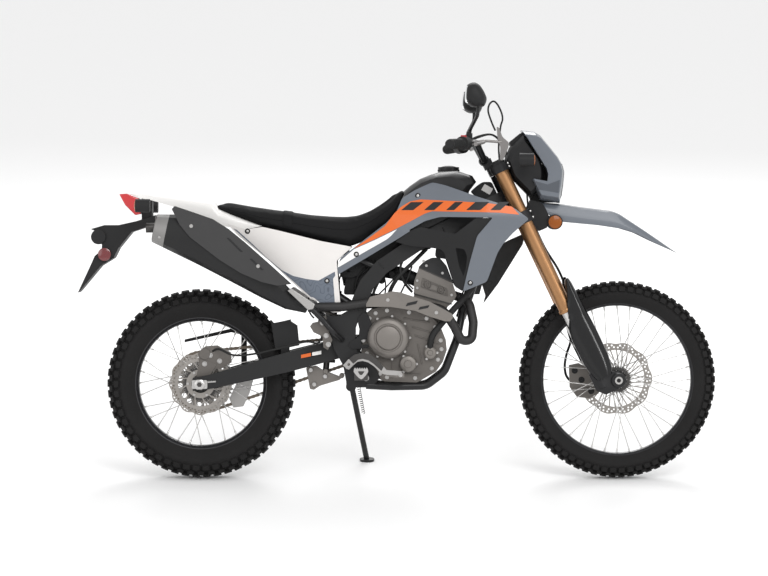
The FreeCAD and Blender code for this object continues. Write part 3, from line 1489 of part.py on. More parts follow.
def signals(x, z, inner_y, reach, carrier):
    """Turn signals on their stalks, which stand on the piece that carries them."""
    stalk = cross_rod(x, z, -inner_y, -reach, size.stalk_radius)
    half = size.signal_length / 2
    y = -reach - size.signal_radius * 0.6
    lamp = rod(xyz(x - half, y, z), xyz(x + half, y, z), size.signal_radius)
    return both_sides(largest(fused(stalk, lamp).cut(carrier)))


def radiator(tubes):
    """The coolant radiator on the left, on stays from the down tube, and its louvred frame."""
    lean = size.radiator_length - size.radiator_depth
    top = size.radiator_z + size.radiator_height
    core = slab([
        (size.radiator_x, size.radiator_z), (size.radiator_x + size.radiator_depth, size.radiator_z),
        (size.radiator_x + size.radiator_length, top), (size.radiator_x + lean, top),
    ], size.radiator_inner_y, size.radiator_outer_y)
    frame = slab(outline("louvre", LOUVRE_SHARES), size.louvre_inner_y, size.louvre_outer_y)
    stay_x = size.radiator_x + size.radiator_length * 0.765
    stay_z = size.radiator_z + size.radiator_height * 0.71
    stay = cross_rod(stay_x, stay_z, size.radiator_outer_y, size.louvre_inner_y, size.stay_radius)
    stays = []
    for rise_share in (0.3, 0.8):
        x = size.radiator_x + lean * rise_share + size.radiator_depth * 0.3
        z = size.radiator_z + size.radiator_height * rise_share
        stays.append(cross_rod(x, z, 0, size.radiator_inner_y, size.stay_radius * 1.5))
    return fused(core, frame, stay, *stays).cut(tubes)


# Feet


def foot_pegs():
    """A hollow rider's peg on each side, on its hanger."""
    x, z = size.peg_x, size.peg_z
    half, high = size.peg_width / 2, size.peg_height / 2
    block = slab([(x - half, z - high), (x + half, z - high), (x + half, z + high), (x - half, z + high)],
                 -size.peg_outer_y, -size.peg_inner_y)
    hole_half = half - size.peg_wall
    hole = Part.makeBox(
        hole_half * 2, size.peg_outer_y - size.peg_inner_y - size.peg_wall * 4, size.peg_height * 2,
        xyz(x - hole_half, -size.peg_outer_y + size.peg_wall * 2, z - size.peg_height))
    plate_face = size.plate_side + size.plate_thickness / 2
    hanger = cross_rod(x, z, -plate_face, -size.peg_inner_y - size.peg_wall, high * 0.8)
    return both_sides(fused(block, hanger).cut(hole))


def passenger_pegs():
    """A folded passenger peg against the end of each bracket."""
    face = size.peg_bracket_side + size.peg_bracket_radius
    x, z = size.peg_bracket_x, size.peg_bracket_z + size.peg_bracket_height
    length, thick = size.peg_bracket_length * 0.75, size.peg_bracket_radius * 1.6
    corners = [
        (x - length * 0.8, z + length * 0.58), (x - length * 0.66, z + length * 0.68),
        (x + thick * 1.6, z + thick * 0.3), (x + thick * 1.2, z - thick * 0.8), (x, z - thick),
    ]
    return both_sides(slab(corners, -face - thick, -face))


def brake_pedal():
    """The foot brake on the right, on a boss from the pivot plate."""
    points = route("pedal", PEDAL_SHARES, size.pedal_side)
    tube = bent_tube(points, size.pedal_radius, size.pad_length)
    boss = cross_rod(points[1].x, points[1].z, -size.plate_side - size.plate_thickness / 2, points[1].y,
                     size.pedal_radius * 1.2)
    corner = points[-1] - xyz(size.pad_length / 2, size.pad_width / 2, size.pedal_radius)
    pad = Part.makeBox(size.pad_length, size.pad_width, size.pedal_radius * 2, corner)
    return fused(tube, boss, pad)


def shift_lever():
    """The gear lever on the left, from its shaft in the crankcase to its toe piece."""
    x, y, z = size.shift_x, size.pedal_side, size.shift_z
    toe_x = x + size.shift_length
    shaft = cross_rod(x, z, size.case_left, y + size.shift_radius, size.shift_radius)
    lever = rod(xyz(x, y, z), xyz(toe_x, y, z), size.shift_radius * 0.9)
    toe = cross_rod(toe_x, z, y - size.shift_radius, y + size.pad_width, size.shift_radius)
    return fused(shaft, lever, toe)


# Side stand


def on_stand_bolt(along):
    """A place on the axis that the side stand folds about, measured outward from its pivot."""
    tilt = math.radians(size.stand_axis_tilt)
    top = xyz(size.stand_pivot_x, size.stand_pivot_y, size.stand_pivot_z)
    return top + xyz(0, math.cos(tilt), math.sin(tilt)) * along


def stand_rod(low, high, radius):
    """A round piece on the stand's axis."""
    return rod(on_stand_bolt(low), on_stand_bolt(high), radius)


def side_stand():
    """The stand's head on its bolt, its leg, and its foot flat on the ground."""
    lean = math.radians(size.lean_angle)
    rise = size.rear_tyre_half_width * 0.3 * math.sin(lean)
    foot = xyz(size.stand_foot_x, size.stand_foot_y,
               (size.stand_foot_y * math.sin(lean) - rise) / math.cos(lean))
    half = size.stand_head_thickness / 2
    head = stand_rod(-half, half, size.stand_head_radius)
    leg = rod(on_stand_bolt(0), foot, size.stand_leg_radius)
    ground_up = stance.inverse().Rotation.multVec(UP)
    pad = Part.makeCylinder(size.stand_foot_radius, size.stand_foot_thickness, foot, ground_up)
    below = Part.makeCylinder(size.stand_foot_radius * 2, size.stand_foot_radius * 2, foot, -ground_up)
    bore = stand_rod(-half * 4, half * 4, size.stand_bolt_radius + size.pin_gap)
    lug_side = stand_rod(-half * 8, -half, size.stand_head_radius * 1.5)
    bolt_side = stand_rod(half, half * 8, size.stand_head_radius * 1.5)
    return largest(fused(head, leg, pad).cut(below).cut(bore).cut(lug_side).cut(bolt_side))


# Steering


def fork_tubes():
    """The two upper fork tubes, each bored for the leg that slides in it."""
    low, high = bound.fork_outer_low, bound.fork_top
    outer, inner = bound.fork_outer_radius, bound.fork_inner_radius + bound.fit_gap
    body = turned("fork_tube_right", [
        (inner, low), (outer, low), (outer, high), (0, high), (0, low + bound.fork_bore_depth),
        (inner, low + bound.fork_bore_depth),
    ])
    base = on_fork(-size.axle_lead, -size.fork_half_spread, 0)
    body.Placement = Placement(base, Rotation(LEFT, along_fork))
    return pair("fork_tubes", body)


def fork_legs():
    """The sliding legs, with the lugs that hold the axle."""
    lead, y = -size.axle_lead, -size.fork_half_spread
    top = size.fork_outer_low + size.fork_bore_depth - size.pin_gap
    leg = Part.makeCylinder(size.fork_inner_radius, top, xyz(lead, y, 0), UP)
    half = size.axle_lug_width / 2
    reach = size.fork_inner_radius + size.guard_wall
    corners = [
        (lead - reach, size.axle_lug_top), (lead + reach, size.axle_lug_top),
        (size.axle_lug_radius * 0.7, size.axle_lug_radius * 0.7), (0, -size.axle_lug_radius),
        (lead, -size.axle_lug_radius), (lead - reach, 0),
    ]
    lug = slab(corners, y - half, y + half)
    ring = cross_rod(0, 0, y - half, y + half, size.axle_lug_radius)
    bore = cross_rod(0, 0, y - half * 2, y + half * 2, size.front_axle_radius + size.fit_gap)
    return both_sides(from_fork(fused(leg, lug, ring).cut(bore)))


def fork_clamps():
    """The upper and lower clamps on the steering stem."""
    lead, spread = -size.axle_lead, size.fork_half_spread
    ring = size.fork_outer_radius + size.clamp_wall
    stem = Part.makeCylinder(size.stem_radius, size.upper_clamp_along - size.lower_clamp_along,
                             xyz(stem_back, 0, size.lower_clamp_along), UP)
    shapes = [stem]
    half = size.stem_radius * 1.9
    for low, height in ((size.lower_clamp_along, size.lower_clamp_height),
                        (size.upper_clamp_along, size.upper_clamp_height)):
        for side in (-spread, spread):
            shapes.append(Part.makeCylinder(ring, height, xyz(lead, side, low), UP))
        corners = [
            xyz(lead + half * 0.5, -spread, low), xyz(lead - half * 0.5, -spread, low),
            xyz(stem_back - half, -spread * 0.4, low), xyz(stem_back - half, spread * 0.4, low),
            xyz(lead - half * 0.5, spread, low), xyz(lead + half * 0.5, spread, low),
        ]
        shapes.append(Part.Face(Part.makePolygon(corners + corners[:1])).extrude(xyz(0, 0, height)))
    whole = fused(*shapes)
    for side in (-spread, spread):
        bore = Part.makeCylinder(size.fork_outer_radius + size.fit_gap, size.fork_top * 2,
                                 xyz(lead, side, 0), UP)
        whole = whole.cut(bore)
    return from_fork(whole)


def front_axle_piece():
    """The hollow axle, with a head at each end against the lugs."""
    end = bound.fork_half_spread + bound.axle_lug_width * 0.5
    head = end + bound.rim_wall
    radius, bore = bound.front_axle_radius, bound.front_axle_bore_radius
    body = turned("front_axle", [
        (bore, -head), (radius + bound.rim_wall, -head), (radius + bound.rim_wall, -end),
        (radius, -end), (radius, end), (radius + bound.rim_wall, end), (radius + bound.rim_wall, head),
        (bore, head),
    ])
    return finish_turned("front_axle", body, front_axle)


def leg_room():
    """The space of the right-hand sliding leg with its gap, in the fork's own directions."""
    return Part.makeCylinder(size.fork_inner_radius + size.fit_gap, size.fork_top,
                             xyz(-size.axle_lead, -size.fork_half_spread, 0), UP)


def fork_guards():
    """The covers over the front of the sliding legs."""
    half = size.axle_lug_width / 2
    inner_y = size.fork_half_spread - size.guard_reach * 0.4
    outer_y = size.fork_half_spread + size.guard_reach
    body = slab(outline("guard", GUARD_SHARES), -outer_y, -inner_y)
    low = on_fork(-size.axle_lead, -size.fork_half_spread, -size.guard_height)
    high = on_fork(-size.axle_lead, -size.fork_half_spread, size.fork_outer_low + size.guard_height)
    hollow = rod(low, high, size.fork_outer_radius + size.guard_wall)
    reach = size.guard_length
    lug_top = size.axle_lug_top
    lug_room = slab([(-reach, -reach), (reach, -reach), (reach, lug_top), (-reach, lug_top)],
                    -size.fork_half_spread - half - size.panel_gap, -inner_y)
    collar = Part.makeCylinder(size.fork_outer_radius + size.guard_wall, size.guard_mount_height,
                               xyz(-size.axle_lead, -size.fork_half_spread, lug_top), UP)
    half_room = slab([(-size.axle_lead, -reach), (reach, -reach), (reach, reach), (-size.axle_lead, reach)],
                     -reach, 0)
    collar = from_fork(collar.common(half_room).cut(leg_room()))
    return both_sides(fused(body.cut(hollow).cut(from_fork(lug_room)), collar))


def front_brake(legs):
    """The caliper behind the left leg, and its hose down from the lower clamp."""
    y = size.front_disc_y
    half = size.caliper_half_width
    outer_face = size.fork_half_spread - size.fork_inner_radius - size.panel_gap
    body = slab(outline("front_caliper", FRONT_CALIPER_SHARES), y - half, outer_face)
    slot_half = size.disc_thickness / 2 + size.pad_gap
    slot = cross_rod(front_axle.x, front_axle.z, y - slot_half, y + slot_half,
                     size.front_disc_radius + size.disc_wave)
    lug_face = size.fork_half_spread - size.axle_lug_width / 2
    ears = slab(outline("front_caliper", [(0.5, 0.75), (1.15, 0.62), (1.12, 0.3), (0.6, 0.2)]),
                outer_face, lug_face)
    return largest(fused(body, ears).cut(slot).cut(legs))


def mirror_point(point):
    return xyz(point.x, -point.y, point.z)


def front_fender(*others):
    fender = tray(outline("front_fender", FRONT_FENDER_SHARES), size.front_fender_half_width,
                  size.front_fender_wall)
    return largest(fender.cut(Part.makeCompound(list(others))))


def fender_root(*others):
    body = slab(outline("fender_root", FENDER_ROOT_SHARES), -size.fender_root_half_width,
                size.fender_root_half_width)
    return largest(body.cut(Part.makeCompound(list(others))))


def headlight_cowl(*others):
    """The cowl round the headlight, drawn in at its sides."""
    bow = [(-1.0, 0.86), (-0.8, 0.95), (-0.4, 1.0), (0.4, 1.0), (0.8, 0.95), (1.0, 0.86)]
    cowl = bulged(outline("cowl", COWL_SHARES), size.cowl_half_width, bow)
    return largest(cowl.cut(Part.makeCompound(list(others))))


def lamp_house(*others):
    """The black inner housing that carries the cowl, the lamp and the meter."""
    body = bulged(outline("lamp_house", LAMP_HOUSE_SHARES), size.lamp_house_half_width)
    return largest(body.cut(Part.makeCompound(list(others))))


def bar_points():
    return route("bar", BAR_SHARES, size.bar_half_span)


def handlebar():
    """The bar, bent up from its clamps and back to the grips."""
    points = bar_points()
    left = [mirror_point(point) for point in reversed(points[1:])]
    return bent_tube(left + points[1:], size.bar_radius, size.bar_bend)


def bar_clamps():
    """The two risers that hold the bar over the upper clamp."""
    centre = fork_frame.inverse().multVec(bar_points()[0])
    low = size.upper_clamp_along + size.upper_clamp_height
    half = size.bar_clamp_width / 2
    risers = []
    for side in (-size.bar_clamp_y, size.bar_clamp_y):
        ring = cross_rod(centre.x, centre.z, side - half, side + half, size.bar_clamp_radius)
        corner = xyz(centre.x - half * 0.8, side - half, low)
        post = Part.makeBox(half * 2.6, half * 2, centre.z - low, corner)
        bore = cross_rod(centre.x, centre.z, side - half * 2, side + half * 2, size.bar_radius + size.fit_gap)
        risers.append(from_fork(ring.fuse(post).cut(bore)))
    return Part.makeCompound(risers)


def bar_end():
    """The right end of the bar, and the direction from it to the middle."""
    inner, outer = bar_points()[-2:]
    return outer, (inner - outer).normalize()


def hand_controls(bar):
    """Grips and switch housings, on both ends of the bar."""
    outer, inward = bar_end()
    grip_end = outer + inward * size.grip_length
    grip = rod(outer - inward * size.rim_wall, grip_end, size.grip_radius)
    switch = rod(grip_end, grip_end + inward * size.switch_length, size.switch_radius)
    return both_sides(fused(grip, switch).cut(bar))


def levers(bar):
    """The brake and clutch levers, ahead of the grips, on their perches."""
    outer, inward = bar_end()
    start = outer + inward * (size.grip_length + size.switch_length + size.switch_radius * 0.6)
    ahead = xyz(size.switch_radius * 2.1, 0, 0)
    high, thick = size.lever_height / 2, size.lever_thickness
    perch = rod(start, start + ahead, high)
    collar = rod(start - inward * high, start + inward * high, size.bar_radius + size.rim_wall)
    outward = xyz(-inward.x, -inward.y, 0)
    hub = start + ahead - xyz(0, 0, high)
    middle = hub + outward * (size.lever_length / 2) + xyz(thick * 0.6, 0, 0)
    tip = hub + outward * size.lever_length - xyz(size.grip_radius, 0, 0)
    front = [point + xyz(thick, 0, 0) for point in (hub - outward * high, middle, tip)]
    corners = front + [tip, middle, hub - outward * high]
    blade = Part.Face(Part.makePolygon(corners + corners[:1])).extrude(xyz(0, 0, size.lever_height))
    return both_sides(perch.fuse(collar).cut(bar).fuse(blade))


def mirrors(bar):
    """The mirrors on their stems, which stand on collars beside the levers."""
    outer, inward = bar_end()
    base = outer + inward * (size.grip_length + size.switch_length + size.switch_radius * 1.6)
    half = size.mirror_half_width
    head = slab(outline("mirror", MIRROR_SHARES), -size.mirror_y - half, -size.mirror_y + half)
    top_x, top_z = outline("mirror", [(0.6, 0.1)])[0]
    top = xyz(top_x, -size.mirror_y, top_z)
    rise = xyz(0, 0, size.mirror_height)
    stem = bent_tube([base, base + rise * 0.5, top - rise * 0.4, top], size.mirror_stem_radius,
                     size.mirror_height)
    collar = rod(base - inward * size.lever_thickness / 2, base + inward * size.lever_thickness / 2,
                 size.bar_radius + size.rim_wall)
    boot = rod(base, base + rise * 0.4, size.mirror_stem_radius * 1.7)
    return both_sides(fused(stem, head, collar, boot).cut(bar))


arm = swingarm()
frame = main_frame()
rails = subframe(frame)
case = engine_case().cut(frame)
head = cylinder_head(case)
can = muffler()
pipe = exhaust_pipe(head, can)
shock = rear_suspension(arm)
seat_space = seat_room()

front_wheel()
rear_wheel()
drive_chain()
keep("swingarm", arm)
keep("rear_suspension", shock)
keep("chain_guards", chain_guards(arm))
keep("rear_brake", rear_brake(arm))
keep("rear_mudflap", rear_mudflap(arm))
keep("main_frame", frame)
tubes = cradle(frame)
keep("cradle_tubes", tubes)
keep("subframe", rails)
keep("peg_brackets", peg_brackets())
keep("engine_case", case)
keep("engine_covers", engine_covers())
keep("cylinder_head", head)
keep("exhaust_pipe", pipe)
keep("muffler", can)
keep("exhaust_shields", exhaust_shields(can, pipe))
keep("seat", largest(seat().cut(rails)))
panels = shrouds()
keep("fuel_tank", fuel_tank(frame, panels))
keep("shrouds", panels)
keep("shroud_grilles", shroud_grilles())
keep("side_covers", side_covers(panels, rails))
keep("airbox", airbox(frame, rails, seat_space, arm, shock))
tail = rear_fender(rails, seat_space)
keep("rear_fender", tail)
hanger = plate_bracket(tail)
keep("plate_bracket", hanger)
keep("tail_lamp", tail_lamp(tail, hanger))
keep("rear_signals", signals(size.rear_signal_x, size.rear_signal_z, size.neck_width / 2,
                             size.rear_signal_reach, hanger))
keep("radiator", radiator(tubes))
keep("foot_pegs", foot_pegs())
keep("passenger_pegs", passenger_pegs())
keep("brake_pedal", brake_pedal())
keep("shift_lever", shift_lever())
keep("side_stand", side_stand())

fork_tubes()
legs = fork_legs()
clamps = fork_clamps()
tube_room = both_sides(rod(on_fork(-size.axle_lead, -size.fork_half_spread, size.fork_outer_low),
                           on_fork(-size.axle_lead, -size.fork_half_spread, size.fork_top),
                           size.fork_outer_radius + size.fit_gap))
keep("fork_legs", legs)
keep("fork_clamps", clamps)
front_axle_piece()
keep("fork_guards", fork_guards())
keep("front_caliper", front_brake(legs))
fender = front_fender(tube_room, clamps)
keep("front_fender", fender)
root = fender_root(fender, clamps, tube_room)
keep("fender_root", root)
bar = handlebar()
cowl = headlight_cowl(tube_room, clamps, fender, root, bar)
keep("headlight_cowl", cowl)
house = lamp_house(cowl, clamps, tube_room, bar)
keep("lamp_house", house)
keep("handlebar", bar)
keep("bar_clamps", bar_clamps())
keep("hand_controls", hand_controls(bar))
keep("levers", levers(bar))
keep("mirrors", mirrors(bar))
keep("front_signals", signals(size.front_signal_x, size.front_signal_z, size.lamp_house_half_width / 2,
                              size.front_signal_reach, house))

doc.recompute()
space = FreeCAD.BoundBox()
for part in parts:
    space.add(part.Shape.BoundBox)
rest = Placement(xyz(-space.Center.x, -space.Center.y, -space.ZMin), Rotation())
for part in parts:
    part.Placement = rest.multiply(part.Placement)
doc.recompute()
for thing in doc.Objects:
    if "Invalid" in thing.State or "Error" in thing.State:
        raise RuntimeError(f"{thing.Label} failed: {thing.State}")
for part in parts:
    if part.Shape.isNull() or not part.Shape.isValid():
        raise RuntimeError(f"{part.Label} has no valid shape")

os.makedirs("parts", exist_ok=True)
for part in parts:
    part.Shape.exportStep(f"parts/{part.Label}.step")
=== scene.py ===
import json
import math

import bmesh
import bpy
from mathutils import Matrix, Vector
from mathutils.bvhtree import BVHTree
from mathutils.geometry import tessellate_polygon


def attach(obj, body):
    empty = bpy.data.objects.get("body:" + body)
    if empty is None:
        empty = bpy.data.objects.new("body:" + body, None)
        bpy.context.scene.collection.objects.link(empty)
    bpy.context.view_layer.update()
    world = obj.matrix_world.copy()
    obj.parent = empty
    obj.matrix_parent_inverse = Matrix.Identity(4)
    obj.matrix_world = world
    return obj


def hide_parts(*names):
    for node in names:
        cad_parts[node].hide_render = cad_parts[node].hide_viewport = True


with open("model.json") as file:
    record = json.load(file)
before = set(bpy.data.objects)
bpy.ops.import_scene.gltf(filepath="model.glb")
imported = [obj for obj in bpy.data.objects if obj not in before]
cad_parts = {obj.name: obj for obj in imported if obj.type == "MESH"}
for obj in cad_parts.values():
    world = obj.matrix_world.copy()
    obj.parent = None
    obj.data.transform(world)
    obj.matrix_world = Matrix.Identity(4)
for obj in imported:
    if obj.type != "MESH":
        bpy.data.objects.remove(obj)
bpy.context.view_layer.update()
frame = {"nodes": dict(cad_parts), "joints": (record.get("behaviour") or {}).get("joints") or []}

# The motorcycle stands parked, leaning on its side stand. Its pieces are worked out
# upright, with the wheel axles on the centre plane, and then leaned as it is parked.
rear_axle = Vector((-0.7275, 0, 0.330))
front_axle = Vector((0.7275, 0, 0.344))
lean = Matrix.Rotation(math.radians(-10), 4, "X")
rear_joint = next(joint for joint in frame["joints"] if joint["name"] == "rear_wheel_spin")
parked = Matrix.Translation(Vector(rear_joint["pos_m"]) - lean @ rear_axle) @ lean
upright = parked.inverted()

# The camera looks at the right side from far off, level with the machine as it leans.
camera_data = bpy.data.cameras.new("camera")
camera_data.lens = 166
camera_data.sensor_width = 36
camera_data.clip_end = 60
camera = bpy.data.objects.new("camera", camera_data)
camera_place = Vector((-0.018, -12.4, 0.880))
camera_aim = Vector((-0.088, 0, 0.663))
sight = (camera_aim - camera_place).to_track_quat("-Z", "Y").to_matrix().to_4x4()
camera.matrix_world = parked @ Matrix.Translation(camera_place) @ sight
bpy.context.scene.collection.objects.link(camera)
bpy.context.scene.camera = camera

# A plain pale floor without an edge in view, under a soft white studio.
floor_half = 40
floor_colour = (0.93, 0.93, 0.93, 1)
studio_colour = (1, 1, 1, 1)
studio_strength = 0.93


def graph(name):
    """A material with its shader and the functions that add and join nodes."""
    material = bpy.data.materials.new(name)
    material.use_nodes = True
    nodes = material.node_tree.nodes
    shader = nodes["Principled BSDF"]

    def add(kind, **settings):
        node = nodes.new(kind)
        for key, value in settings.items():
            if key in node.inputs:
                node.inputs[key].default_value = value
            else:
                setattr(node, key, value)
        return node

    def join(source, output, target, socket):
        material.node_tree.links.new(source.outputs[output], target.inputs[socket])

    return material, shader, add, join


floor_mesh = bpy.data.meshes.new("floor")
floor_corners = [(-1, -1), (1, -1), (1, 1), (-1, 1)]
floor_places = [(x * floor_half, y * floor_half, 0) for x, y in floor_corners]
floor_mesh.from_pydata(floor_places, [], [(0, 1, 2, 3)])
floor = bpy.data.objects.new("floor", floor_mesh)
bpy.context.scene.collection.objects.link(floor)
floor_paint, floor_shader, add, join = graph("floor_paint")
floor_shader.inputs["Base Color"].default_value = floor_colour
floor_shader.inputs["Roughness"].default_value = 0.8
floor_speckle = add("ShaderNodeTexNoise", Scale=3.0)
floor_bump = add("ShaderNodeBump", Strength=0.02, Distance=0.001)
join(floor_speckle, "Fac", floor_bump, "Height")
join(floor_bump, "Normal", floor_shader, "Normal")
floor_mesh.materials.append(floor_paint)

world = bpy.data.worlds.new("studio")
world.use_nodes = True
world.node_tree.nodes["Background"].inputs["Color"].default_value = studio_colour
world.node_tree.nodes["Background"].inputs["Strength"].default_value = studio_strength
bpy.context.scene.world = world
bpy.context.scene.view_settings.view_transform = "Standard"


def soft_box(name, place, aim, width, power):
    """One square studio light that faces a point on the machine."""
    data = bpy.data.lights.new(name, "AREA")
    data.size = width
    data.energy = power
    box = bpy.data.objects.new(name, data)
    turn = (Vector(aim) - Vector(place)).to_track_quat("-Z", "Y").to_matrix().to_4x4()
    box.matrix_world = Matrix.Translation(place) @ turn
    bpy.context.scene.collection.objects.link(box)


machine_middle = (0, -0.1, 0.6)
soft_box("key_light", (1.5, -5.0, 5.0), machine_middle, 3.0, 130)
soft_box("side_strip", (5.6, -5.2, 3.2), machine_middle, 1.0, 55)
soft_box("fill_light", (-4.0, -4.5, 2.5), machine_middle, 3.0, 30)
soft_box("rim_light", (0.5, 4.5, 4.0), machine_middle, 2.5, 120)

# The tyres are black rubber with a block tread for loose ground, which is cut in rows
# across the crown and down the shoulders. A plain sidewall reaches the rim.
MM = 0.001
gloss_spread = 0.15


def moulded(name, colour, roughness, grain, depth, patches=0.12, metallic=0.0, coat=0.0, shine=0.5):
    """A moulded or cast finish: fine grain in relief, and slow patches in shade and gloss."""
    material, shader, add, join = graph(name)
    place = add("ShaderNodeTexCoord")
    fine = add("ShaderNodeTexNoise", Scale=1 / grain, Detail=6.0, Roughness=0.6)
    slow = add("ShaderNodeTexNoise", Scale=9.0, Detail=4.0, Roughness=0.55)
    join(place, "Object", fine, "Vector")
    join(place, "Object", slow, "Vector")
    bump = add("ShaderNodeBump", Strength=0.6, Distance=depth)
    join(fine, "Fac", bump, "Height")
    join(bump, "Normal", shader, "Normal")
    shade = add("ShaderNodeMapRange", **{"To Min": 1 - patches, "To Max": 1 + patches})
    join(slow, "Fac", shade, "Value")
    tint = add("ShaderNodeVectorMath", operation="SCALE")
    tint.inputs[0].default_value = colour
    join(shade, "Result", tint, "Scale")
    join(tint, "Vector", shader, "Base Color")
    gloss = add("ShaderNodeMapRange", **{"From Min": 0.3, "From Max": 0.7})
    gloss.inputs["To Min"].default_value = roughness * (1 - gloss_spread)
    gloss.inputs["To Max"].default_value = min(1, roughness * (1 + gloss_spread))
    join(fine, "Fac", gloss, "Value")
    join(gloss, "Result", shader, "Roughness")
    shader.inputs["Metallic"].default_value = metallic
    shader.inputs["Coat Weight"].default_value = coat
    shader.inputs["Specular IOR Level"].default_value = shine
    return material


def finish_piece(name, verts, faces, body, slot, material, sharp=35):
    """A piece from machine-frame points in metres, leaned, shaded and put on its body."""
    mesh = bpy.data.meshes.new(name)
    mesh.from_pydata([parked @ Vector(point) for point in verts], [], faces)
    mesh.validate()
    shaped = bmesh.new()
    shaped.from_mesh(mesh)
    bmesh.ops.remove_doubles(shaped, verts=shaped.verts, dist=1e-6)
    bmesh.ops.recalc_face_normals(shaped, faces=shaped.faces)
    shaped.to_mesh(mesh)
    shaped.free()
    mesh.shade_smooth()
    mesh.set_sharp_from_angle(angle=math.radians(sharp))
    mesh.materials.append(material)
    item = bpy.data.objects.new(name, mesh)
    bpy.context.scene.collection.objects.link(item)
    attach(item, body)
    return item


def scaled(points):
    """Millimetres to metres."""
    return [tuple(value * MM for value in point) for point in points]


def turned(profile, steps, closed=True):
    """Points and faces of a profile, (radius, y) pairs, turned about the y axis."""
    verts, faces = [], []
    count = len(profile)
    for step in range(steps):
        angle = 2 * math.pi * step / steps
        verts += [(r * math.cos(angle), y, r * math.sin(angle)) for r, y in profile]
    for step in range(steps):
        here, there = step * count, (step + 1) % steps * count
        for index in range(count if closed else count - 1):
            other = (index + 1) % count
            faces.append([here + index, here + other, there + other, there + index])
    if not closed:
        for index in (0, count - 1):
            faces.append([step * count + index for step in range(steps)])
    return verts, faces


def plate(outline, holes, low_y, high_y):
    """Points and faces of a flat plate in the xz plane with holes through it."""
    loops = [outline] + list(holes)
    flat = [(x, z) for loop in loops for x, z in loop]
    count = len(flat)
    verts = [(x, low_y, z) for x, z in flat] + [(x, high_y, z) for x, z in flat]
    triangles = tessellate_polygon([[Vector((x, z, 0)) for x, z in loop] for loop in loops])
    faces = [list(triangle) for triangle in triangles]
    faces += [[count + index for index in triangle[::-1]] for triangle in triangles]
    start = 0
    for loop in loops:
        size = len(loop)
        for index in range(size):
            other = (index + 1) % size
            faces.append([start + index, start + other, count + start + other, count + start + index])
        start += size
    return verts, faces


class Shape:
    """Points and faces that a piece is put together from."""

    def __init__(self):
        self.verts = []
        self.faces = []

    def add(self, verts, faces, place=None):
        """Takes in more points and faces, moved by place."""
        start = len(self.verts)
        self.verts += [place @ Vector(point) if place else Vector(point) for point in verts]
        self.faces += [[start + index for index in face] for face in faces]

    def knob(self, profile, steps, place=None):
        """A solid part turned from a profile in millimetres."""
        self.add(*turned(scaled(profile), steps, closed=False), place)

    def ring(self, profile, steps, place=None):
        """A part with a hole through it, turned from a closed profile in millimetres."""
        self.add(*turned(scaled(profile), steps), place)

    def both_plates(self, outline, holes, near, far, place=None):
        """The same plate on the right and on the left, between two distances in millimetres."""
        for side in (-1, 1):
            low, high = sorted((side * near * MM, side * far * MM))
            self.add(*plate(outline, holes, low, high), place)

    def make(self, name, body, slot, material, replaced=None, rounding=0, **more):
        """The finished piece, with its edges rounded and the CAD solid that it stands for."""
        piece = finish_piece(name, self.verts, self.faces, body, slot, material, **more)
        if rounding:
            soften(piece, rounding)
        if replaced:
            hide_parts(replaced)
        return piece


def soften(piece, width, segments=2, angle=40):
    """Rounds the edges of a piece; the width is in millimetres."""
    edges = piece.modifiers.new("edges", "BEVEL")
    edges.width = width * MM
    edges.segments = segments
    edges.limit_method = "ANGLE"
    edges.angle_limit = math.radians(angle)
    edges.harden_normals = False


def block(corners_low, corners_high):
    """A tread block or lug between a lower and an upper ring of corners."""
    count = len(corners_low)
    sides = [[i, (i + 1) % count, count + (i + 1) % count, count + i] for i in range(count)]
    return corners_low + corners_high, sides + [list(range(count))[::-1], list(range(count, 2 * count))]


tyre_rubber = moulded("tyre_rubber", (0.0125, 0.012, 0.012), 0.8, 0.0016, 0.0006, 0.25, shine=0.2)


def tyre(name, axle, radius, half_width, bead, rim_half, lift, rows, sectors, body, node):
    """The carcass with rows of knobs: each gives its y share, half length and width, shift and height."""
    carcass_radius = radius - lift
    crown = (carcass_radius - bead) * 0.5
    middle = carcass_radius - crown
    reach = half_width - lift * 0.55
    crown_steps = 12
    crown_turn = 8.2
    profile = []
    for step in range(-crown_steps, crown_steps + 1):
        angle = math.radians(step * crown_turn)
        profile.append((middle + crown * math.cos(angle), reach * math.sin(angle)))
    bead_profile = [(bead, rim_half), (bead, -rim_half)]
    inner = [(bead + 4 * MM, -rim_half + 4 * MM), (middle, -half_width + lift)]
    inner += [(middle + crown * 0.86, 0), (middle, half_width - lift), (bead + 4 * MM, rim_half - 4 * MM)]
    shape = Shape()
    place = Matrix.Translation(axle)
    shape.add(*turned(profile + bead_profile[:1] + inner[::-1] + bead_profile[1:], 144), place)
    for share, half_long, half_wide, shift, height in rows:
        angle = math.asin(max(-1, min(1, share)))
        for sector in range(sectors):
            turn = 2 * math.pi * (sector + shift) / sectors
            low, high = [], []
            for along, across in ((-1, -1), (1, -1), (1, 1), (-1, 1)):
                for taper, ring, corners in ((1.1, -2 * MM, low), (0.92, height, high)):
                    a = angle + across * half_wide * taper / reach
                    r = middle + (crown + ring) * math.cos(a)
                    y = (reach + ring) * math.sin(a)
                    t = turn + along * half_long * taper / carcass_radius
                    corners.append((r * math.cos(t), y, r * math.sin(t)))
            shape.add(*block(low, high), place)
    soften(shape.make(name, body, "tyre", tyre_rubber, node, sharp=40), 0.8, 1, 42)


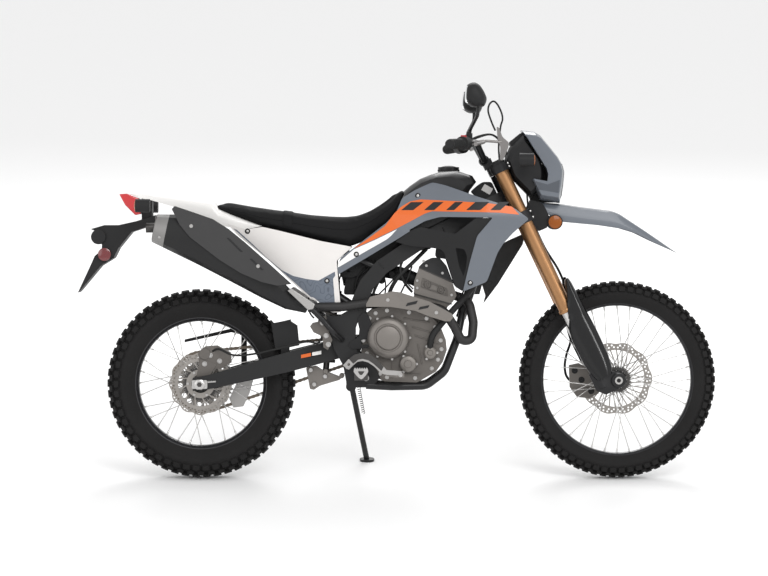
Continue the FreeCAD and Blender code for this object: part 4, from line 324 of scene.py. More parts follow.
knob_height = 11 * MM
side_knob_height = 10.5 * MM
rear_rows = []
for side in (-1, 1):
    rear_rows.append((0.29 * side, 13.5 * MM, 9.5 * MM, 0.0, knob_height))
    rear_rows.append((0.63 * side, 11.5 * MM, 9 * MM, 0.5, knob_height))
    rear_rows.append((0.91 * side, 13.5 * MM, 9.5 * MM, 0.04, side_knob_height))
rear_rows.append((0.0, 12.5 * MM, 6.5 * MM, 0.02, knob_height))
tyre("rear_tyre_tread", rear_axle, 0.330, 0.061, 0.228, 0.030, knob_height, rear_rows, 54, "rear_wheel",
     "rear_tyre")
front_rows = []
for side in (-1, 1):
    front_rows.append((0.30 * side, 11.5 * MM, 7 * MM, 0.0, knob_height))
    front_rows.append((0.61 * side, 9 * MM, 6 * MM, 0.5, knob_height))
    front_rows.append((0.90 * side, 12 * MM, 8 * MM, 0.0, side_knob_height))
front_rows.append((0.0, 10.5 * MM, 4.5 * MM, 0.02, knob_height))
tyre("front_tyre_tread", front_axle, 0.344, 0.044, 0.266, 0.022, knob_height, front_rows, 66, "front_wheel",
     "front_tyre")

# The rims are rolled aluminium hoops, painted satin black, with a drop centre that the
# spoke nipples come through and a raised edge each side that holds the tyre.
rim_paint = moulded("rim_paint", (0.012, 0.012, 0.014), 0.34, 0.004, 0.0001, 0.1, coat=0.3)


def rim(name, axle, bead, flange, inner, half, body, node):
    """A hoop from its tyre seat, flange and inner radius, and half its width."""
    wall = 3 * MM
    outside = [(flange, half), (flange - 1 * MM, half - wall), (bead, half - wall - 3 * MM)]
    outside += [(bead - 2 * MM, half * 0.45), (inner + wall, half * 0.3)]
    outside += [(r, -y) for r, y in outside[::-1]]
    inside = [(flange - 2 * MM, -half), (bead - wall * 1.6, -half * 0.72), (inner, -half * 0.34)]
    inside += [(r, -y) for r, y in inside[::-1]]
    shape = Shape()
    shape.add(*turned(outside + inside, 144), Matrix.Translation(axle))
    shape.make(name, body, "rim", rim_paint, node, sharp=50)


rim("rear_rim_hoop", rear_axle, 0.228, 0.243, 0.217, 0.037, "rear_wheel", "rear_rim")
rim("front_rim_hoop", front_axle, 0.266, 0.280, 0.257, 0.026, "front_wheel", "front_rim")

# The hubs are cast aluminium, painted black: a barrel between two flanges for the spokes,
# with seats at the ends where the brake disc and the rear sprocket bolt on.
satin_alloy = moulded("satin_alloy", (0.42, 0.41, 0.40), 0.38, 0.002, 0.00015, 0.12, metallic=1.0)
hub_black = moulded("hub_black", (0.016, 0.016, 0.017), 0.42, 0.002, 0.0002, 0.12, coat=0.2)
bright_steel = moulded("bright_steel", (0.52, 0.51, 0.5), 0.3, 0.003, 0.0001, 0.1, metallic=1.0)


def at_mm(x, y, z):
    """The shift to a place in millimetres."""
    return Matrix.Translation((x * MM, y * MM, z * MM))


def bolt(shape, place, radius, height):
    """A cap bolt with a rounded rim and a socket, its head towards -y."""
    ring = [(0.0001, -height * 0.45), (radius * 0.45, -height * 0.45), (radius * 0.5, -height)]
    ring += [(radius * 0.86, -height), (radius, -height * 0.82), (radius, 0)]
    shape.add(*turned(ring, 18, closed=False), place)


def to_side(side):
    """The turn that puts a part made for the right side, -y, on the left one, 1."""
    return Matrix.Rotation(math.pi, 4, "Z") if side == 1 else Matrix.Identity(4)


def bolt_circle(shape, centre, radius, y, count, size, height, side=-1):
    """Cap bolts in a ring round a centre, with their heads to one side."""
    for index in range(count):
        angle = 2 * math.pi * index / count
        at = Vector(centre) + Vector((radius * math.cos(angle), y, radius * math.sin(angle)))
        bolt(shape, Matrix.Translation(at) @ to_side(side), size, height)


front_profile = [
    (10.4, -57), (17, -57), (19, -50), (24, -47), (30, -33), (35, -33), (36, -31), (36, -28), (34, -27),
    (26, -26), (22, -18), (21, 0), (22, 18), (26, 26), (34, 27), (36, 28), (36, 31), (35, 33),
    (28, 34), (26, 44), (25, 54), (22, 60), (15, 62), (10.4, 62),
]
rear_profile = [
    (10.4, -70), (24, -70), (26, -66), (27, -60), (40, -56), (44, -46), (50, -37), (50, -34), (48, -31),
    (34, -29), (28, -22), (27, 0), (28, 22), (34, 29), (48, 31), (50, 34), (50, 37), (46, 44),
    (46, 70), (42, 79), (26, 80), (24, 88), (10.4, 88),
]
for end, axle, profile in (("front", front_axle, front_profile), ("rear", rear_axle, rear_profile)):
    hub = Shape()
    hub.ring(profile, 64, Matrix.Translation(axle))
    hub.make(f"{end}_hub_casting", f"{end}_wheel", "hub", hub_black, f"{end}_hub", sharp=45)

# The spokes are butted steel wires, bent at the hub flange and screwed at the rim into
# plated nipples. They cross each other in pairs.
spoke_steel = moulded("spoke_steel", (0.56, 0.55, 0.54), 0.28, 0.002, 0.00005, 0.08, metallic=1.0)


def frame_along(points):
    """Two directions square to a line of points at each of them, without twist."""
    pairs = []
    side = None
    for index, point in enumerate(points):
        ahead = points[min(index + 1, len(points) - 1)] - points[max(index - 1, 0)]
        ahead.normalize()
        if side is None:
            side = ahead.orthogonal().normalized()
        side = (side - ahead * side.dot(ahead)).normalized()
        pairs.append((side, ahead.cross(side)))
    return pairs


def ring_faces(rings, size):
    """Faces of a closed body through rings that each have the same number of points."""
    faces = []
    for ring in range(rings - 1):
        a, b = ring * size, (ring + 1) * size
        for index in range(size):
            other = (index + 1) % size
            faces.append([a + index, a + other, b + other, b + index])
    return faces + [list(range(size))[::-1], [(rings - 1) * size + index for index in range(size)]]


def tube(points, radii, steps=10):
    """Points and faces of a round tube along a line; radii is one number or one per point."""
    points = [Vector(point) for point in points]
    if not isinstance(radii, (list, tuple)):
        radii = [radii] * len(points)
    verts = []
    for point, radius, (side, up) in zip(points, radii, frame_along(points)):
        for step in range(steps):
            angle = 2 * math.pi * step / steps
            verts.append(point + side * (radius * math.cos(angle)) + up * (radius * math.sin(angle)))
    return verts, ring_faces(len(points), steps)


wire_radius = 1.55 * MM
cross_turn = 1.1


def spokes(name, axle, count, flange, hub_half, rim_inner, rim_half, body, node):
    """Wires laced from both hub flanges to the rim, leading and trailing by turns."""
    wires, nipples = Shape(), Shape()
    place = Matrix.Translation(axle)
    for index in range(count):
        side = 1 if index % 2 else -1
        lead = 1 if (index // 2) % 2 else -1
        rim_turn = 2 * math.pi * index / count
        hub_turn = rim_turn + lead * cross_turn
        hub_r = flange - 4 * MM
        hub_y = side * (hub_half - 3 * MM)
        at_x, at_z = hub_r * math.cos(hub_turn), hub_r * math.sin(hub_turn)
        bend = Vector((at_x, hub_y - side * 5 * MM * lead, at_z))
        start = Vector((at_x, hub_y + side * 4 * MM * lead, at_z))
        end_r = rim_inner + 2 * MM
        end = Vector((end_r * math.cos(rim_turn), side * rim_half * 0.2, end_r * math.sin(rim_turn)))
        run = (end - start).normalized()
        wires.add(*tube([bend, start, start + run * 3 * MM, end], wire_radius, 8), place)
        sizes = [(-15, 2.1), (-14, 2.9), (-4, 3.0), (-3.5, 4.0), (1, 4.2)]
        nipples.add(*tube([end + run * (at * MM) for at, r in sizes], [r * MM for at, r in sizes], 8), place)
    wires.make(name, body, "spoke", spoke_steel, node, sharp=60)
    nipples.make(name + "_nipples", body, "spoke", spoke_steel, sharp=50)


spokes("front_spoke_wires", front_axle, 36, 0.036, 0.033, 0.257, 0.026, "front_wheel", "front_spokes")
spokes("rear_spoke_wires", rear_axle, 32, 0.050, 0.036, 0.217, 0.037, "rear_wheel", "rear_spokes")

# The brake discs are ground steel rings with a waved and drilled edge, carried on thin
# slanting arms. Six bolts hold each one to its hub.
disc_steel = moulded("disc_steel", (0.33, 0.31, 0.29), 0.34, 0.0012, 0.00008, 0.14, metallic=1.0)


def circle(x, z, radius, steps=14):
    """The outline of a round hole or disc."""
    angles = [2 * math.pi * step / steps for step in range(steps)]
    return [(x + radius * math.cos(a), z + radius * math.sin(a)) for a in angles]


def brake_disc(name, axle, y, radius, inner, hub, lobes, arms, body, node):
    """The ring is waved; holes sit in an arc in each lobe; arms lean from the hub to the ring."""
    half, arm_half = 2 * MM, 2.2 * MM
    shape = Shape()
    place = Matrix.Translation(axle)
    edge, holes = [], []
    for step in range(lobes * 12):
        angle = 2 * math.pi * step / (lobes * 12)
        wave = 0.5 + 0.5 * math.cos(lobes * angle)
        r = radius - 6 * MM * (1 - wave) ** 1.4
        edge.append((r * math.cos(angle), r * math.sin(angle)))
    for lobe in range(lobes):
        middle = 2 * math.pi * lobe / lobes
        for share, depth, size in ((-0.4, 18, 3.2), (-0.3, 11, 3.4), (-0.14, 18, 3.2), (-0.09, 7.5, 3.4),
                                   (0.1, 8, 3.4), (0.14, 17, 3.2), (0.3, 11.5, 3.4), (0.4, 19, 3.2)):
            angle = middle + share * 2 * math.pi / lobes
            r = radius - depth * MM
            holes.append(circle(r * math.cos(angle), r * math.sin(angle), size * MM, 10))
    inner_edge = circle(0, 0, inner, lobes * 12)
    shape.add(*plate(edge, holes + [inner_edge], y - half, y + half), place)
    for index in range(arms):
        base = 2 * math.pi * index / arms
        corners = []
        for r_share, shift in ((0, 0), (0.5, 0.2), (1.03, 0.3), (1.03, 0.3), (0.5, 0.2), (0, 0)):
            r = hub + (inner - hub) * r_share
            side = 1 if len(corners) < 3 else -1
            angle = base + shift + side * arm_half / r
            corners.append((r * math.cos(angle), r * math.sin(angle)))
        shape.add(*plate(corners, [], y - half * 0.8, y + half * 0.8), place)
    hub_edge, hub_hole = circle(0, 0, hub + 10 * MM, 60), circle(0, 0, hub * 0.8, 48)
    shape.add(*plate(hub_edge, [hub_hole], y - half, y + half), place)
    shape.make(name, body, "disc", disc_steel, node, sharp=30)
    heads = Shape()
    for side in (-1, 1):
        bolt_circle(heads, axle, hub + 4 * MM, y + side * half, 6, 5 * MM, 4 * MM, side)
    heads.make(name + "_bolts", body, "steel", bright_steel, sharp=40)


brake_disc("front_brake_disc", front_axle, 0.058, 0.128, 0.100, 0.030, 10, 30, "front_wheel", "front_disc")
brake_disc("rear_brake_disc", rear_axle, -0.062, 0.110, 0.078, 0.040, 12, 12, "rear_wheel", "rear_disc")

# The rear sprocket is a cut steel plate, lightened with pairs of holes. The chain is a
# closed loop of pressed side plates on pins and rollers, brown with oil.
chain_steel = moulded("chain_steel", (0.20, 0.17, 0.14), 0.42, 0.003, 0.0002, 0.25, metallic=1.0)
pitch = 15.875 * MM
chain_y = 0.084
wheel_teeth = 42
shaft_teeth = 14
output_shaft = Vector((-0.125, 0, 0.462))


def pitch_radius(teeth):
    """How far from a toothed wheel's middle the chain's pins run."""
    return pitch / (2 * math.sin(math.pi / teeth))


def sprocket(teeth, centre, hub, holes):
    """A toothed wheel: round seats for the rollers between rounded teeth."""
    middle = pitch_radius(teeth)
    edge = []
    for index in range(teeth):
        for share, reach in ((0, -5.0), (0.15, -4.4), (0.28, -1.5), (0.38, 1.6), (0.46, 3.6), (0.54, 3.6),
                             (0.62, 1.6), (0.72, -1.5), (0.85, -4.4)):
            angle = 2 * math.pi * (index + share) / teeth
            r = middle + reach * MM
            edge.append((r * math.cos(angle), r * math.sin(angle)))
    cuts = [circle(0, 0, hub, 48)]
    for index in range(holes):
        angle = 2 * math.pi * index / holes
        for wide in (-0.16, 0.16):
            r = (middle + hub) * 0.5 + 8 * MM
            cuts.append(circle(r * math.cos(angle + wide), r * math.sin(angle + wide), 9 * MM, 16))
    shape = Shape()
    shape.add(*plate(edge, cuts, chain_y - 3 * MM, chain_y + 3 * MM), Matrix.Translation(centre))
    return shape


wheel_sprocket = sprocket(wheel_teeth, rear_axle, 0.040, 8)
wheel_sprocket.make("rear_sprocket_plate", "rear_wheel", "disc", disc_steel, "rear_sprocket", sharp=30)
shaft_sprocket = sprocket(shaft_teeth, output_shaft, 0.012, 0)
shaft_sprocket.make("front_sprocket_plate", "chassis", "steel", disc_steel, sharp=30)
sprocket_bolts = Shape()
bolt_circle(sprocket_bolts, rear_axle, 0.058, chain_y + 3 * MM, 6, 6.5 * MM, 6 * MM, 1)
sprocket_bolts.make("rear_sprocket_bolts", "rear_wheel", "steel", bright_steel, sharp=40)


def chain_line():
    """A place and a direction on the loop for any length of travel, and the loop's length."""
    big, small = pitch_radius(wheel_teeth), pitch_radius(shaft_teeth)
    run = output_shaft - rear_axle
    spread = math.asin((big - small) / run.length)
    straight = math.sqrt(run.length ** 2 - (big - small) ** 2)
    wrap_small = (math.pi - 2 * spread) * small
    wrap_big = (math.pi + 2 * spread) * big
    upper = math.atan2(run.z, run.x) + math.pi / 2 - spread
    lower = upper - math.pi + 2 * spread
    total = 2 * straight + wrap_small + wrap_big

    def out(turn):
        return Vector((math.cos(turn), 0, math.sin(turn)))

    def onward(turn):
        return Vector((math.sin(turn), 0, -math.cos(turn)))

    def spot(travel):
        travel %= total
        if travel < straight:
            return rear_axle + out(upper) * big + onward(upper) * travel
        travel -= straight
        if travel < wrap_small:
            return output_shaft + out(upper - travel / small) * small
        travel -= wrap_small
        if travel < straight:
            return output_shaft + out(lower) * small + onward(lower) * travel
        return rear_axle + out(lower - (travel - straight) / big) * big

    return spot, total


chain_spot, chain_length = chain_line()
pin_count = 2 * round(chain_length / pitch / 2)
pins = [chain_spot(chain_length * index / pin_count) for index in range(pin_count)]
chain = Shape()
link_end, link_waist = 6.2 * MM, 4.6 * MM
for index, pin in enumerate(pins):
    ahead = pins[(index + 1) % pin_count] - pin
    turn = math.atan2(ahead.z, ahead.x)
    place = Matrix.Translation(pin + Vector((0, chain_y, 0))) @ Matrix.Rotation(-turn, 4, "Y")
    link = []
    for middle, first, waist in ((0, 60, -link_waist), (ahead.length, -120, link_waist)):
        for step in range(7):
            at = math.radians(first + 40 * step)
            link.append((middle + link_end * math.cos(at), link_end * math.sin(at)))
        link.append((ahead.length / 2, waist))
    near = 5.2 if index % 2 else 3.5
    chain.both_plates(link, [], near, near + 1.4, place)
    chain.knob([(0.1, -7), (2.4, -7), (2.4, 7), (0.1, 7)], 8, place)
    chain.knob([(0.1, -3.4), (4.9, -3.4), (4.9, 3.4), (0.1, 3.4)], 10, place)
chain.make("drive_chain_links", "chassis", "chain", chain_steel, "drive_chain", sharp=35)

# The shrouds are thin mouldings in blue-grey plastic from the seat past the tank to the
# radiators, with a long crease. Orange, white and black stickers lie along their upper edge.
grey_plastic = moulded("grey_plastic", (0.120, 0.134, 0.156), 0.34, 0.0012, 0.00004, 0.05, coat=0.22,
                       shine=0.4)
orange_film = moulded("orange_film", (0.66, 0.125, 0.018), 0.36, 0.0008, 0.00003, 0.05, coat=0.2,
                      shine=0.3)
white_film = moulded("white_film", (0.80, 0.79, 0.77), 0.34, 0.0008, 0.00003, 0.03, coat=0.4)
black_film = moulded("black_film", (0.016, 0.016, 0.017), 0.4, 0.0008, 0.00003, 0.05, shine=0.3)
black_plastic = moulded("black_plastic", (0.0125, 0.0125, 0.013), 0.55, 0.0010, 0.00018, 0.14, shine=0.25)


def spread(shares, low_x, low_z, length, height):
    """Outline points in metres from shares of a length and a height in millimetres."""
    return [((low_x + a * length) * MM, (low_z + b * height) * MM) for a, b in shares]


def rounded(points, radius):
    """An outline whose corners are rounded as a moulded edge is."""
    result = []
    count = len(points)
    for index in range(count):
        corner = Vector((*points[index], 0))
        before = Vector((*points[index - 1], 0)) - corner
        after = Vector((*points[(index + 1) % count], 0)) - corner
        reach = min(radius, before.length * 0.45, after.length * 0.45)
        start, end = corner + before.normalized() * reach, corner + after.normalized() * reach
        for share in (0, 0.33, 0.67, 1):
            place = start * (1 - share) ** 2 + corner * 2 * share * (1 - share) + end * share ** 2
            result.append((place.x, place.y))
    return result


def smooth_line(xs, ys, at):
    """The height at a place on a smooth line through points."""
    last = len(xs) - 1
    index = 0
    while index < last - 1 and at > xs[index + 1]:
        index += 1

    def slope(point):
        before, after = max(point - 1, 0), min(point + 1, last)
        return (ys[after] - ys[before]) / (xs[after] - xs[before])

    span = xs[index + 1] - xs[index]
    t = max(-0.3, min(1.3, (at - xs[index]) / span))
    near, far = slope(index) * span, slope(index + 1) * span
    rise = ys[index + 1] - ys[index]
    bend, twist = 3 * rise - 2 * near - far, near + far - 2 * rise
    return ys[index] + near * t + bend * t ** 2 + twist * t ** 3


def flank(stations, side, low_x, low_z, length, height):
    """How far out a panel's face lies at a place, from rows of (height share, side share)."""
    def reach(x, z):
        along, up = (x / MM - low_x) / length, (z / MM - low_z) / height
        row = [smooth_line([h for h, s in edge], [s for h, s in edge], up) for share, edge in stations]
        return side * MM * smooth_line([share for share, edge in stations], row, along)
    return reach


def slab(points, corner, low, high, holes=()):
    """A plate with rounded corners, all in millimetres but the holes."""
    return plate(rounded(scaled(points), corner * MM), holes, low * MM, high * MM)


def panel_sheet(outline, holes, reach, lift, wall, sign, step):
    """Points and faces of a curved sheet cut to an outline; sign is -1 on the right."""
    loops = [outline] + list(holes)
    sheet = bmesh.new()
    corners = [sheet.verts.new((x, 0, z)) for loop in loops for x, z in loop]
    for triangle in tessellate_polygon([[Vector((x, z, 0)) for x, z in loop] for loop in loops]):
        sheet.faces.new([corners[index] for index in triangle])
    for axis, values in ((0, [x for x, z in outline]), (2, [z for x, z in outline])):
        normal = Vector((1, 0, 0)) if axis == 0 else Vector((0, 0, 1))
        at = min(values) + step * 0.5
        while at < max(values):
            everything = sheet.verts[:] + sheet.edges[:] + sheet.faces[:]
            bmesh.ops.bisect_plane(sheet, geom=everything, plane_co=normal * at, plane_no=normal, dist=1e-5)
            at += step
    outer = sheet.verts[:]
    grown = bmesh.ops.extrude_face_region(sheet, geom=sheet.faces[:])
    inner = [item for item in grown["geom"] if isinstance(item, bmesh.types.BMVert)]
    fresh = set(inner)
    for vert in sheet.verts:
        out = reach(vert.co.x, vert.co.z) + lift - (wall if vert in fresh else 0)
        vert.co.y = sign * out
    sheet.verts.index_update()
    verts = [vert.co.copy() for vert in sheet.verts]
    faces = [[vert.index for vert in face.verts] for face in sheet.faces]
    sheet.free()
    return verts, faces


def panels(name, outline, holes, reach, lift, wall, slot, material, step=12 * MM, **more):
    """A panel or sticker on both sides; lift is how far it stands off the reach."""
    shape = Shape()
    for sign in (-1, 1):
        shape.add(*panel_sheet(outline, holes, reach, lift, wall, sign, step))
    shape.make(name, "chassis", slot, material, sharp=30, **more)


def sticker(name, outline, corner, reach, slot, material):
    """A thin film on both sides, from an outline in millimetres."""
    panels(name, rounded(scaled(outline), corner * MM), [], reach, 0.5 * MM, 0.35 * MM, slot, material)


shroud_box = (-252, 653, 665, 379)
shroud_rows = [
    (-0.02, [(0.1, 0.62), (0.45, 0.62), (0.7, 0.61), (0.8, 0.6), (1.02, 0.56)]),
    (0.25, [(0.0, 0.66), (0.45, 0.68), (0.62, 0.67), (0.8, 0.63), (1.02, 0.58)]),
    (0.5, [(-0.02, 0.72), (0.45, 0.85), (0.68, 0.88), (0.8, 0.79), (1.02, 0.60)]),
    (0.75, [(-0.02, 0.78), (0.45, 0.96), (0.68, 1.02), (0.76, 0.99), (1.02, 0.82)]),
    (1.02, [(-0.02, 0.8), (0.45, 0.94), (0.66, 1.0), (0.74, 0.98), (1.02, 0.86)]),
]
shroud_reach = flank(shroud_rows, 200, *shroud_box)
shroud_shares = [
    (1.0, 0.664), (0.922, 0.764), (0.746, 0.859), (0.565, 0.973), (0.497, 1.0), (0.409, 0.927),
    (0.342, 0.855), (0.311, 0.718), (0.259, 0.627), (0.124, 0.445), (0.021, 0.309), (0.0, 0.2),
    (0.073, 0.273), (0.28, 0.464), (0.461, 0.645), (0.539, 0.682), (0.813, 0.677), (0.731, 0.509),
    (0.694, 0.273), (0.658, 0.0), (0.782, 0.091), (0.837, 0.355), (0.865, 0.436), (0.917, 0.536),
]
shroud_outline = rounded(spread(shroud_shares, *shroud_box), 9 * MM)
panels("shroud_panels", shroud_outline, [], shroud_reach, 0, 4 * MM, "grey_plastic", grey_plastic,
       replaced="shrouds", rounding=1.2)
orange_outline = [
    (-192, 802), (-129, 846), (-84, 880), (-53, 922), (-29, 946), (3, 965), (40, 972), (175, 965),
    (279, 958), (354, 947), (379, 919), (313, 926), (244, 928), (78, 931), (54, 923), (6, 897),
    (-40, 873), (-118, 835),
]
sticker("shroud_orange_stickers", orange_outline, 4, shroud_reach, "grey_plastic", orange_film)
white_outline = [
    (-247, 752), (-192, 799), (-118, 832), (-42, 869), (-63, 846), (-77, 834), (-163, 785), (-247, 736),
]
sticker("shroud_white_stickers", white_outline, 3, shroud_reach, "white_plastic", white_film)
border_outline = [
    (-249, 731), (-163, 781), (-77, 830), (-30, 858), (0, 874), (2, 862), (-32, 840), (-158, 764),
    (-245, 713),
]
panels("shroud_lower_borders", rounded(scaled(border_outline), 2 * MM), [], shroud_reach, 0.25 * MM,
       2 * MM, "grey_plastic", grey_plastic)
slashes = Shape()
slash_spans = ((-28, 14, 50, 6), (51, 86, 119, 84), (127, 155, 186, 158), (196, 245, 277, 228),
               (279, 314, 345, 310))
for low_back, low_front, high_front, high_back in slash_spans:
    corners = scaled([(high_back, 963), (high_front, 963), (low_front, 935), (low_back, 935)])
    for sign in (-1, 1):
        slashes.add(*panel_sheet(rounded(corners, 2 * MM), [], shroud_reach, 0.8 * MM, 0.35 * MM, sign,
                                 12 * MM))
slashes.make("shroud_black_slashes", "chassis", "black_plastic", black_film, sharp=30)

# Behind the lower front of each shroud stands a black moulded grille with a window,
# through which the radiator breathes.
grille_shares = [
    (0.0, 0.676), (0.153, 0.824), (0.255, 0.878), (0.612, 0.784), (0.827, 1.0), (1.0, 1.0),
    (0.837, 0.757), (0.765, 0.405), (0.694, 0.0), (0.612, 0.068), (0.592, 0.162), (0.5, 0.541),
    (0.459, 0.581), (0.153, 0.622),
]
grille_outline = rounded(spread(grille_shares, -49, 653, 338, 255), 7 * MM)
grille_window = scaled([(160, 805), (190, 800), (200, 775), (196, 735), (188, 705), (172, 742)])
panels("shroud_grille_panels", grille_outline, [rounded(grille_window, 6 * MM)], shroud_reach, -4.4 * MM,
       4 * MM, "black_plastic", black_plastic, 14 * MM, replaced="shroud_grilles", rounding=1.2)

# The side covers under the seat are white plastic, with a blue-grey sticker in the lower
# corner that has a faint pattern of wandering lines.
white_plastic = moulded("white_plastic", (0.80, 0.785, 0.765), 0.32, 0.0012, 0.00004, 0.03, coat=0.4)
patterned_film, film_shader, add, join = graph("patterned_film")
film_place = add("ShaderNodeTexCoord")
film_noise = add("ShaderNodeTexNoise", Scale=13.0, Detail=1.5, Roughness=0.5)
join(film_place, "Object", film_noise, "Vector")
film_levels = add("ShaderNodeMath", operation="MULTIPLY")
film_levels.inputs[1].default_value = 16.0
join(film_noise, "Fac", film_levels, "Value")
film_fraction = add("ShaderNodeMath", operation="FRACT")
join(film_levels, "Value", film_fraction, "Value")
film_line = add("ShaderNodeMath", operation="LESS_THAN")
film_line.inputs[1].default_value = 0.16
join(film_fraction, "Value", film_line, "Value")
film_colour = add("ShaderNodeMix", data_type="RGBA")
film_colour.inputs[6].default_value = (0.110, 0.132, 0.168, 1)
film_colour.inputs[7].default_value = (0.066, 0.080, 0.106, 1)
join(film_line, "Value", film_colour, "Factor")
material_links = patterned_film.node_tree.links
material_links.new(film_colour.outputs[2], film_shader.inputs["Base Color"])
film_shader.inputs["Roughness"].default_value = 0.38
film_shader.inputs["Coat Weight"].default_value = 0.3
cover_box = (-633, 580, 435, 309)
cover_rows = [
    (-0.02, [(-0.05, 0.8), (0.4, 0.86), (0.8, 0.92), (1.05, 0.9)]),
    (0.4, [(-0.05, 0.86), (0.4, 0.93), (0.8, 1.0), (1.05, 0.98)]),
    (0.75, [(-0.05, 0.86), (0.4, 0.91), (0.8, 0.94), (1.05, 0.92)]),
    (1.02, [(-0.05, 0.84), (0.4, 0.88), (0.8, 0.88), (1.05, 0.88)]),
]
cover_reach = flank(cover_rows, 138, *cover_box)
cover_shares = [
    (0.0, 1.0), (0.095, 0.86), (0.349, 0.57), (0.508, 0.358), (0.667, 0.156), (0.73, 0.123),
    (0.802, 0.022), (0.849, 0.0), (0.913, 0.0), (0.889, 0.369), (0.877, 0.581), (1.0, 0.737),
    (0.746, 0.804), (0.429, 0.916), (0.286, 0.961), (0.151, 0.933),
]
cover_outline = rounded(spread(cover_shares, *cover_box), 5 * MM)
# The side covers get a darker copy of the white plastic than the tail: painted shade on the same white
# moulding.
cover_white_painted_shade = moulded("cover_white_painted_shade", (0.69, 0.665, 0.645), 0.36, 0.0012, 0.00004, 0.04, coat=0.2)
panels("side_cover_panels", cover_outline, [], cover_reach, 0, 4 * MM, "white_plastic", cover_white_painted_shade,
       replaced="side_covers", rounding=1)
band_outline = [
    (-610, 872), (-596, 866), (-544, 819), (-494, 771), (-441, 727), (-402, 707), (-354, 696),
    (-314, 691), (-258, 722), (-256, 708), (-264, 698), (-256, 590), (-281, 592), (-331, 632),
    (-341, 634), (-424, 708),
]
sticker("side_cover_stickers", band_outline, 3, cover_reach, "grey_plastic", patterned_film)
panel_screws, screw_cups = Shape(), Shape()
for x, z, reach in ((-285, 690, cover_reach), (-560, 862, cover_reach), (-183, 782, shroud_reach),
                    (211, 684, shroud_reach), (30, 985, shroud_reach)):
    for sign in (-1, 1):
        face = sign * (reach(x * MM, z * MM) + 0.6 * MM)
        place = Matrix.Translation((x * MM, face, z * MM)) @ to_side(sign)
        screw_cups.knob([(0.01, -1.6), (6, -1.6), (8.5, -1.2), (9.5, 0), (9.5, 1), (0.01, 1)], 24, place)
        bolt(panel_screws, place @ at_mm(0, -1.4, 0), 4.6 * MM, 2.2 * MM)
screw_cups.make("panel_screw_collars", "chassis", "black_plastic", black_plastic, sharp=40)
panel_screws.make("panel_screws", "chassis", "steel", bright_steel, sharp=40)

# The tail cover runs back from the seat as one white moulding with a rounded top and
# straight sides. It is open below.
tail_shares = [
    (0.0, 1.0), (0.17, 0.986), (0.4, 0.9), (0.644, 0.792), (0.667, 0.597), (0.874, 0.292),
    (1.0, 0.097), (0.874, 0.0), (0.748, 0.069), (0.674, 0.125), (0.63, 0.292), (0.43, 0.542),
    (0.17, 0.819), (0.089, 0.875),
]
tail_outline = spread(tail_shares, -980, 868, 469, 125)


def span_at(points, x):
    """The lowest and highest place of an outline at one x."""
    crossings = []
    for (x1, z1), (x2, z2) in zip(points, points[1:] + points[:1]):
        if (x1 <= x) != (x2 <= x):
            crossings.append(z1 + (z2 - z1) * (x - x1) / (x2 - x1))
    return min(crossings), max(crossings)


def hull(outline, width_at, section, xs):
    """A closed body through rings: section gives (side share, height share) round each ring."""
    verts = []
    for x in xs:
        low, high = span_at(outline, x)
        half = width_at(x)
        verts += [Vector((x, side * half, low + up * (high - low))) for side, up in section]
    return verts, ring_faces(len(xs), len(section))


def stations(outline, count, margin=0.6 * MM):
    """Places along an outline, closer together near its ends."""
    low, high = min(x for x, z in outline) + margin, max(x for x, z in outline) - margin
    turns = [math.pi * (0.06 + 0.88 * step / (count - 1)) for step in range(count)]
    shares = [0.5 - 0.5 * math.cos(turn) for turn in turns]
    first, last = shares[0], shares[-1]
    return [low + (high - low) * (share - first) / (last - first) for share in shares]


def width_line(xs, halves):
    """Half the width of a body at any x, from places and halves in millimetres."""
    return lambda x: smooth_line([value * MM for value in xs], [value * MM for value in halves], x)


tail_width = width_line([-990, -940, -860, -700, -500], [38, 60, 82, 98, 102])
tail_section = []
for angle in range(0, 181, 12):
    at = math.radians(angle)
    across = math.copysign(abs(math.cos(at)) ** 0.45, math.cos(at))
    tail_section.append((across, 0.45 + 0.55 * math.sin(at) ** 0.7))
tail_section = [(1.0, 0.0)] + tail_section + [(-1.0, 0.0), (-0.9, 0.0)]
inner_section = [(side * 0.93, max(0.0, up - 0.1)) for side, up in tail_section[1:-2]]
tail_section += inner_section[::-1] + [(0.93, 0.0)]
tail = Shape()
tail.add(*hull(tail_outline, tail_width, tail_section, stations(tail_outline, 60)))
tail.make("tail_cover", "chassis", "white_plastic", white_plastic, "rear_fender", sharp=40)

# The seat is foam under a black grained cover, narrow at its nose beside the tank and
# wider to the rear, with a seam along each side and a band across ahead of the passenger.
# The cover is cloth that a little pressure fills, and it is held close to the solid seat.
seat_cover = moulded("seat_cover", (0.0095, 0.0095, 0.010), 0.74, 0.0011, 0.0005, 0.12, shine=0.14)
seat_shares = [
    (0.0, 0.718), (0.016, 0.752), (0.084, 0.735), (0.189, 0.675), (0.295, 0.624), (0.4, 0.581),
    (0.505, 0.53), (0.611, 0.504), (0.689, 0.496), (0.758, 0.521), (0.821, 0.598), (0.874, 0.701),
    (0.926, 0.821), (0.968, 0.974), (0.989, 1.0), (1.0, 0.974), (0.995, 0.906), (0.979, 0.752),
    (0.947, 0.564), (0.9, 0.393), (0.821, 0.188), (0.768, 0.077), (0.726, 0.0), (0.689, 0.009),
    (0.558, 0.103), (0.453, 0.188), (0.347, 0.274), (0.242, 0.359), (0.163, 0.479), (0.089, 0.564),
    (0.016, 0.658),
]
seat_outline = spread(seat_shares, -676, 807, 658, 203)
seat_width = width_line([-680, -640, -560, -430, -300, -190, -100, -18],
                        [60, 88, 108, 116, 112, 92, 70, 56])
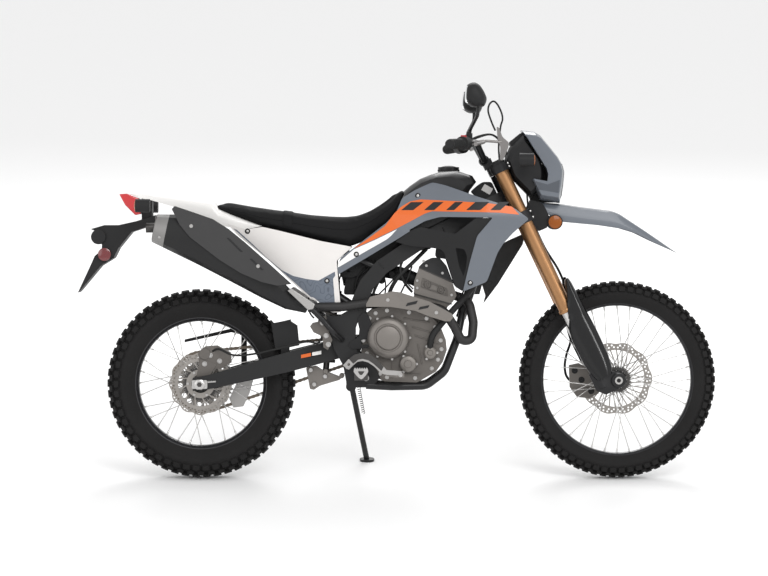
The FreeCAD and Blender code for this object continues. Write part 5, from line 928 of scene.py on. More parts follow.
seat_section = [
    (-0.86, 0.02), (-0.4, 0.0), (0.4, 0.0), (0.86, 0.02), (1.0, 0.22), (0.98, 0.55), (0.86, 0.83),
    (0.62, 0.95), (0.3, 0.99), (0.0, 1.0), (-0.3, 0.99), (-0.62, 0.95), (-0.86, 0.83),
    (-0.98, 0.55), (-1.0, 0.22),
]
seat = Shape()
seat.add(*hull(seat_outline, seat_width, seat_section, stations(seat_outline, 46)))
seat_piece = seat.make("seat_cushion", "chassis", "seat", seat_cover, sharp=80)
cover_slack = 0.8 * MM
cover_rise = 5 * MM
cover_frames = 20
for vert in seat_piece.data.vertices:
    spot = upright @ vert.co
    away = (spot - Vector((spot.x, 0, 0.9))).normalized()
    vert.co = parked @ (spot - away * cover_slack)
remesh = seat_piece.modifiers.new("grid", "REMESH")
remesh.mode = "VOXEL"
remesh.voxel_size = 6 * MM
graph_now = bpy.context.evaluated_depsgraph_get()
grid = bpy.data.meshes.new_from_object(seat_piece.evaluated_get(graph_now))
seat_piece.modifiers.clear()
seat_piece.data = grid
start_places = [vert.co.copy() for vert in grid.vertices]
cover = seat_piece.modifiers.new("cover", "CLOTH")
cover.settings.quality = 6
cover.settings.mass = 0.3
cover.settings.use_pressure = True
cover.settings.uniform_pressure_force = 4
cover.settings.effector_weights.gravity = 0
cover.point_cache.frame_start, cover.point_cache.frame_end = 1, cover_frames
for step in range(1, cover_frames + 1):
    bpy.context.scene.frame_set(step)
graph_now = bpy.context.evaluated_depsgraph_get()
swollen = bpy.data.meshes.new_from_object(seat_piece.evaluated_get(graph_now))
seat_piece.modifiers.clear()
for vert, place in zip(swollen.vertices, start_places):
    move = vert.co - place
    if move.length > cover_rise:
        vert.co = place + move * (cover_rise / move.length)
seat_piece.data = swollen
bpy.context.scene.frame_set(1)
finer = seat_piece.modifiers.new("finer", "SUBSURF")
finer.levels = finer.render_levels = 1
seat_piece.data.materials.clear()
seat_piece.data.materials.append(seat_cover)
seat_piece.data.shade_smooth()
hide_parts("seat")
seams = Shape()
seam_surface = BVHTree.FromPolygons([upright @ vert.co for vert in seat_piece.data.vertices],
                                    [list(polygon.vertices) for polygon in seat_piece.data.polygons])
for share_y in (0.93, -0.93):
    line = []
    for x in range(-655, -40, 8):
        low, high = span_at(seat_outline, x * MM)
        guess = Vector((x * MM, share_y * seat_width(x * MM) * 1.25, low + 0.68 * (high - low)))
        line.append(seam_surface.find_nearest(guess)[0])
    seams.add(*tube(line, 1.3 * MM, 6))
band_columns = 48
band_lines = []
for x, lift in ((-438, 0.2), (-436, 2.2), (-432, 2.8), (-412, 2.8), (-408, 2.2), (-406, 0.2)):
    low, high = span_at(seat_outline, x * MM)
    half = seat_width(x * MM)
    line = []
    for step in range(band_columns + 1):
        angle = math.pi * (-0.05 + 1.1 * step / band_columns)
        guess_z = (low + high) * 0.5 + (high - low) * 0.9 * math.sin(angle)
        guess = Vector((x * MM, 1.3 * half * math.cos(angle), guess_z))
        spot, normal = seam_surface.find_nearest(guess)[:2]
        line.append(Vector((x * MM, spot.y, spot.z)) + (guess - spot).normalized() * lift * MM)
    band_lines.append(line)
    if x in (-438, -406):
        seams.add(*tube(line, 1.2 * MM, 6))
band = Shape()
band_faces = []
for row in range(len(band_lines) - 1):
    for step in range(band_columns):
        a = row * (band_columns + 1) + step
        band_faces.append([a, a + 1, a + band_columns + 2, a + band_columns + 1])
band.add([spot for line in band_lines for spot in line], band_faces)
band.make("seat_cross_band", "chassis", "seat", seat_cover, sharp=60)
seams.make("seat_seams", "chassis", "seat", seat_cover, sharp=60)

# The front mudguard is one long blue-grey beak with a ridge on each side of its top. It
# hangs from a black root under the lower fork clamp.
guard_shares = [
    (0.0, 1.0), (0.151, 0.971), (0.288, 0.913), (0.518, 0.835), (0.576, 0.777), (0.755, 0.456),
    (0.935, 0.117), (1.0, 0.0), (0.95, 0.068), (0.791, 0.262), (0.683, 0.408), (0.576, 0.495),
    (0.432, 0.553), (0.158, 0.621), (0.058, 0.786),
]
guard_outline = spread(guard_shares, 455, 784, 484, 179)
guard_width = width_line([455, 560, 700, 800, 880, 939], [60, 66, 70, 66, 50, 16])
guard_section = [
    (1.0, 0.0), (1.0, 0.3), (0.93, 0.62), (0.86, 0.86), (0.76, 0.93), (0.66, 0.88), (0.5, 0.92),
    (0.25, 0.97), (0.0, 1.0),
]
guard_section += [(-side, up) for side, up in guard_section[-2::-1]]
inner_section = [(side * 0.93, max(0.0, up - 0.14)) for side, up in guard_section[1:-1]]
guard_section += [(-0.93, 0.0)] + inner_section[::-1] + [(0.93, 0.0)]
guard = Shape()
guard.add(*hull(guard_outline, guard_width, guard_section, stations(guard_outline, 60)))
guard.make("front_mudguard", "steering", "grey_plastic", grey_plastic, "front_fender", sharp=32)

# The engine is one closed block for this part. Its cases are cast aluminium in a warm grey
# paint, with round covers on both sides that flange bolts hold down.
engine_grey = moulded("engine_grey", (0.125, 0.114, 0.104), 0.5, 0.0022, 0.0006, 0.18, metallic=0.5)
cover_grey = moulded("cover_grey", (0.185, 0.170, 0.156), 0.42, 0.0020, 0.0004, 0.14, metallic=0.5)
dark_steel = moulded("dark_steel", (0.075, 0.072, 0.07), 0.38, 0.002, 0.0001, 0.14, metallic=0.9)


def solid_mesh(node, keep=None):
    """Points and faces of a CAD solid in the upright frame, or the faces that keep picks."""
    source = frame["nodes"][node]
    back = upright @ source.matrix_world
    verts = [back @ vert.co for vert in source.data.vertices]
    faces = [list(polygon.vertices) for polygon in source.data.polygons]
    if keep:
        middles = [sum((verts[index] for index in face), Vector()) / len(face) for face in faces]
        faces = [face for face, middle in zip(faces, middles) if keep(middle)]
    return verts, faces


def softened(node, name, body, slot, material, width, keep=None, segments=2, sharp=35):
    """A piece that keeps a CAD solid's form and has its edges rounded."""
    piece = finish_piece(name, *solid_mesh(node, keep), body, slot, material, sharp=sharp)
    cleaned = bmesh.new()
    cleaned.from_mesh(piece.data)
    loose = [vert for vert in cleaned.verts if not vert.link_faces]
    bmesh.ops.delete(cleaned, geom=loose, context="VERTS")
    bmesh.ops.remove_doubles(cleaned, verts=cleaned.verts, dist=0.01 * MM)
    bmesh.ops.dissolve_limit(cleaned, angle_limit=math.radians(0.8), verts=cleaned.verts,
                             edges=cleaned.edges)
    cleaned.to_mesh(piece.data)
    cleaned.free()
    piece.data.shade_smooth()
    piece.data.set_sharp_from_angle(angle=math.radians(sharp))
    soften(piece, width, segments)
    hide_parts(node)
    return piece


def skin(node):
    """Finds where a CAD solid's face lies at a place, seen from the right (-1) or left (1)."""
    tree = BVHTree.FromPolygons(*solid_mesh(node))

    def face(x, z, side=-1):
        hit = tree.ray_cast(Vector((x * MM, side, z * MM)), Vector((0, -side, 0)))[0]
        return hit.y if hit else None

    return face


def screws(name, node, places, radius, height, material, body="chassis", sides=(-1,)):
    """Cap bolts, each on a washer, on a solid's face, all in millimetres."""
    face, shape = skin(node), Shape()
    for x, z in places:
        for side in sides:
            place = Matrix.Translation((x * MM, face(x, z, side), z * MM)) @ to_side(side)
            washer = [(0.1, -1), (radius * 1.4, -1), (radius * 1.55, 0), (radius * 1.55, 2)]
            shape.knob(washer, 20, place)
            bolt(shape, place @ at_mm(0, -0.8, 0), radius * MM, height * MM)
    shape.make(name, body, "steel", material, sharp=40)


def lobed(x, z, radius, lobes, rise, steps=8):
    """A round flange outline with an ear for each bolt."""
    points = []
    for step in range(lobes * steps):
        angle = 2 * math.pi * step / (lobes * steps)
        reach = (radius + rise * max(0, math.cos(lobes * angle)) ** 3) * MM
        points.append((x * MM + reach * math.cos(angle), z * MM + reach * math.sin(angle)))
    return points


softened("engine_case", "crankcase_castings", "chassis", "engine", engine_grey, 6)
covers, flanges, cover_bolts = Shape(), Shape(), Shape()
cover_forms = (
    (-72.4, 492, -1, 72, 9, 7, 98,
     [(0.1, 136), (37, 136), (40, 134.5), (41.5, 130), (44, 127), (48, 127), (50, 129), (58, 127.5),
      (66, 123), (71, 116), (73, 106), (73, 84)]),
    (-4, 401, -1, 28, 3, 6, 104,
     [(0.1, 122), (12, 122), (14, 119.5), (22, 119), (27, 116), (29, 110), (30, 84)]),
    (73, 440, -1, 22, 3, 6, 100, [(0.1, 114), (8, 114), (10, 111), (18, 110), (22, 106), (23, 84)]),
    (0, 440, 1, 68, 8, 6, 84,
     [(0.1, 126), (44, 126), (48, 124), (50, 120), (58, 119), (66, 112), (70, 98), (70, 60)]),
)
for x, z, side, radius, ears, rise, height, profile in cover_forms:
    covers.knob([(r, side * y) for r, y in profile], 64, at_mm(x, 0, z))
    low, high = sorted((side * 66 * MM, side * height * MM))
    flanges.add(*plate(lobed(x, z, radius + 1, ears, rise), [], low, high))
    bolt_circle(cover_bolts, (x * MM, 0, z * MM), (radius + rise - 3.5) * MM, side * height * MM, ears,
                4.6 * MM, 4 * MM, side)
covers.make("engine_round_covers", "chassis", "engine", cover_grey, "engine_covers")
flanges.make("engine_cover_flanges", "chassis", "engine", engine_grey, rounding=1.5)
cover_bolts.make("engine_cover_bolts", "chassis", "steel", bright_steel, sharp=40)
case_shares = [
    (0.022, 0.753), (0.079, 0.883), (0.157, 0.961), (0.303, 1.0), (0.584, 0.974), (0.809, 0.883),
    (0.921, 0.753), (0.989, 0.558), (1.0, 0.429), (0.955, 0.273), (0.876, 0.143), (0.663, 0.0),
    (0.303, 0.013), (0.213, 0.065), (0.045, 0.364), (0.0, 0.558),
]
case_x, case_z = -23.5, 468.5
inset = 0.88
case_places = [(case_x + (x / MM - case_x) * inset, case_z + (z / MM - case_z) * inset)
               for x, z in spread(case_shares, -178, 335, 309, 267)]
screws("crankcase_bolts", "engine_case", case_places, 4.8, 4, bright_steel, sides=(-1, 1))
case_ribs = Shape()
for x1, z1, x2, z2 in ((-20, 560, 70, 545), (10, 530, 95, 505), (20, 500, 110, 470), (30, 470, 45, 400),
                       (-60, 408, -60, 350), (-95, 405, -110, 365), (-35, 365, 40, 365)):
    run = Vector((x2 - x1, 0, z2 - z1)).normalized() * 2.2
    corners = [(x1 - run.z, z1 + run.x), (x2 - run.z, z2 + run.x), (x2 + run.z, z2 - run.x),
               (x1 + run.z, z1 - run.x)]
    case_ribs.add(*plate(scaled(corners), [], -92 * MM, -80 * MM))
case_ribs.make("crankcase_ribs", "chassis", "engine", engine_grey, rounding=1.2)

# The cylinder and the head are cast alloy and lean forward from the cases. A black cover
# closes the top, and thin dark gaskets show between the castings.
cover_black = moulded("head_cover_black", (0.020, 0.020, 0.021), 0.44, 0.002, 0.0004, 0.14, metallic=0.3)
barrel_outline = [(-4, 582), (17, 634), (17, 643), (146, 607), (135, 600), (100, 533), (60, 545)]
head_outline = [(17, 646), (17, 686), (34, 733), (152, 681), (166, 637), (148, 610)]
lid_outline = [(32, 735), (51, 755), (79, 769), (107, 769), (131, 741), (153, 683)]
for name, outline, half, finish in (("cylinder_barrel", barrel_outline, 56, engine_grey),
                                    ("cylinder_head_casting", head_outline, 62, cover_grey),
                                    ("cylinder_head_lid", lid_outline, 58, cover_black)):
    shape = Shape()
    shape.add(*slab(outline, 5, -half, half))
    shape.make(name, "chassis", "engine", finish, "cylinder_head", rounding=4)
gaskets = Shape()
for corners in ([(16, 642), (16, 648), (149, 611), (148, 605)],
                [(33, 731), (34, 737), (154, 685), (152, 679)]):
    gaskets.add(*plate(scaled(corners), [], -59 * MM, 59 * MM))
gaskets.make("cylinder_gaskets", "chassis", "steel", dark_steel)
head_details = Shape()
head_window = rounded(scaled([(47, 670), (51, 690), (126, 657), (128, 643)]), 3 * MM)
head_details.add(*slab([(40, 668), (46, 700), (132, 662), (136, 634)], 4, -66, -56, [head_window]))
for x, z in ((64, 676), (110, 657)):
    plug = [(0.1, -70), (5, -70), (6, -68), (11, -68), (13, -66), (13, -58)]
    head_details.knob(plug, 28, at_mm(x, 0, z))
for x in (6, 30, 54, 78, 102):
    top = 628 - (x - 6) * 0.27
    fin = scaled([(x, top), (x + 5, top - 1.4), (x + 5, top - 34), (x, top - 34)])
    head_details.add(*plate(fin, [], -59.5 * MM, -50 * MM))
head_details.make("cylinder_head_ribs", "chassis", "engine", engine_grey, rounding=1.2)
head_bolts = Shape()
for x, z, y in ((28, 664, 62), (28, 690, 62), (148, 640, 62), (60, 742, 58), (116, 716, 58), (50, 758, 58)):
    bolt(head_bolts, at_mm(x, -y, z), 5 * MM, 4.5 * MM)
head_bolts.make("cylinder_head_bolts", "chassis", "steel", bright_steel, sharp=40)

# Black rubber hoses carry the coolant from the pump up to the radiator, and thinner
# breather hoses run between the engine and the frame.
hose_rubber = moulded("hose_rubber", (0.012, 0.012, 0.012), 0.62, 0.0016, 0.0003, 0.16, shine=0.3)


def curve_through(points, steps=8):
    """A smooth line through a few places, all in millimetres."""
    spots = [Vector(point) for point in points]
    line = []
    for index in range(len(spots) - 1):
        before, after = spots[max(index - 1, 0)], spots[min(index + 2, len(spots) - 1)]
        start, end = spots[index], spots[index + 1]
        bend = 2 * before - 5 * start + 4 * end - after
        twist = 3 * start - before - 3 * end + after
        for step in range(steps):
            t = step / steps
            line.append(0.5 * (2 * start + (end - before) * t + bend * t ** 2 + twist * t ** 3))
    return [point * MM for point in line + [spots[-1]]]


def hoses(name, routes, body, slot, material):
    """Round hoses or cables; each route is a radius and its places in millimetres."""
    shape = Shape()
    for radius, points in routes:
        shape.add(*tube(curve_through(points), radius * MM, 14))
    shape.make(name, body, slot, material, sharp=60)


engine_routes = (
    (11, [(73, -98, 452), (74, -106, 474), (84, -106, 505), (112, -100, 540), (150, -88, 585),
          (200, -70, 640), (235, -50, 690)]),
    (7, [(-60, -52, 590), (-70, -70, 640), (-40, -80, 700), (20, -70, 760), (60, -50, 800)]),
    (5, [(-110, -60, 590), (-125, -84, 640), (-100, -92, 700), (-70, -84, 770), (-30, -70, 820)]),
    (4.5, [(10, -56, 650), (-20, -76, 690), (-30, -84, 740), (0, -80, 800)]),
)
hoses("engine_hoses", engine_routes, "chassis", "rubber", hose_rubber)

# The exhaust pipe is black-coated steel from the front of the head, round and back past
# the right side. The silencer is a black can with an aluminium end cap, under a moulded
# heat shield on screws.
black_paint = moulded("black_paint", (0.010, 0.010, 0.0105), 0.38, 0.003, 0.00012, 0.14, coat=0.12,
                      shine=0.3)
pipe_black = moulded("pipe_black", (0.020, 0.019, 0.019), 0.5, 0.002, 0.0002, 0.2, metallic=0.3)
can_black = moulded("can_black", (0.013, 0.013, 0.0135), 0.42, 0.0016, 0.00015, 0.12, metallic=0.1,
                    shine=0.3)
shield_black = moulded("shield_black", (0.038, 0.0375, 0.038), 0.45, 0.0012, 0.0002, 0.12, shine=0.3)
end_alloy = moulded("end_alloy", (0.24, 0.235, 0.23), 0.36, 0.0012, 0.0001, 0.1, metallic=0.9)


def second_finish(piece, material, cut, along):
    """Gives another finish to what lies beyond a cut; along points over the cut."""
    piece.data.materials.append(material)
    cut_place, cut_normal = parked @ Vector(cut), parked.to_3x3() @ Vector(along)
    split = bmesh.new()
    split.from_mesh(piece.data)
    bmesh.ops.bisect_plane(split, geom=split.verts[:] + split.edges[:] + split.faces[:],
                           plane_co=cut_place, plane_no=cut_normal, dist=1e-5)
    for face in split.faces:
        if (face.calc_center_median() - cut_place).dot(cut_normal) > 0:
            face.material_index = 1
    split.to_mesh(piece.data)
    split.free()


softened("exhaust_pipe", "exhaust_header", "chassis", "frame", pipe_black, 1)
can = softened("muffler", "silencer_can", "chassis", "black_plastic", can_black, 3)
second_finish(can, end_alloy, (-0.838, 0, 0.862), (-0.978, 0, 0.209))
softened("exhaust_shields", "silencer_shield", "chassis", "black_plastic", shield_black, 1.2,
         keep=lambda point: point.x < -0.3)
softened("exhaust_shields", "header_heat_shield", "chassis", "engine", cover_grey, 1.2,
         keep=lambda point: point.x > -0.3)
screws("exhaust_screws", "exhaust_shields", [(-74, 624), (94, 580), (-750, 880), (-520, 742)], 4.4, 3.5,
       bright_steel)
screws("silencer_end_screws", "muffler", [(-860, 842)], 3.6, 3, bright_steel)
shield_face = skin("exhaust_shields")
slots = Shape()
for x, z, length, half, turn in ((9, 612, 46, 5, 13), (51, 598, 42, 4.5, 11), (-600, 815, 74, 3.5, -45),
                                 (-525, 748, 62, 3.5, -44)):
    slant = half * 1.6
    ends = [(-length / 2, -half), (length / 2 - slant, -half), (length / 2, half),
            (slant - length / 2, half)]
    place = Matrix.Translation((x * MM, shield_face(x, z), z * MM))
    slots.add(*slab(ends, 2, -0.7, 2), place @ Matrix.Rotation(math.radians(-turn), 4, "Y"))
slots.make("heat_shield_slots", "chassis", "black_plastic", black_film, sharp=40)
outlet = Shape()
outlet_place = Matrix.Translation((-0.884, -0.158, 0.874)) @ Matrix.Rotation(math.radians(90), 4, "Z")
outlet.ring([(13, -4), (16, -4), (17, 0), (17, 26), (13, 26)], 32, outlet_place)
outlet.make("silencer_outlet", "chassis", "steel", dark_steel, sharp=40)

# The frame is welded steel in satin black: a beam each side of the tank, tubes under the
# engine, and thinner rails that carry the seat. Weld beads show at the joints.
softened("main_frame", "frame_beams", "chassis", "frame", black_paint, 4)
softened("cradle_tubes", "frame_cradle", "chassis", "frame", black_paint, 1)
softened("subframe", "frame_seat_rails", "chassis", "frame", black_paint, 1)
softened("peg_brackets", "passenger_peg_brackets", "chassis", "frame", black_paint, 1)


def bead(shape, centre, normal, half_long, half_wide, size=2.2):
    """A weld bead round an oval, with the ripples that a welder leaves."""
    normal = Vector(normal).normalized()
    across = Vector((0, 1, 0))
    along = normal.cross(across).normalized()
    ring = []
    for step in range(49):
        angle = 2 * math.pi * step / 48
        out = along * half_long * math.cos(angle) + across * half_wide * math.sin(angle)
        ring.append((Vector(centre) + out) * MM)
    radii = [(size + 0.5 * (step % 2)) * MM for step in range(49)]
    shape.add(*tube(ring, radii, 6))


weld_beads = Shape()
for side in (-1, 1):
    bead(weld_beads, (-97, side * 84, 742), (0.72, 0, 0.69), 27, 15.5)
    bead(weld_beads, (122, side * 84, 862), (0.9, 0, 0.42), 27, 15.5)
weld_beads.make("frame_weld_beads", "chassis", "frame", black_paint, sharp=60)
screws("frame_bolts", "main_frame", [(-150, 352)], 7, 6, bright_steel, sides=(-1, 1))
heel_shares = [
    (0.5, 1.0), (0.667, 0.921), (0.8, 0.658), (0.9, 0.395), (1.0, 0.132), (0.6, 0.026), (0.133, 0.0),
    (0.0, 0.105), (0.067, 0.211), (0.333, 0.316), (0.4, 0.447), (0.3, 0.789),
]
heel_plates = Shape()
heel_window = rounded(scaled([(-168, 484), (-146, 488), (-142, 470), (-164, 466)]), 4 * MM)
heel_outline = rounded(spread(heel_shares, -212, 452, 104, 131), 6 * MM)
heel_plates.both_plates(heel_outline, [heel_window], 106, 109)
heel_plates.make("heel_plates", "chassis", "black_plastic", black_plastic, rounding=0.8)

# The swingarm is a black box-section fork from the pivot bolt back to the axle. Its ends
# hold the chain adjusters, and the linkage and the damper with its spring stand inside it.
softened("swingarm", "swingarm_beams", "chassis", "frame", black_paint, 5)
axle_parts, axle_bores = Shape(), Shape()
for side in (-1, 1):
    place = Matrix.Translation(rear_axle) @ to_side(side)
    adjuster = [(-27, -15), (27, -15), (27, 15), (-27, 15)]
    axle_parts.add(*slab(adjuster, 5, -122.5, -118, [circle(0, 0, 9 * MM, 24)]), place)
    axle_parts.ring([(9, -133), (16, -133), (19.5, -131), (19.5, -122), (9, -122)], 6, place)
    axle_bores.knob([(0.1, -131.8), (9, -131.8), (9, -110), (0.1, -110)], 24, place)
    axle_parts.add(*tube(scaled([(-28 * side, -120, 9), (-56 * side, -117, 11)]), 4 * MM, 6), place)
axle_parts.make("rear_axle_nuts", "chassis", "steel", bright_steel)
axle_bores.make("rear_axle_ends", "chassis", "steel", dark_steel, sharp=40)
arm_face = skin("swingarm")
arm_marks, pale_marks = Shape(), Shape()
for shape, corners in ((arm_marks, [(-376, 420), (-342, 427), (-342, 439), (-376, 432)]),
                       (pale_marks, [(-338, 428), (-306, 434), (-306, 446), (-338, 440)])):
    depth = min(arm_face(x, z) or 0 for x, z in corners + [(-358, 428)])
    shape.add(*plate(scaled(corners), [], depth - 0.4 * MM, depth + 3 * MM))
arm_marks.make("swingarm_orange_mark", "chassis", "grey_plastic", orange_film, sharp=40)
pale_marks.make("swingarm_pale_mark", "chassis", "white_plastic", white_film, sharp=40)
damper_low, damper_high = Vector((-292, 0, 372)), Vector((-262, 0, 690))
run = damper_high - damper_low
damper, spring, linkage = Shape(), Shape(), Shape()
for start, end, radius, steps in ((0, 0.45, 11, 20), (0.5, 1, 21, 28), (0.1, 0.13, 30, 32),
                                  (0.86, 0.89, 30, 32)):
    damper.add(*tube([(damper_low + run * share) * MM for share in (start, end)], radius * MM, steps))


def coil(start, run, across, ahead, radius, turns, steps):
    """The line of a wire wound round an axis, in metres from millimetres."""
    line = []
    for step in range(turns * steps + 1):
        angle = 2 * math.pi * step / steps
        out = (across * math.cos(angle) + ahead * math.sin(angle)) * radius
        line.append((start + run * (step / (turns * steps)) + out) * MM)
    return line


across = Vector((0, 1, 0))
spring_line = coil(damper_low + run * 0.13, run * 0.73, across, across.cross(run.normalized()), 26, 8, 20)
spring.add(*tube(spring_line, 4.6 * MM, 8))
link_shares = [
    (0.0, 0.92), (0.25, 1.0), (0.4, 0.83), (0.85, 0.54), (1.0, 0.75), (0.85, 0.42), (0.35, 0.17),
    (0.2, 0.0), (0.1, 0.04), (0.05, 0.5),
]
link_outline = rounded(spread(link_shares, -361, 307, 140, 84), 4 * MM)
linkage.both_plates(link_outline, [], 18, 26)
for x, z in ((-348, 372), (-338, 322), (-292, 372), (-236, 356)):
    linkage.knob([(0.1, -29), (8, -29), (9, -27), (9, 27), (8, 29), (0.1, 29)], 20, at_mm(x, 0, z))
link_bolts = Shape()
for side in (-1, 1):
    for x, z in ((-344, 377), (-332, 327), (-294, 355)):
        bolt(link_bolts, at_mm(x, side * 29, z) @ to_side(side), 7.5 * MM, 5 * MM)
damper.make("damper_body", "chassis", "steel", dark_steel, "rear_suspension", sharp=40)
spring.make("damper_spring", "chassis", "steel", engine_grey, sharp=60)
linkage.make("damper_linkage", "chassis", "alloy", cover_grey, rounding=1)
link_bolts.make("damper_linkage_bolts", "chassis", "steel", bright_steel, sharp=40)

# The rear brake caliper is cast alloy over the disc. A master cylinder by the right foot
# feeds it through a hose along the arm. The mud flap and the chain's guides are beside it.
brake_alloy = moulded("brake_alloy", (0.135, 0.124, 0.114), 0.42, 0.0018, 0.0003, 0.14, metallic=0.7)
softened("rear_brake", "rear_caliper_castings", "chassis", "alloy", brake_alloy, 4)
brake_bolt_places = [(-692, 430), (-660, 410), (-712, 400), (-300, 545), (-288, 500), (-280, 470)]
screws("rear_brake_bolts", "rear_brake", brake_bolt_places, 6, 5, bright_steel)
brake_routes = (
    (3.6, [(-690, -72, 440), (-662, -96, 452), (-610, -116, 432), (-540, -118, 436), (-450, -112, 456),
           (-360, -112, 478), (-318, -118, 474), (-300, -118, 500)]),
    (3.0, [(-330, -112, 560), (-345, -112, 580), (-352, -104, 620), (-330, -96, 660)]),
)
hoses("rear_brake_hose", brake_routes, "chassis", "rubber", hose_rubber)
softened("rear_mudflap", "rear_mud_flap", "chassis", "rubber", black_plastic, 1.2)
softened("chain_guards", "chain_guard_mouldings", "chassis", "black_plastic", black_plastic, 1,
         keep=lambda point: point.z > 0.33)
softened("chain_guards", "chain_guide_plate", "chassis", "alloy", satin_alloy, 1,
         keep=lambda point: point.z < 0.33)


def sensor_ring(end, axle, radius, bore, teeth, y):
    """The toothed ring by a hub that tells how fast the wheel turns, in millimetres."""
    edge = []
    for index in range(teeth):
        for share, reach in ((0, radius), (0.42, radius), (0.5, radius - 5), (0.92, radius - 5)):
            angle = 2 * math.pi * (index + share) / teeth
            edge.append((reach * MM * math.cos(angle), reach * MM * math.sin(angle)))
    shape = Shape()
    shape.add(*plate(edge, [circle(0, 0, bore * MM, 2 * teeth)], (y - 1.5) * MM, (y + 1.5) * MM),
              Matrix.Translation(axle))
    shape.make(f"{end}_sensor_ring", f"{end}_wheel", "steel", dark_steel)


sensor_ring("rear", rear_axle, 62, 50, 50, -54)

# The fork has gold anodised outer tubes in two clamps, and bright sliding legs below with
# the axle in black cast lugs. Curved glossy black guards stand before and beside the legs.
gold = moulded("gold_anodised", (0.36, 0.190, 0.088), 0.36, 0.003, 0.00008, 0.1, metallic=0.85)
clamp_black = moulded("clamp_black", (0.020, 0.020, 0.021), 0.4, 0.002, 0.0002, 0.12, metallic=0.4,
                      shine=0.3)
leg_steel = moulded("leg_steel", (0.60, 0.59, 0.58), 0.22, 0.003, 0.00005, 0.08, metallic=1.0)
softened("fork_tubes", "fork_outer_tubes", "steering", "gold", gold, 1.5)
legs = softened("fork_legs", "fork_sliding_legs", "steering", "chrome", leg_steel, 2)
softened("fork_clamps", "fork_clamp_castings", "steering", "alloy", clamp_black, 2.5)
softened("front_axle", "front_axle_spindle", "steering", "steel", bright_steel, 1)
fork_half = 97
fork_foot = Vector((672.8, 0, 318.2))
fork_up = Vector((-0.4258, 0, 0.9048))
fork_ahead = Vector((0.9048, 0, 0.4258))


def on_fork(along, side, ahead=0):
    """A place on a fork tube: millimetres up its axis from the axle, and ahead of it."""
    return fork_foot + fork_up * along + fork_ahead * ahead + Vector((0, side, 0))


def closed_sheet(shape, verts, rows, columns):
    """Adds a sheet with a thickness: a grid of points for one face, then one for the other."""
    faces = []
    size, row_size = (rows + 1) * (columns + 1), columns + 1
    for row in range(rows):
        for column in range(columns):
            a = row * row_size + column
            ring = [a, a + 1, a + row_size + 1, a + row_size]
            faces += [ring, [size + index for index in ring[::-1]]]
    rim_line = list(range(row_size)) + [row * row_size + columns for row in range(1, rows + 1)]
    rim_line += [rows * row_size + column for column in range(columns - 1, -1, -1)]
    rim_line += [row * row_size for row in range(rows - 1, 0, -1)]
    for first, second in zip(rim_line, rim_line[1:] + rim_line[:1]):
        faces.append([first, second, size + second, size + first])
    shape.add(verts, faces)


second_finish(legs, clamp_black, on_fork(70, 0) * MM, -fork_up)
guard_black = moulded("guard_black", (0.009, 0.009, 0.0095), 0.17, 0.0010, 0.00003, 0.05, shine=0.3)
guard_rows = [
    (32, -10, 52), (50, -17, 60), (98, -26, 67), (193, -28, 67), (237, -21, 65), (290, 2, 61),
    (342, 22, 59), (383, 33, 57), (398, 40, 53),
]
guards = Shape()
guard_rings, guard_columns = 36, 24
for side in (-1, 1):
    verts = []
    for inset in (0, 2.2):
        for step in range(guard_rings + 1):
            along = 32 + 366 * step / guard_rings
            low = [row for row in guard_rows if row[0] <= along][-1]
            high = ([row for row in guard_rows if row[0] > along] or [low])[0]
            share = (along - low[0]) / (high[0] - low[0]) if high != low else 0
            back, front = (low[place] + (high[place] - low[place]) * share for place in (1, 2))
            edge = math.sqrt(max(36, 33 ** 2 - back ** 2)) if along > 270 else 6
            for column in range(guard_columns + 1):
                turn = math.pi * column / guard_columns
                ahead = (back + front) / 2 - ((front - back) / 2 - inset) * math.cos(turn)
                inner = edge * (1 - column / guard_columns)
                out = inner + (37 - inner) * math.sin(turn) ** 0.8 - inset
                verts.append(on_fork(along, side * (fork_half + out), ahead) * MM)
    closed_sheet(guards, verts, guard_rings, guard_columns)
guards.make("fork_guard_mouldings", "steering", "black_plastic", guard_black, "fork_guards", sharp=50)


def ring_on_fork(shape, profile, side, steps=36):
    """A turned part on a fork tube; its profile is (radius, place up the fork)."""
    turn = Vector((0, 1, 0)).rotation_difference(fork_up).to_matrix().to_4x4()
    shape.ring(profile, steps, Matrix.Translation(on_fork(0, side) * MM) @ turn)


seals, caps, clamp_bolts = Shape(), Shape(), Shape()
for side in (-fork_half, fork_half):
    ring_on_fork(seals, [(22, 290), (26, 291), (27.5, 294), (27.5, 301), (26, 304), (22, 304)], side)
    ring_on_fork(caps, [(2, 852), (25.8, 852), (25.8, 865), (23, 868), (17, 869), (17, 872), (2, 872)], side)
    for along in (642, 664, 836, 848):
        place = Matrix.Translation(on_fork(along, side + math.copysign(6, side), 31) * MM)
        bolt(clamp_bolts, place @ Matrix.Rotation(math.radians(90), 4, "Z"), 4.5 * MM, 5 * MM)
seals.make("fork_dust_seals", "steering", "gold", gold, sharp=40)
caps.make("fork_caps", "steering", "alloy", clamp_black)
clamp_bolts.make("fork_clamp_bolts", "steering", "steel", bright_steel, sharp=40)
lug_rings, lug_ends = Shape(), Shape()
axle_place = Matrix.Translation(front_axle)
lug_ends.ring([(14.5, -122), (24, -121), (26, -118), (26, -112), (14.5, -112)], 36, axle_place)
lug_rings.ring([(8, -122.5), (13, -122.5), (14, -121.5), (14, -112), (8, -112)], 32, axle_place)
lug_ends.knob([(0.1, -117), (8.5, -117), (8.5, -110), (0.1, -110)], 24, axle_place)
lug_ends.make("front_axle_lugs", "steering", "black_plastic", clamp_black, sharp=40)
lug_rings.make("front_axle_rings", "steering", "steel", bright_steel, sharp=40)

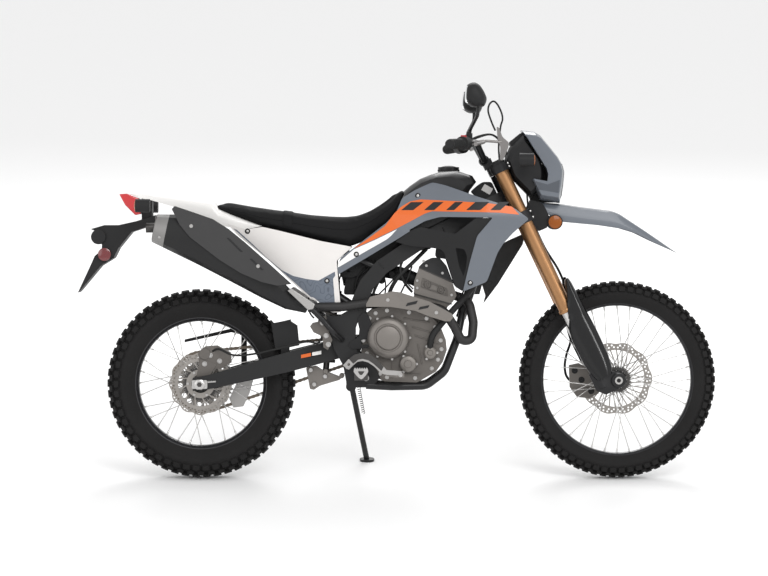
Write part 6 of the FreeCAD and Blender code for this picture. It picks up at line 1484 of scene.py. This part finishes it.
# The front caliper is cast alloy on the left leg, with dark bolts. Its black hose runs up
# the leg, cables come down from the bar, and a toothed sensor ring turns with the hub.
softened("front_caliper", "front_caliper_casting", "steering", "alloy", brake_alloy, 5)
screws("front_caliper_bolts", "front_caliper", [(582, 372), (606, 340), (640, 300)], 7, 6, clamp_black,
       "steering", (-1, 1))
front_routes = (
    (4.4, [(598, 66, 330), (577, 82, 330), (556, 100, 350), (550, 110, 385), (557, 118, 428),
           (572, 128, 477), (575, 136, 560), (560, 130, 640), (530, 110, 720), (480, 90, 800),
           (440, 60, 880), (400, 20, 950)]),
    (3.2, [(356, -64, 1139), (387, -70, 1093), (408, -66, 1023), (412, -50, 971), (420, -30, 900)]),
    (3.2, [(300, -58, 1212), (286, -62, 1244), (275, -66, 1279), (279, -68, 1303), (293, -68, 1314),
           (307, -66, 1303), (321, -62, 1275), (325, -58, 1251), (318, -54, 1223), (312, -50, 1150),
           (320, -44, 1060)]),
    (3.0, [(196, -236, 1168), (240, -190, 1190), (290, -110, 1196), (330, -60, 1160), (350, -40, 1090)]),
    (3.0, [(196, 236, 1168), (245, 190, 1194), (296, 110, 1200), (334, 60, 1150), (340, 40, 1070)]),
)
hoses("front_hoses_and_cables", front_routes, "steering", "rubber", hose_rubber)
sensor_ring("front", front_axle, 48, 33, 44, -39.5)

# The cowl is a faceted blue-grey moulding round a black lamp house with a clear lens in
# front. A black instrument, a stay and the frame head's gusset and label stand behind it.
lens_clear = moulded("lens_clear", (0.55, 0.57, 0.58), 0.08, 0.004, 0.00006, 0.06, coat=1.0)
glass_dark = moulded("glass_dark", (0.010, 0.012, 0.014), 0.06, 0.004, 0.00002, 0.06, coat=1.0)
softened("headlight_cowl", "headlight_cowl_shell", "steering", "grey_plastic", grey_plastic, 2, sharp=14)
softened("lamp_house", "lamp_house_moulding", "steering", "black_plastic", black_plastic, 2)
softened("fender_root", "mudguard_root", "steering", "black_plastic", black_plastic, 4)
cowl_face = skin("headlight_cowl")
cowl_front = BVHTree.FromPolygons(*solid_mesh("headlight_cowl"))


def cowl_reach(x, z):
    """How far out the cowl's side lies; just off its edge the last value near it stands."""
    for shift in (0, 4, 8, 14, 22):
        y = cowl_face(x / MM - shift, z / MM)
        if y is not None:
            return abs(y)
    return 0.1


shade_sheets, lens_sheet, bezel_sheet = Shape(), Shape(), Shape()
# A darker grey film on the cowl's lower facet is painted shade: the moulding there is the same blue-grey
# plastic.
shade_outline = scaled([(436, 1036), (480, 1024), (522, 1040), (518, 994), (450, 1006)])
for sign in (-1, 1):
    shade_sheets.add(*panel_sheet(shade_outline, [], cowl_reach, 0.5 * MM, 0.4 * MM, sign, 10 * MM))
cowl_shade_grey = moulded("cowl_shade_grey", (0.070, 0.078, 0.092), 0.36, 0.0012, 0.00004, 0.06, coat=0.2, shine=0.3)
shade_sheets.make("cowl_lower_painted_shade", "steering", "grey_plastic", cowl_shade_grey, sharp=30)


def front_sheet(shape, half_top, half_low, low, high, lift, wall, rows=14, columns=20):
    """A sheet that follows the cowl's front between two heights, with a dropped lower edge."""
    verts = []
    for layer in (lift, lift - wall):
        for row in range(rows + 1):
            share = row / rows
            half = half_low + (half_top - half_low) * share ** 0.8
            for column in range(columns + 1):
                across = -1 + 2 * column / columns
                y = across * half
                z = low + (high - low) * share - 10 * (1 - share) * (1 - across ** 2)
                hit = cowl_front.ray_cast(Vector((1.5, y * MM, z * MM)), Vector((-1, 0, 0)))[0]
                x = hit.x if hit else verts[-1][0] - layer
                verts.append((x + layer, y * MM, z * MM))
    closed_sheet(shape, verts, rows, columns)


front_sheet(bezel_sheet, 84, 62, 984, 1096, 1.2 * MM, 6 * MM)
front_sheet(lens_sheet, 77, 55, 991, 1089, 2.6 * MM, 3 * MM)
bezel_sheet.make("headlight_bezel", "steering", "black_plastic", black_plastic)
lens_sheet.make("headlight_lens", "steering", "chrome", lens_clear)
gusset, lamp_stay, label, meter, meter_glass = Shape(), Shape(), Shape(), Shape(), Shape()
label_place = Matrix.Translation((0.272, -0.039, 1.008)) @ Matrix.Rotation(math.radians(30), 4, "Y")
for shape, corner, half, place, points in (
    (gusset, 8, 38, None, [(214, 1000), (236, 1020), (256, 1034), (288, 1034), (302, 1004), (330, 940),
                           (330, 905), (290, 930)]),
    (lamp_stay, 5, 30, None, [(352, 1094), (412, 1000), (428, 962), (516, 962), (518, 974), (494, 1036),
                              (468, 1096)]),
    (label, 2, 1, label_place, [(-17, -12), (17, -12), (17, 12), (-17, 12)]),
    (meter, 4, 62, None, [(346, 1168), (392, 1206), (408, 1190), (362, 1152)]),
    (meter_glass, 1, 54, None, [(345.5, 1170), (386, 1203), (388, 1200), (348, 1167)]),
):
    shape.add(*slab(points, corner, -half, half), place)
gusset.make("frame_head_gusset", "chassis", "frame", black_plastic, rounding=4)
lamp_stay.make("headlight_stay", "steering", "black_plastic", black_plastic, rounding=3)
label.make("blank_label_plate", "chassis", "steel", satin_alloy, sharp=40)
meter.make("instrument_case", "steering", "black_plastic", black_plastic, rounding=4)
meter_glass.make("instrument_glass", "steering", "black_plastic", glass_dark)
amber_lens = moulded("amber_lens", (0.26, 0.066, 0.002), 0.24, 0.003, 0.0002, 0.1, coat=0.15, shine=0.3)
lens_dome = [(0.1, -4.5), (10, -4), (17, -2.2), (20.5, 0.6), (20.5, 6), (0.1, 6)]
amber_parts, amber_rims = Shape(), Shape()
for side in (-1, 1):
    place = Matrix.Translation((0.508, 0, 0.894)) @ to_side(side)
    amber_parts.knob([(0.1, -76), (20, -75.5), (23, -74), (23, -70), (0.1, -70)], 40, place)
    rim_profile = [(23.2, -75), (26, -74), (26.5, -68), (22, -60), (0.1, -58), (0.1, -71), (23.2, -71)]
    amber_rims.ring(rim_profile, 40, place)
    place = Matrix.Translation((0.430, side * 0.194, 1.108)) @ Matrix.Rotation(math.radians(90), 4, "Z")
    amber_parts.knob(lens_dome, 36, place)
amber_parts.make("front_amber_lenses", "steering", "lamp_red", amber_lens)
amber_rims.make("front_reflector_rims", "steering", "black_plastic", black_plastic)
softened("front_signals", "front_signal_housings", "steering", "black_plastic", black_plastic, 3)

# The handlebar is black steel tube in two clamps. Rubber grips, switch housings and levers
# sit at its ends, and the mirrors stand on black stems with their glass to the rear.
softened("handlebar", "handlebar_tube", "steering", "frame", black_paint, 1)
softened("bar_clamps", "handlebar_clamps", "steering", "alloy", clamp_black, 2)
softened("hand_controls", "grips_and_switches", "steering", "rubber", hose_rubber, 2)
lever_alloy = moulded("lever_alloy", (0.20, 0.19, 0.185), 0.36, 0.0012, 0.0001, 0.12, metallic=0.85)
lever_blades = Shape()
for side in (-1, 1):
    blade = curve_through([(184, side * 236, 1164), (216, side * 246, 1166), (250, side * 272, 1167),
                           (256, side * 310, 1166), (246, side * 352, 1162), (230, side * 392, 1158),
                           (224, side * 406, 1157)])
    last = len(blade) - 1
    widths = [(7.2 - 2.6 * math.sin(math.pi * index / last)) * MM for index in range(last + 1)]
    lever_blades.add(*tube(blade, widths, 14))
perch = scaled([(176, 1152), (206, 1152), (222, 1160), (222, 1172), (206, 1180), (176, 1180)])
lever_blades.both_plates(rounded(perch, 5 * MM), [], 228, 250)
reach_line = [
    (300, 1222), (309, 1217), (320, 1186), (341, 1168), (341, 1152), (328, 1118), (320, 1104),
    (311, 1108), (313, 1150), (303, 1184),
]
lever_blades.add(*slab(reach_line, 5, -232, -224))
lever_blades.add(*tube(curve_through([(210, -236, 1168), (262, -232, 1172), (318, -228, 1168)]), 5 * MM, 12))
lever_blades.make("hand_levers", "steering", "alloy", lever_alloy, "levers", 2, sharp=40)
mirror_foot = 1.284
softened("mirrors", "mirror_stems", "steering", "black_plastic", black_paint, 0.5,
         keep=lambda spot: spot.z < mirror_foot)
mirror_shares = [
    (0.045, 0.84), (0.227, 0.96), (0.455, 1.0), (0.682, 0.88), (0.864, 0.64), (1.0, 0.36),
    (0.977, 0.2), (0.864, 0.0), (0.318, 0.0), (0.0, 0.2), (0.0, 0.48),
]
mirror_rim = rounded(spread(mirror_shares, 189, 1285, 75, 85), 10 * MM)
mirror_slices = 17
mirror_x, mirror_y, mirror_z = 0.218, 0.330, 1.328
mirror_half, mirror_round = 0.074, 3.2
housings, boots = Shape(), Shape()
for side in (-1, 1):
    verts = []
    for index in range(mirror_slices):
        across = -0.985 + 1.97 * index / (mirror_slices - 1)
        size = (1 - abs(across) ** mirror_round) ** (1 / mirror_round)
        y = side * (mirror_y + mirror_half * across)
        for x, z in mirror_rim:
            verts.append((mirror_x + (x - mirror_x) * size, y, mirror_z + (z - mirror_z) * size))
    housings.add(verts, ring_faces(mirror_slices, len(mirror_rim)))
    boots.add(*tube(scaled([(201, side * 232, 1160), (203, side * 234, 1178), (206, side * 238, 1204)]),
                    [11 * MM, 10 * MM, 7 * MM], 20))
housing_piece = housings.make("mirror_housings", "steering", "black_plastic", black_plastic, "mirrors",
                              sharp=60)
mirror_silver = moulded("mirror_silver", (0.75, 0.77, 0.78), 0.05, 0.004, 0.00001, 0.03, metallic=1.0)
housing_piece.data.materials.append(mirror_silver)
glass_x, glass_half, glass_low, glass_high = 0.1965, 0.058, 1.299, 1.360
for polygon in housing_piece.data.polygons:
    spot = upright @ polygon.center
    inside = abs(abs(spot.y) - mirror_y) < glass_half and glass_low < spot.z < glass_high
    if spot.x < glass_x and inside:
        polygon.material_index = 1
boots.make("mirror_boots", "steering", "rubber", hose_rubber, sharp=50)
ridges, bar_rings, red_buttons = Shape(), Shape(), Shape()
for side in (-1, 1):
    inner, outer = Vector((232, side * 150, 1168)), Vector((137, side * 412, 1157))
    back = (inner - outer).normalized()
    turn = Vector((0, 1, 0)).rotation_difference(back).to_matrix().to_4x4()
    for step in range(17):
        place = Matrix.Translation((outer + back * (6 + step * 6.6)) * MM) @ turn
        ridges.ring([(15, -1.8), (17.4, -1.2), (17.8, 0), (17.4, 1.2), (15, 1.8)], 28, place)
    place = Matrix.Translation((outer - back * 4) * MM) @ turn
    bar_rings.knob([(0.1, -4), (12, -4), (14, -2), (14, 6), (0.1, 6)], 28, place)
    spot = Matrix.Translation(((outer + back * 142) + Vector((4, 0, 22))) * MM)
    red_buttons.add(*slab([(-14, -6), (6, -6), (6, 6), (-14, 6)], 3, -8, 8), spot)
ridges.make("grip_ridges", "steering", "rubber", hose_rubber, sharp=50)
bar_rings.make("handlebar_end_caps", "steering", "black_plastic", black_plastic, sharp=40)
red_paint = moulded("red_button", (0.42, 0.010, 0.012), 0.35, 0.002, 0.0001, 0.1)
red_buttons.make("switch_buttons", "steering", "lamp_red", red_paint, rounding=1, sharp=40)

# The fuel tank is a black plastic moulding over the frame with a screw cap on top. The air
# box behind the engine, the intake and the duct plates between them are black mouldings too.
tank_black = moulded("tank_black", (0.011, 0.011, 0.0115), 0.4, 0.0012, 0.00012, 0.12, coat=0.1, shine=0.3)
softened("fuel_tank", "fuel_tank_moulding", "chassis", "black_plastic", tank_black, 9, segments=4)
softened("airbox", "air_box_moulding", "chassis", "black_plastic", black_plastic, 6)
cap_shape = Shape()
cap_profile = [
    (0.1, 1091), (12, 1090.4), (23, 1088), (31, 1084), (35.5, 1079), (37, 1074), (37, 1070), (0.1, 1070),
]
cap_turn = Matrix.Translation((0.138, 0, 0)) @ Matrix.Rotation(math.radians(90), 4, "X")
cap_shape.knob(cap_profile, 48, cap_turn)
for step in range(24):
    angle = 2 * math.pi * step / 24
    x, y = 138 + 36.8 * math.cos(angle), 36.8 * math.sin(angle)
    cap_shape.add(*tube(scaled([(x, y, 1071), (x, y, 1077)]), 1.6 * MM, 6))
cap_shape.make("fuel_cap", "chassis", "black_plastic", black_plastic, sharp=40)
ducts = Shape()
duct_outline = [
    (-243, 724), (-158, 774), (-32, 849), (-16, 822), (-60, 790), (-110, 752), (-165, 712), (-200, 700),
    (-240, 702),
]
duct_openings = [
    rounded(scaled([(-166, 750), (-148, 745), (-142, 738), (-152, 739)]), 2 * MM),
    rounded(scaled([(-219, 718), (-212, 731), (-204, 719)]), 2 * MM),
    rounded(scaled([(-131, 735), (-115, 745), (-113, 740), (-126, 732)]), 1.5 * MM),
]
ducts.both_plates(rounded(scaled(duct_outline), 4 * MM), duct_openings, 52, 55)
ducts.make("air_duct_plates", "chassis", "black_plastic", black_plastic, rounding=1)
intake = Shape()
intake_lines = (
    (30, [(-235, 0, 700), (-170, 0, 712), (-110, 0, 722)]),
    (24, [(-110, 0, 722), (-80, 0, 722), (-20, 0, 710), (28, 0, 690)]),
)
for radius, points in intake_lines:
    intake.add(*tube(curve_through(points), radius * MM, 28))
for x, y, z, size in ((-92, -34, 736, 17), (-60, -32, 712, 13), (-96, -38, 690, 12)):
    cap = [(0.1, -size * 0.9), (size * 0.8, -size * 0.9), (size, -size * 0.7), (size, size), (0.1, size)]
    intake.knob(cap, 28, at_mm(x, y, z))
for half, corners in (
    (42, [(-230, 640), (-215, 735), (-150, 770), (-120, 700), (-165, 640)]),
    (50, [(-200, 610), (-165, 645), (-60, 640), (-30, 612), (-80, 596), (-170, 590)]),
    (40, [(-130, 700), (-115, 790), (-20, 850), (60, 850), (80, 800), (10, 790), (-70, 740)]),
    (60, [(90, 770), (100, 850), (215, 850), (215, 700), (185, 690), (160, 760)]),
):
    intake.add(*slab(corners, 12, -half, half))
intake.make("intake_and_boxes", "chassis", "black_plastic", black_plastic, rounding=4)
loom_ends = (
    (3.2, -160, 620, -60, 760, -14, -58), (2.6, -150, 600, -20, 735, 18, -62),
    (2.6, -90, 610, -100, 745, 12, -56), (4.0, -190, 640, -105, 775, -20, -50),
    (2.6, 14, 660, -50, 760, -20, -54), (3.0, -40, 625, 10, 740, 8, -60),
    (3.0, 160, 600, 205, 700, 10, -48), (2.6, -240, 600, -235, 720, -12, -56),
)
loom_routes = [
    (radius, [(x1, y, z1), (x1 * 0.6 + x2 * 0.4 + bow, y - 6, z1 * 0.5 + z2 * 0.5), (x2, y, z2)])
    for radius, x1, z1, x2, z2, bow, y in loom_ends
]
hoses("wiring_looms", loom_routes, "chassis", "rubber", hose_rubber)

# The radiator is a finned black core on the left behind the shroud, with a black louvre
# outside it. Its fins stand close together.
fin_black, fin_shader, add, join = graph("fin_black")
fin_place = add("ShaderNodeTexCoord")
fin_wave = add("ShaderNodeTexWave", Scale=90.0, Distortion=0.4, bands_direction="Z")
join(fin_place, "Object", fin_wave, "Vector")
# The colour runs in bands: the darker stripes are painted shade in the gaps between the fins, against the
# lighter fin edges.
fin_gap_shade = add("ShaderNodeMapRange", **{"To Min": 0.004, "To Max": 0.045})
join(fin_wave, "Fac", fin_gap_shade, "Value")
join(fin_gap_shade, "Result", fin_shader, "Base Color")
fin_bump = add("ShaderNodeBump", Strength=0.8, Distance=0.002)
join(fin_wave, "Fac", fin_bump, "Height")
join(fin_bump, "Normal", fin_shader, "Normal")
fin_shader.inputs["Roughness"].default_value = 0.5
softened("radiator", "radiator_core_and_louvre", "chassis", "radiator", fin_black, 1.5)

# At the tail hang a red lamp, two signals on rubber stalks and a black plate bracket with
# round red reflectors on its sides. The number plate space stays empty.
red_lens = moulded("red_lens", (0.52, 0.008, 0.012), 0.14, 0.003, 0.0002, 0.1, coat=0.9)
dark_red_lens = moulded("dark_red_lens", (0.13, 0.004, 0.006), 0.12, 0.002, 0.0003, 0.1, coat=0.9)
softened("tail_lamp", "tail_lamp_lens", "chassis", "lamp_red", red_lens, 4, segments=3)
softened("plate_bracket", "plate_bracket_moulding", "chassis", "black_plastic", black_plastic, 2)
softened("rear_signals", "rear_signal_housings", "chassis", "black_plastic", black_plastic, 3)
rear_lenses, red_discs = Shape(), Shape()
for side in (-1, 1):
    place = Matrix.Translation((-0.943, side * 0.204, 0.950))
    rear_lenses.knob(lens_dome, 36, place @ Matrix.Rotation(math.radians(-90), 4, "Z"))
    place = Matrix.Translation((-1.062, 0, 0.781)) @ to_side(side)
    red_discs.knob([(0.1, -70.5), (19, -70), (22.5, -68.5), (23, -66), (0.1, -64)], 40, place)
rear_lenses.make("rear_signal_lenses", "chassis", "lamp_red", amber_lens)
red_discs.make("rear_side_reflectors", "chassis", "lamp_red", dark_red_lens)

# The foot controls: cast pegs with teeth and an end plate, a forged brake pedal on the right
# with a pale cut edge round its dark blade, a shift lever on the left, and passenger pegs.
softened("foot_pegs", "foot_peg_castings", "chassis", "steel", dark_steel, 1)
softened("brake_pedal", "brake_pedal_arm", "chassis", "steel", cover_grey, 1)
peg_face, pedal_face = skin("foot_pegs"), skin("brake_pedal")
peg_ends, pedal_blade, pedal_edges = Shape(), Shape(), Shape()
peg_end_outline = scaled([
    (-25, 12), (-21, 18), (-17, 12), (-13, 18), (-9, 12), (-5, 18), (-1, 12), (3, 18), (7, 12), (11, 18),
    (15, 12), (19, 18), (23, 12), (24, 3), (16, -9), (7, -19), (0, -23), (-7, -19), (-17, -9), (-26, 3),
])
peg_end_window = rounded(scaled([(-12, 5), (12, 5), (3, -8), (-5, -8)]), 3 * MM)
peg_reach = abs(peg_face(-166, 372))
peg_ends.both_plates(peg_end_outline, [peg_end_window], peg_reach / MM - 2, peg_reach / MM + 2,
                     Matrix.Translation((-0.165, 0, 0.376)))
blade_line = [
    (-209, 420), (-189, 436), (-161, 442), (-133, 436), (-109, 417), (-88, 392), (-96, 377), (-121, 400),
    (-141, 414), (-161, 419), (-177, 416), (-193, 402),
]
edge_line = [
    (-88, 394), (-78, 382), (-46, 380), (-26, 378), (-26, 364), (-50, 364), (-78, 366), (-97, 371),
    (-121, 395), (-142, 409), (-161, 414), (-179, 411), (-193, 399), (-209, 383), (-229, 398), (-209, 421),
    (-193, 404), (-177, 418), (-161, 421), (-141, 416), (-121, 402), (-96, 379),
]
pedal_y = pedal_face(-30, 366) / MM
pedal_blade.add(*slab(blade_line, 4, pedal_y - 1.5, pedal_y + 11))
pedal_edges.add(*slab(edge_line, 1.5, pedal_y - 2.5, pedal_y + 10, [circle(-0.209, 0.402, 5 * MM, 20)]))
peg_ends.make("foot_peg_end_plates", "chassis", "steel", bright_steel)
pedal_blade.make("brake_pedal_blade", "chassis", "steel", dark_steel)
pedal_edges.make("brake_pedal_edges", "chassis", "steel", satin_alloy)
softened("shift_lever", "shift_lever_arm", "chassis", "steel", cover_grey, 1)
softened("passenger_pegs", "passenger_peg_bars", "chassis", "alloy", satin_alloy, 3)
peg_teeth = Shape()
for side in (-1, 1):
    for row in (-186, -147):
        for step in range(12):
            y = side * (134 + step * 8.6) * MM
            tooth = scaled([(-3, 0), (3, 0), (1.5, 6), (-1.5, 6)])
            low, high = sorted((y - 2.2 * MM, y + 2.2 * MM))
            peg_teeth.add(*plate([(x + row * MM, z + 0.377) for x, z in tooth], [], low, high))
peg_teeth.make("foot_peg_teeth", "chassis", "steel", bright_steel, sharp=40)
screws("foot_control_bolts", "brake_pedal", [(-214, 392), (-30, 366)], 5.5, 5, bright_steel)

# The side stand is a black steel leg with a flat foot, on a bolt below the left of the
# frame. A return spring lies along it.
softened("side_stand", "side_stand_leg", "side_stand", "frame", black_paint, 1.5)
stand_top, stand_end = Vector((-196, 138, 318)), Vector((-178, 176, 214))
stand_run = stand_end - stand_top
stand_across = stand_run.cross(Vector((1, 0, 0))).normalized()
stand_side = stand_run.normalized().cross(stand_across)
spring_line = coil(stand_top + Vector((16, 6, 0)), stand_run, stand_across, stand_side, 5.5, 14, 12)
stand_spring = Shape()
stand_spring.add(*tube(spring_line, 1.3 * MM, 6))
stand_spring.make("side_stand_spring", "side_stand", "steel", dark_steel, sharp=60)
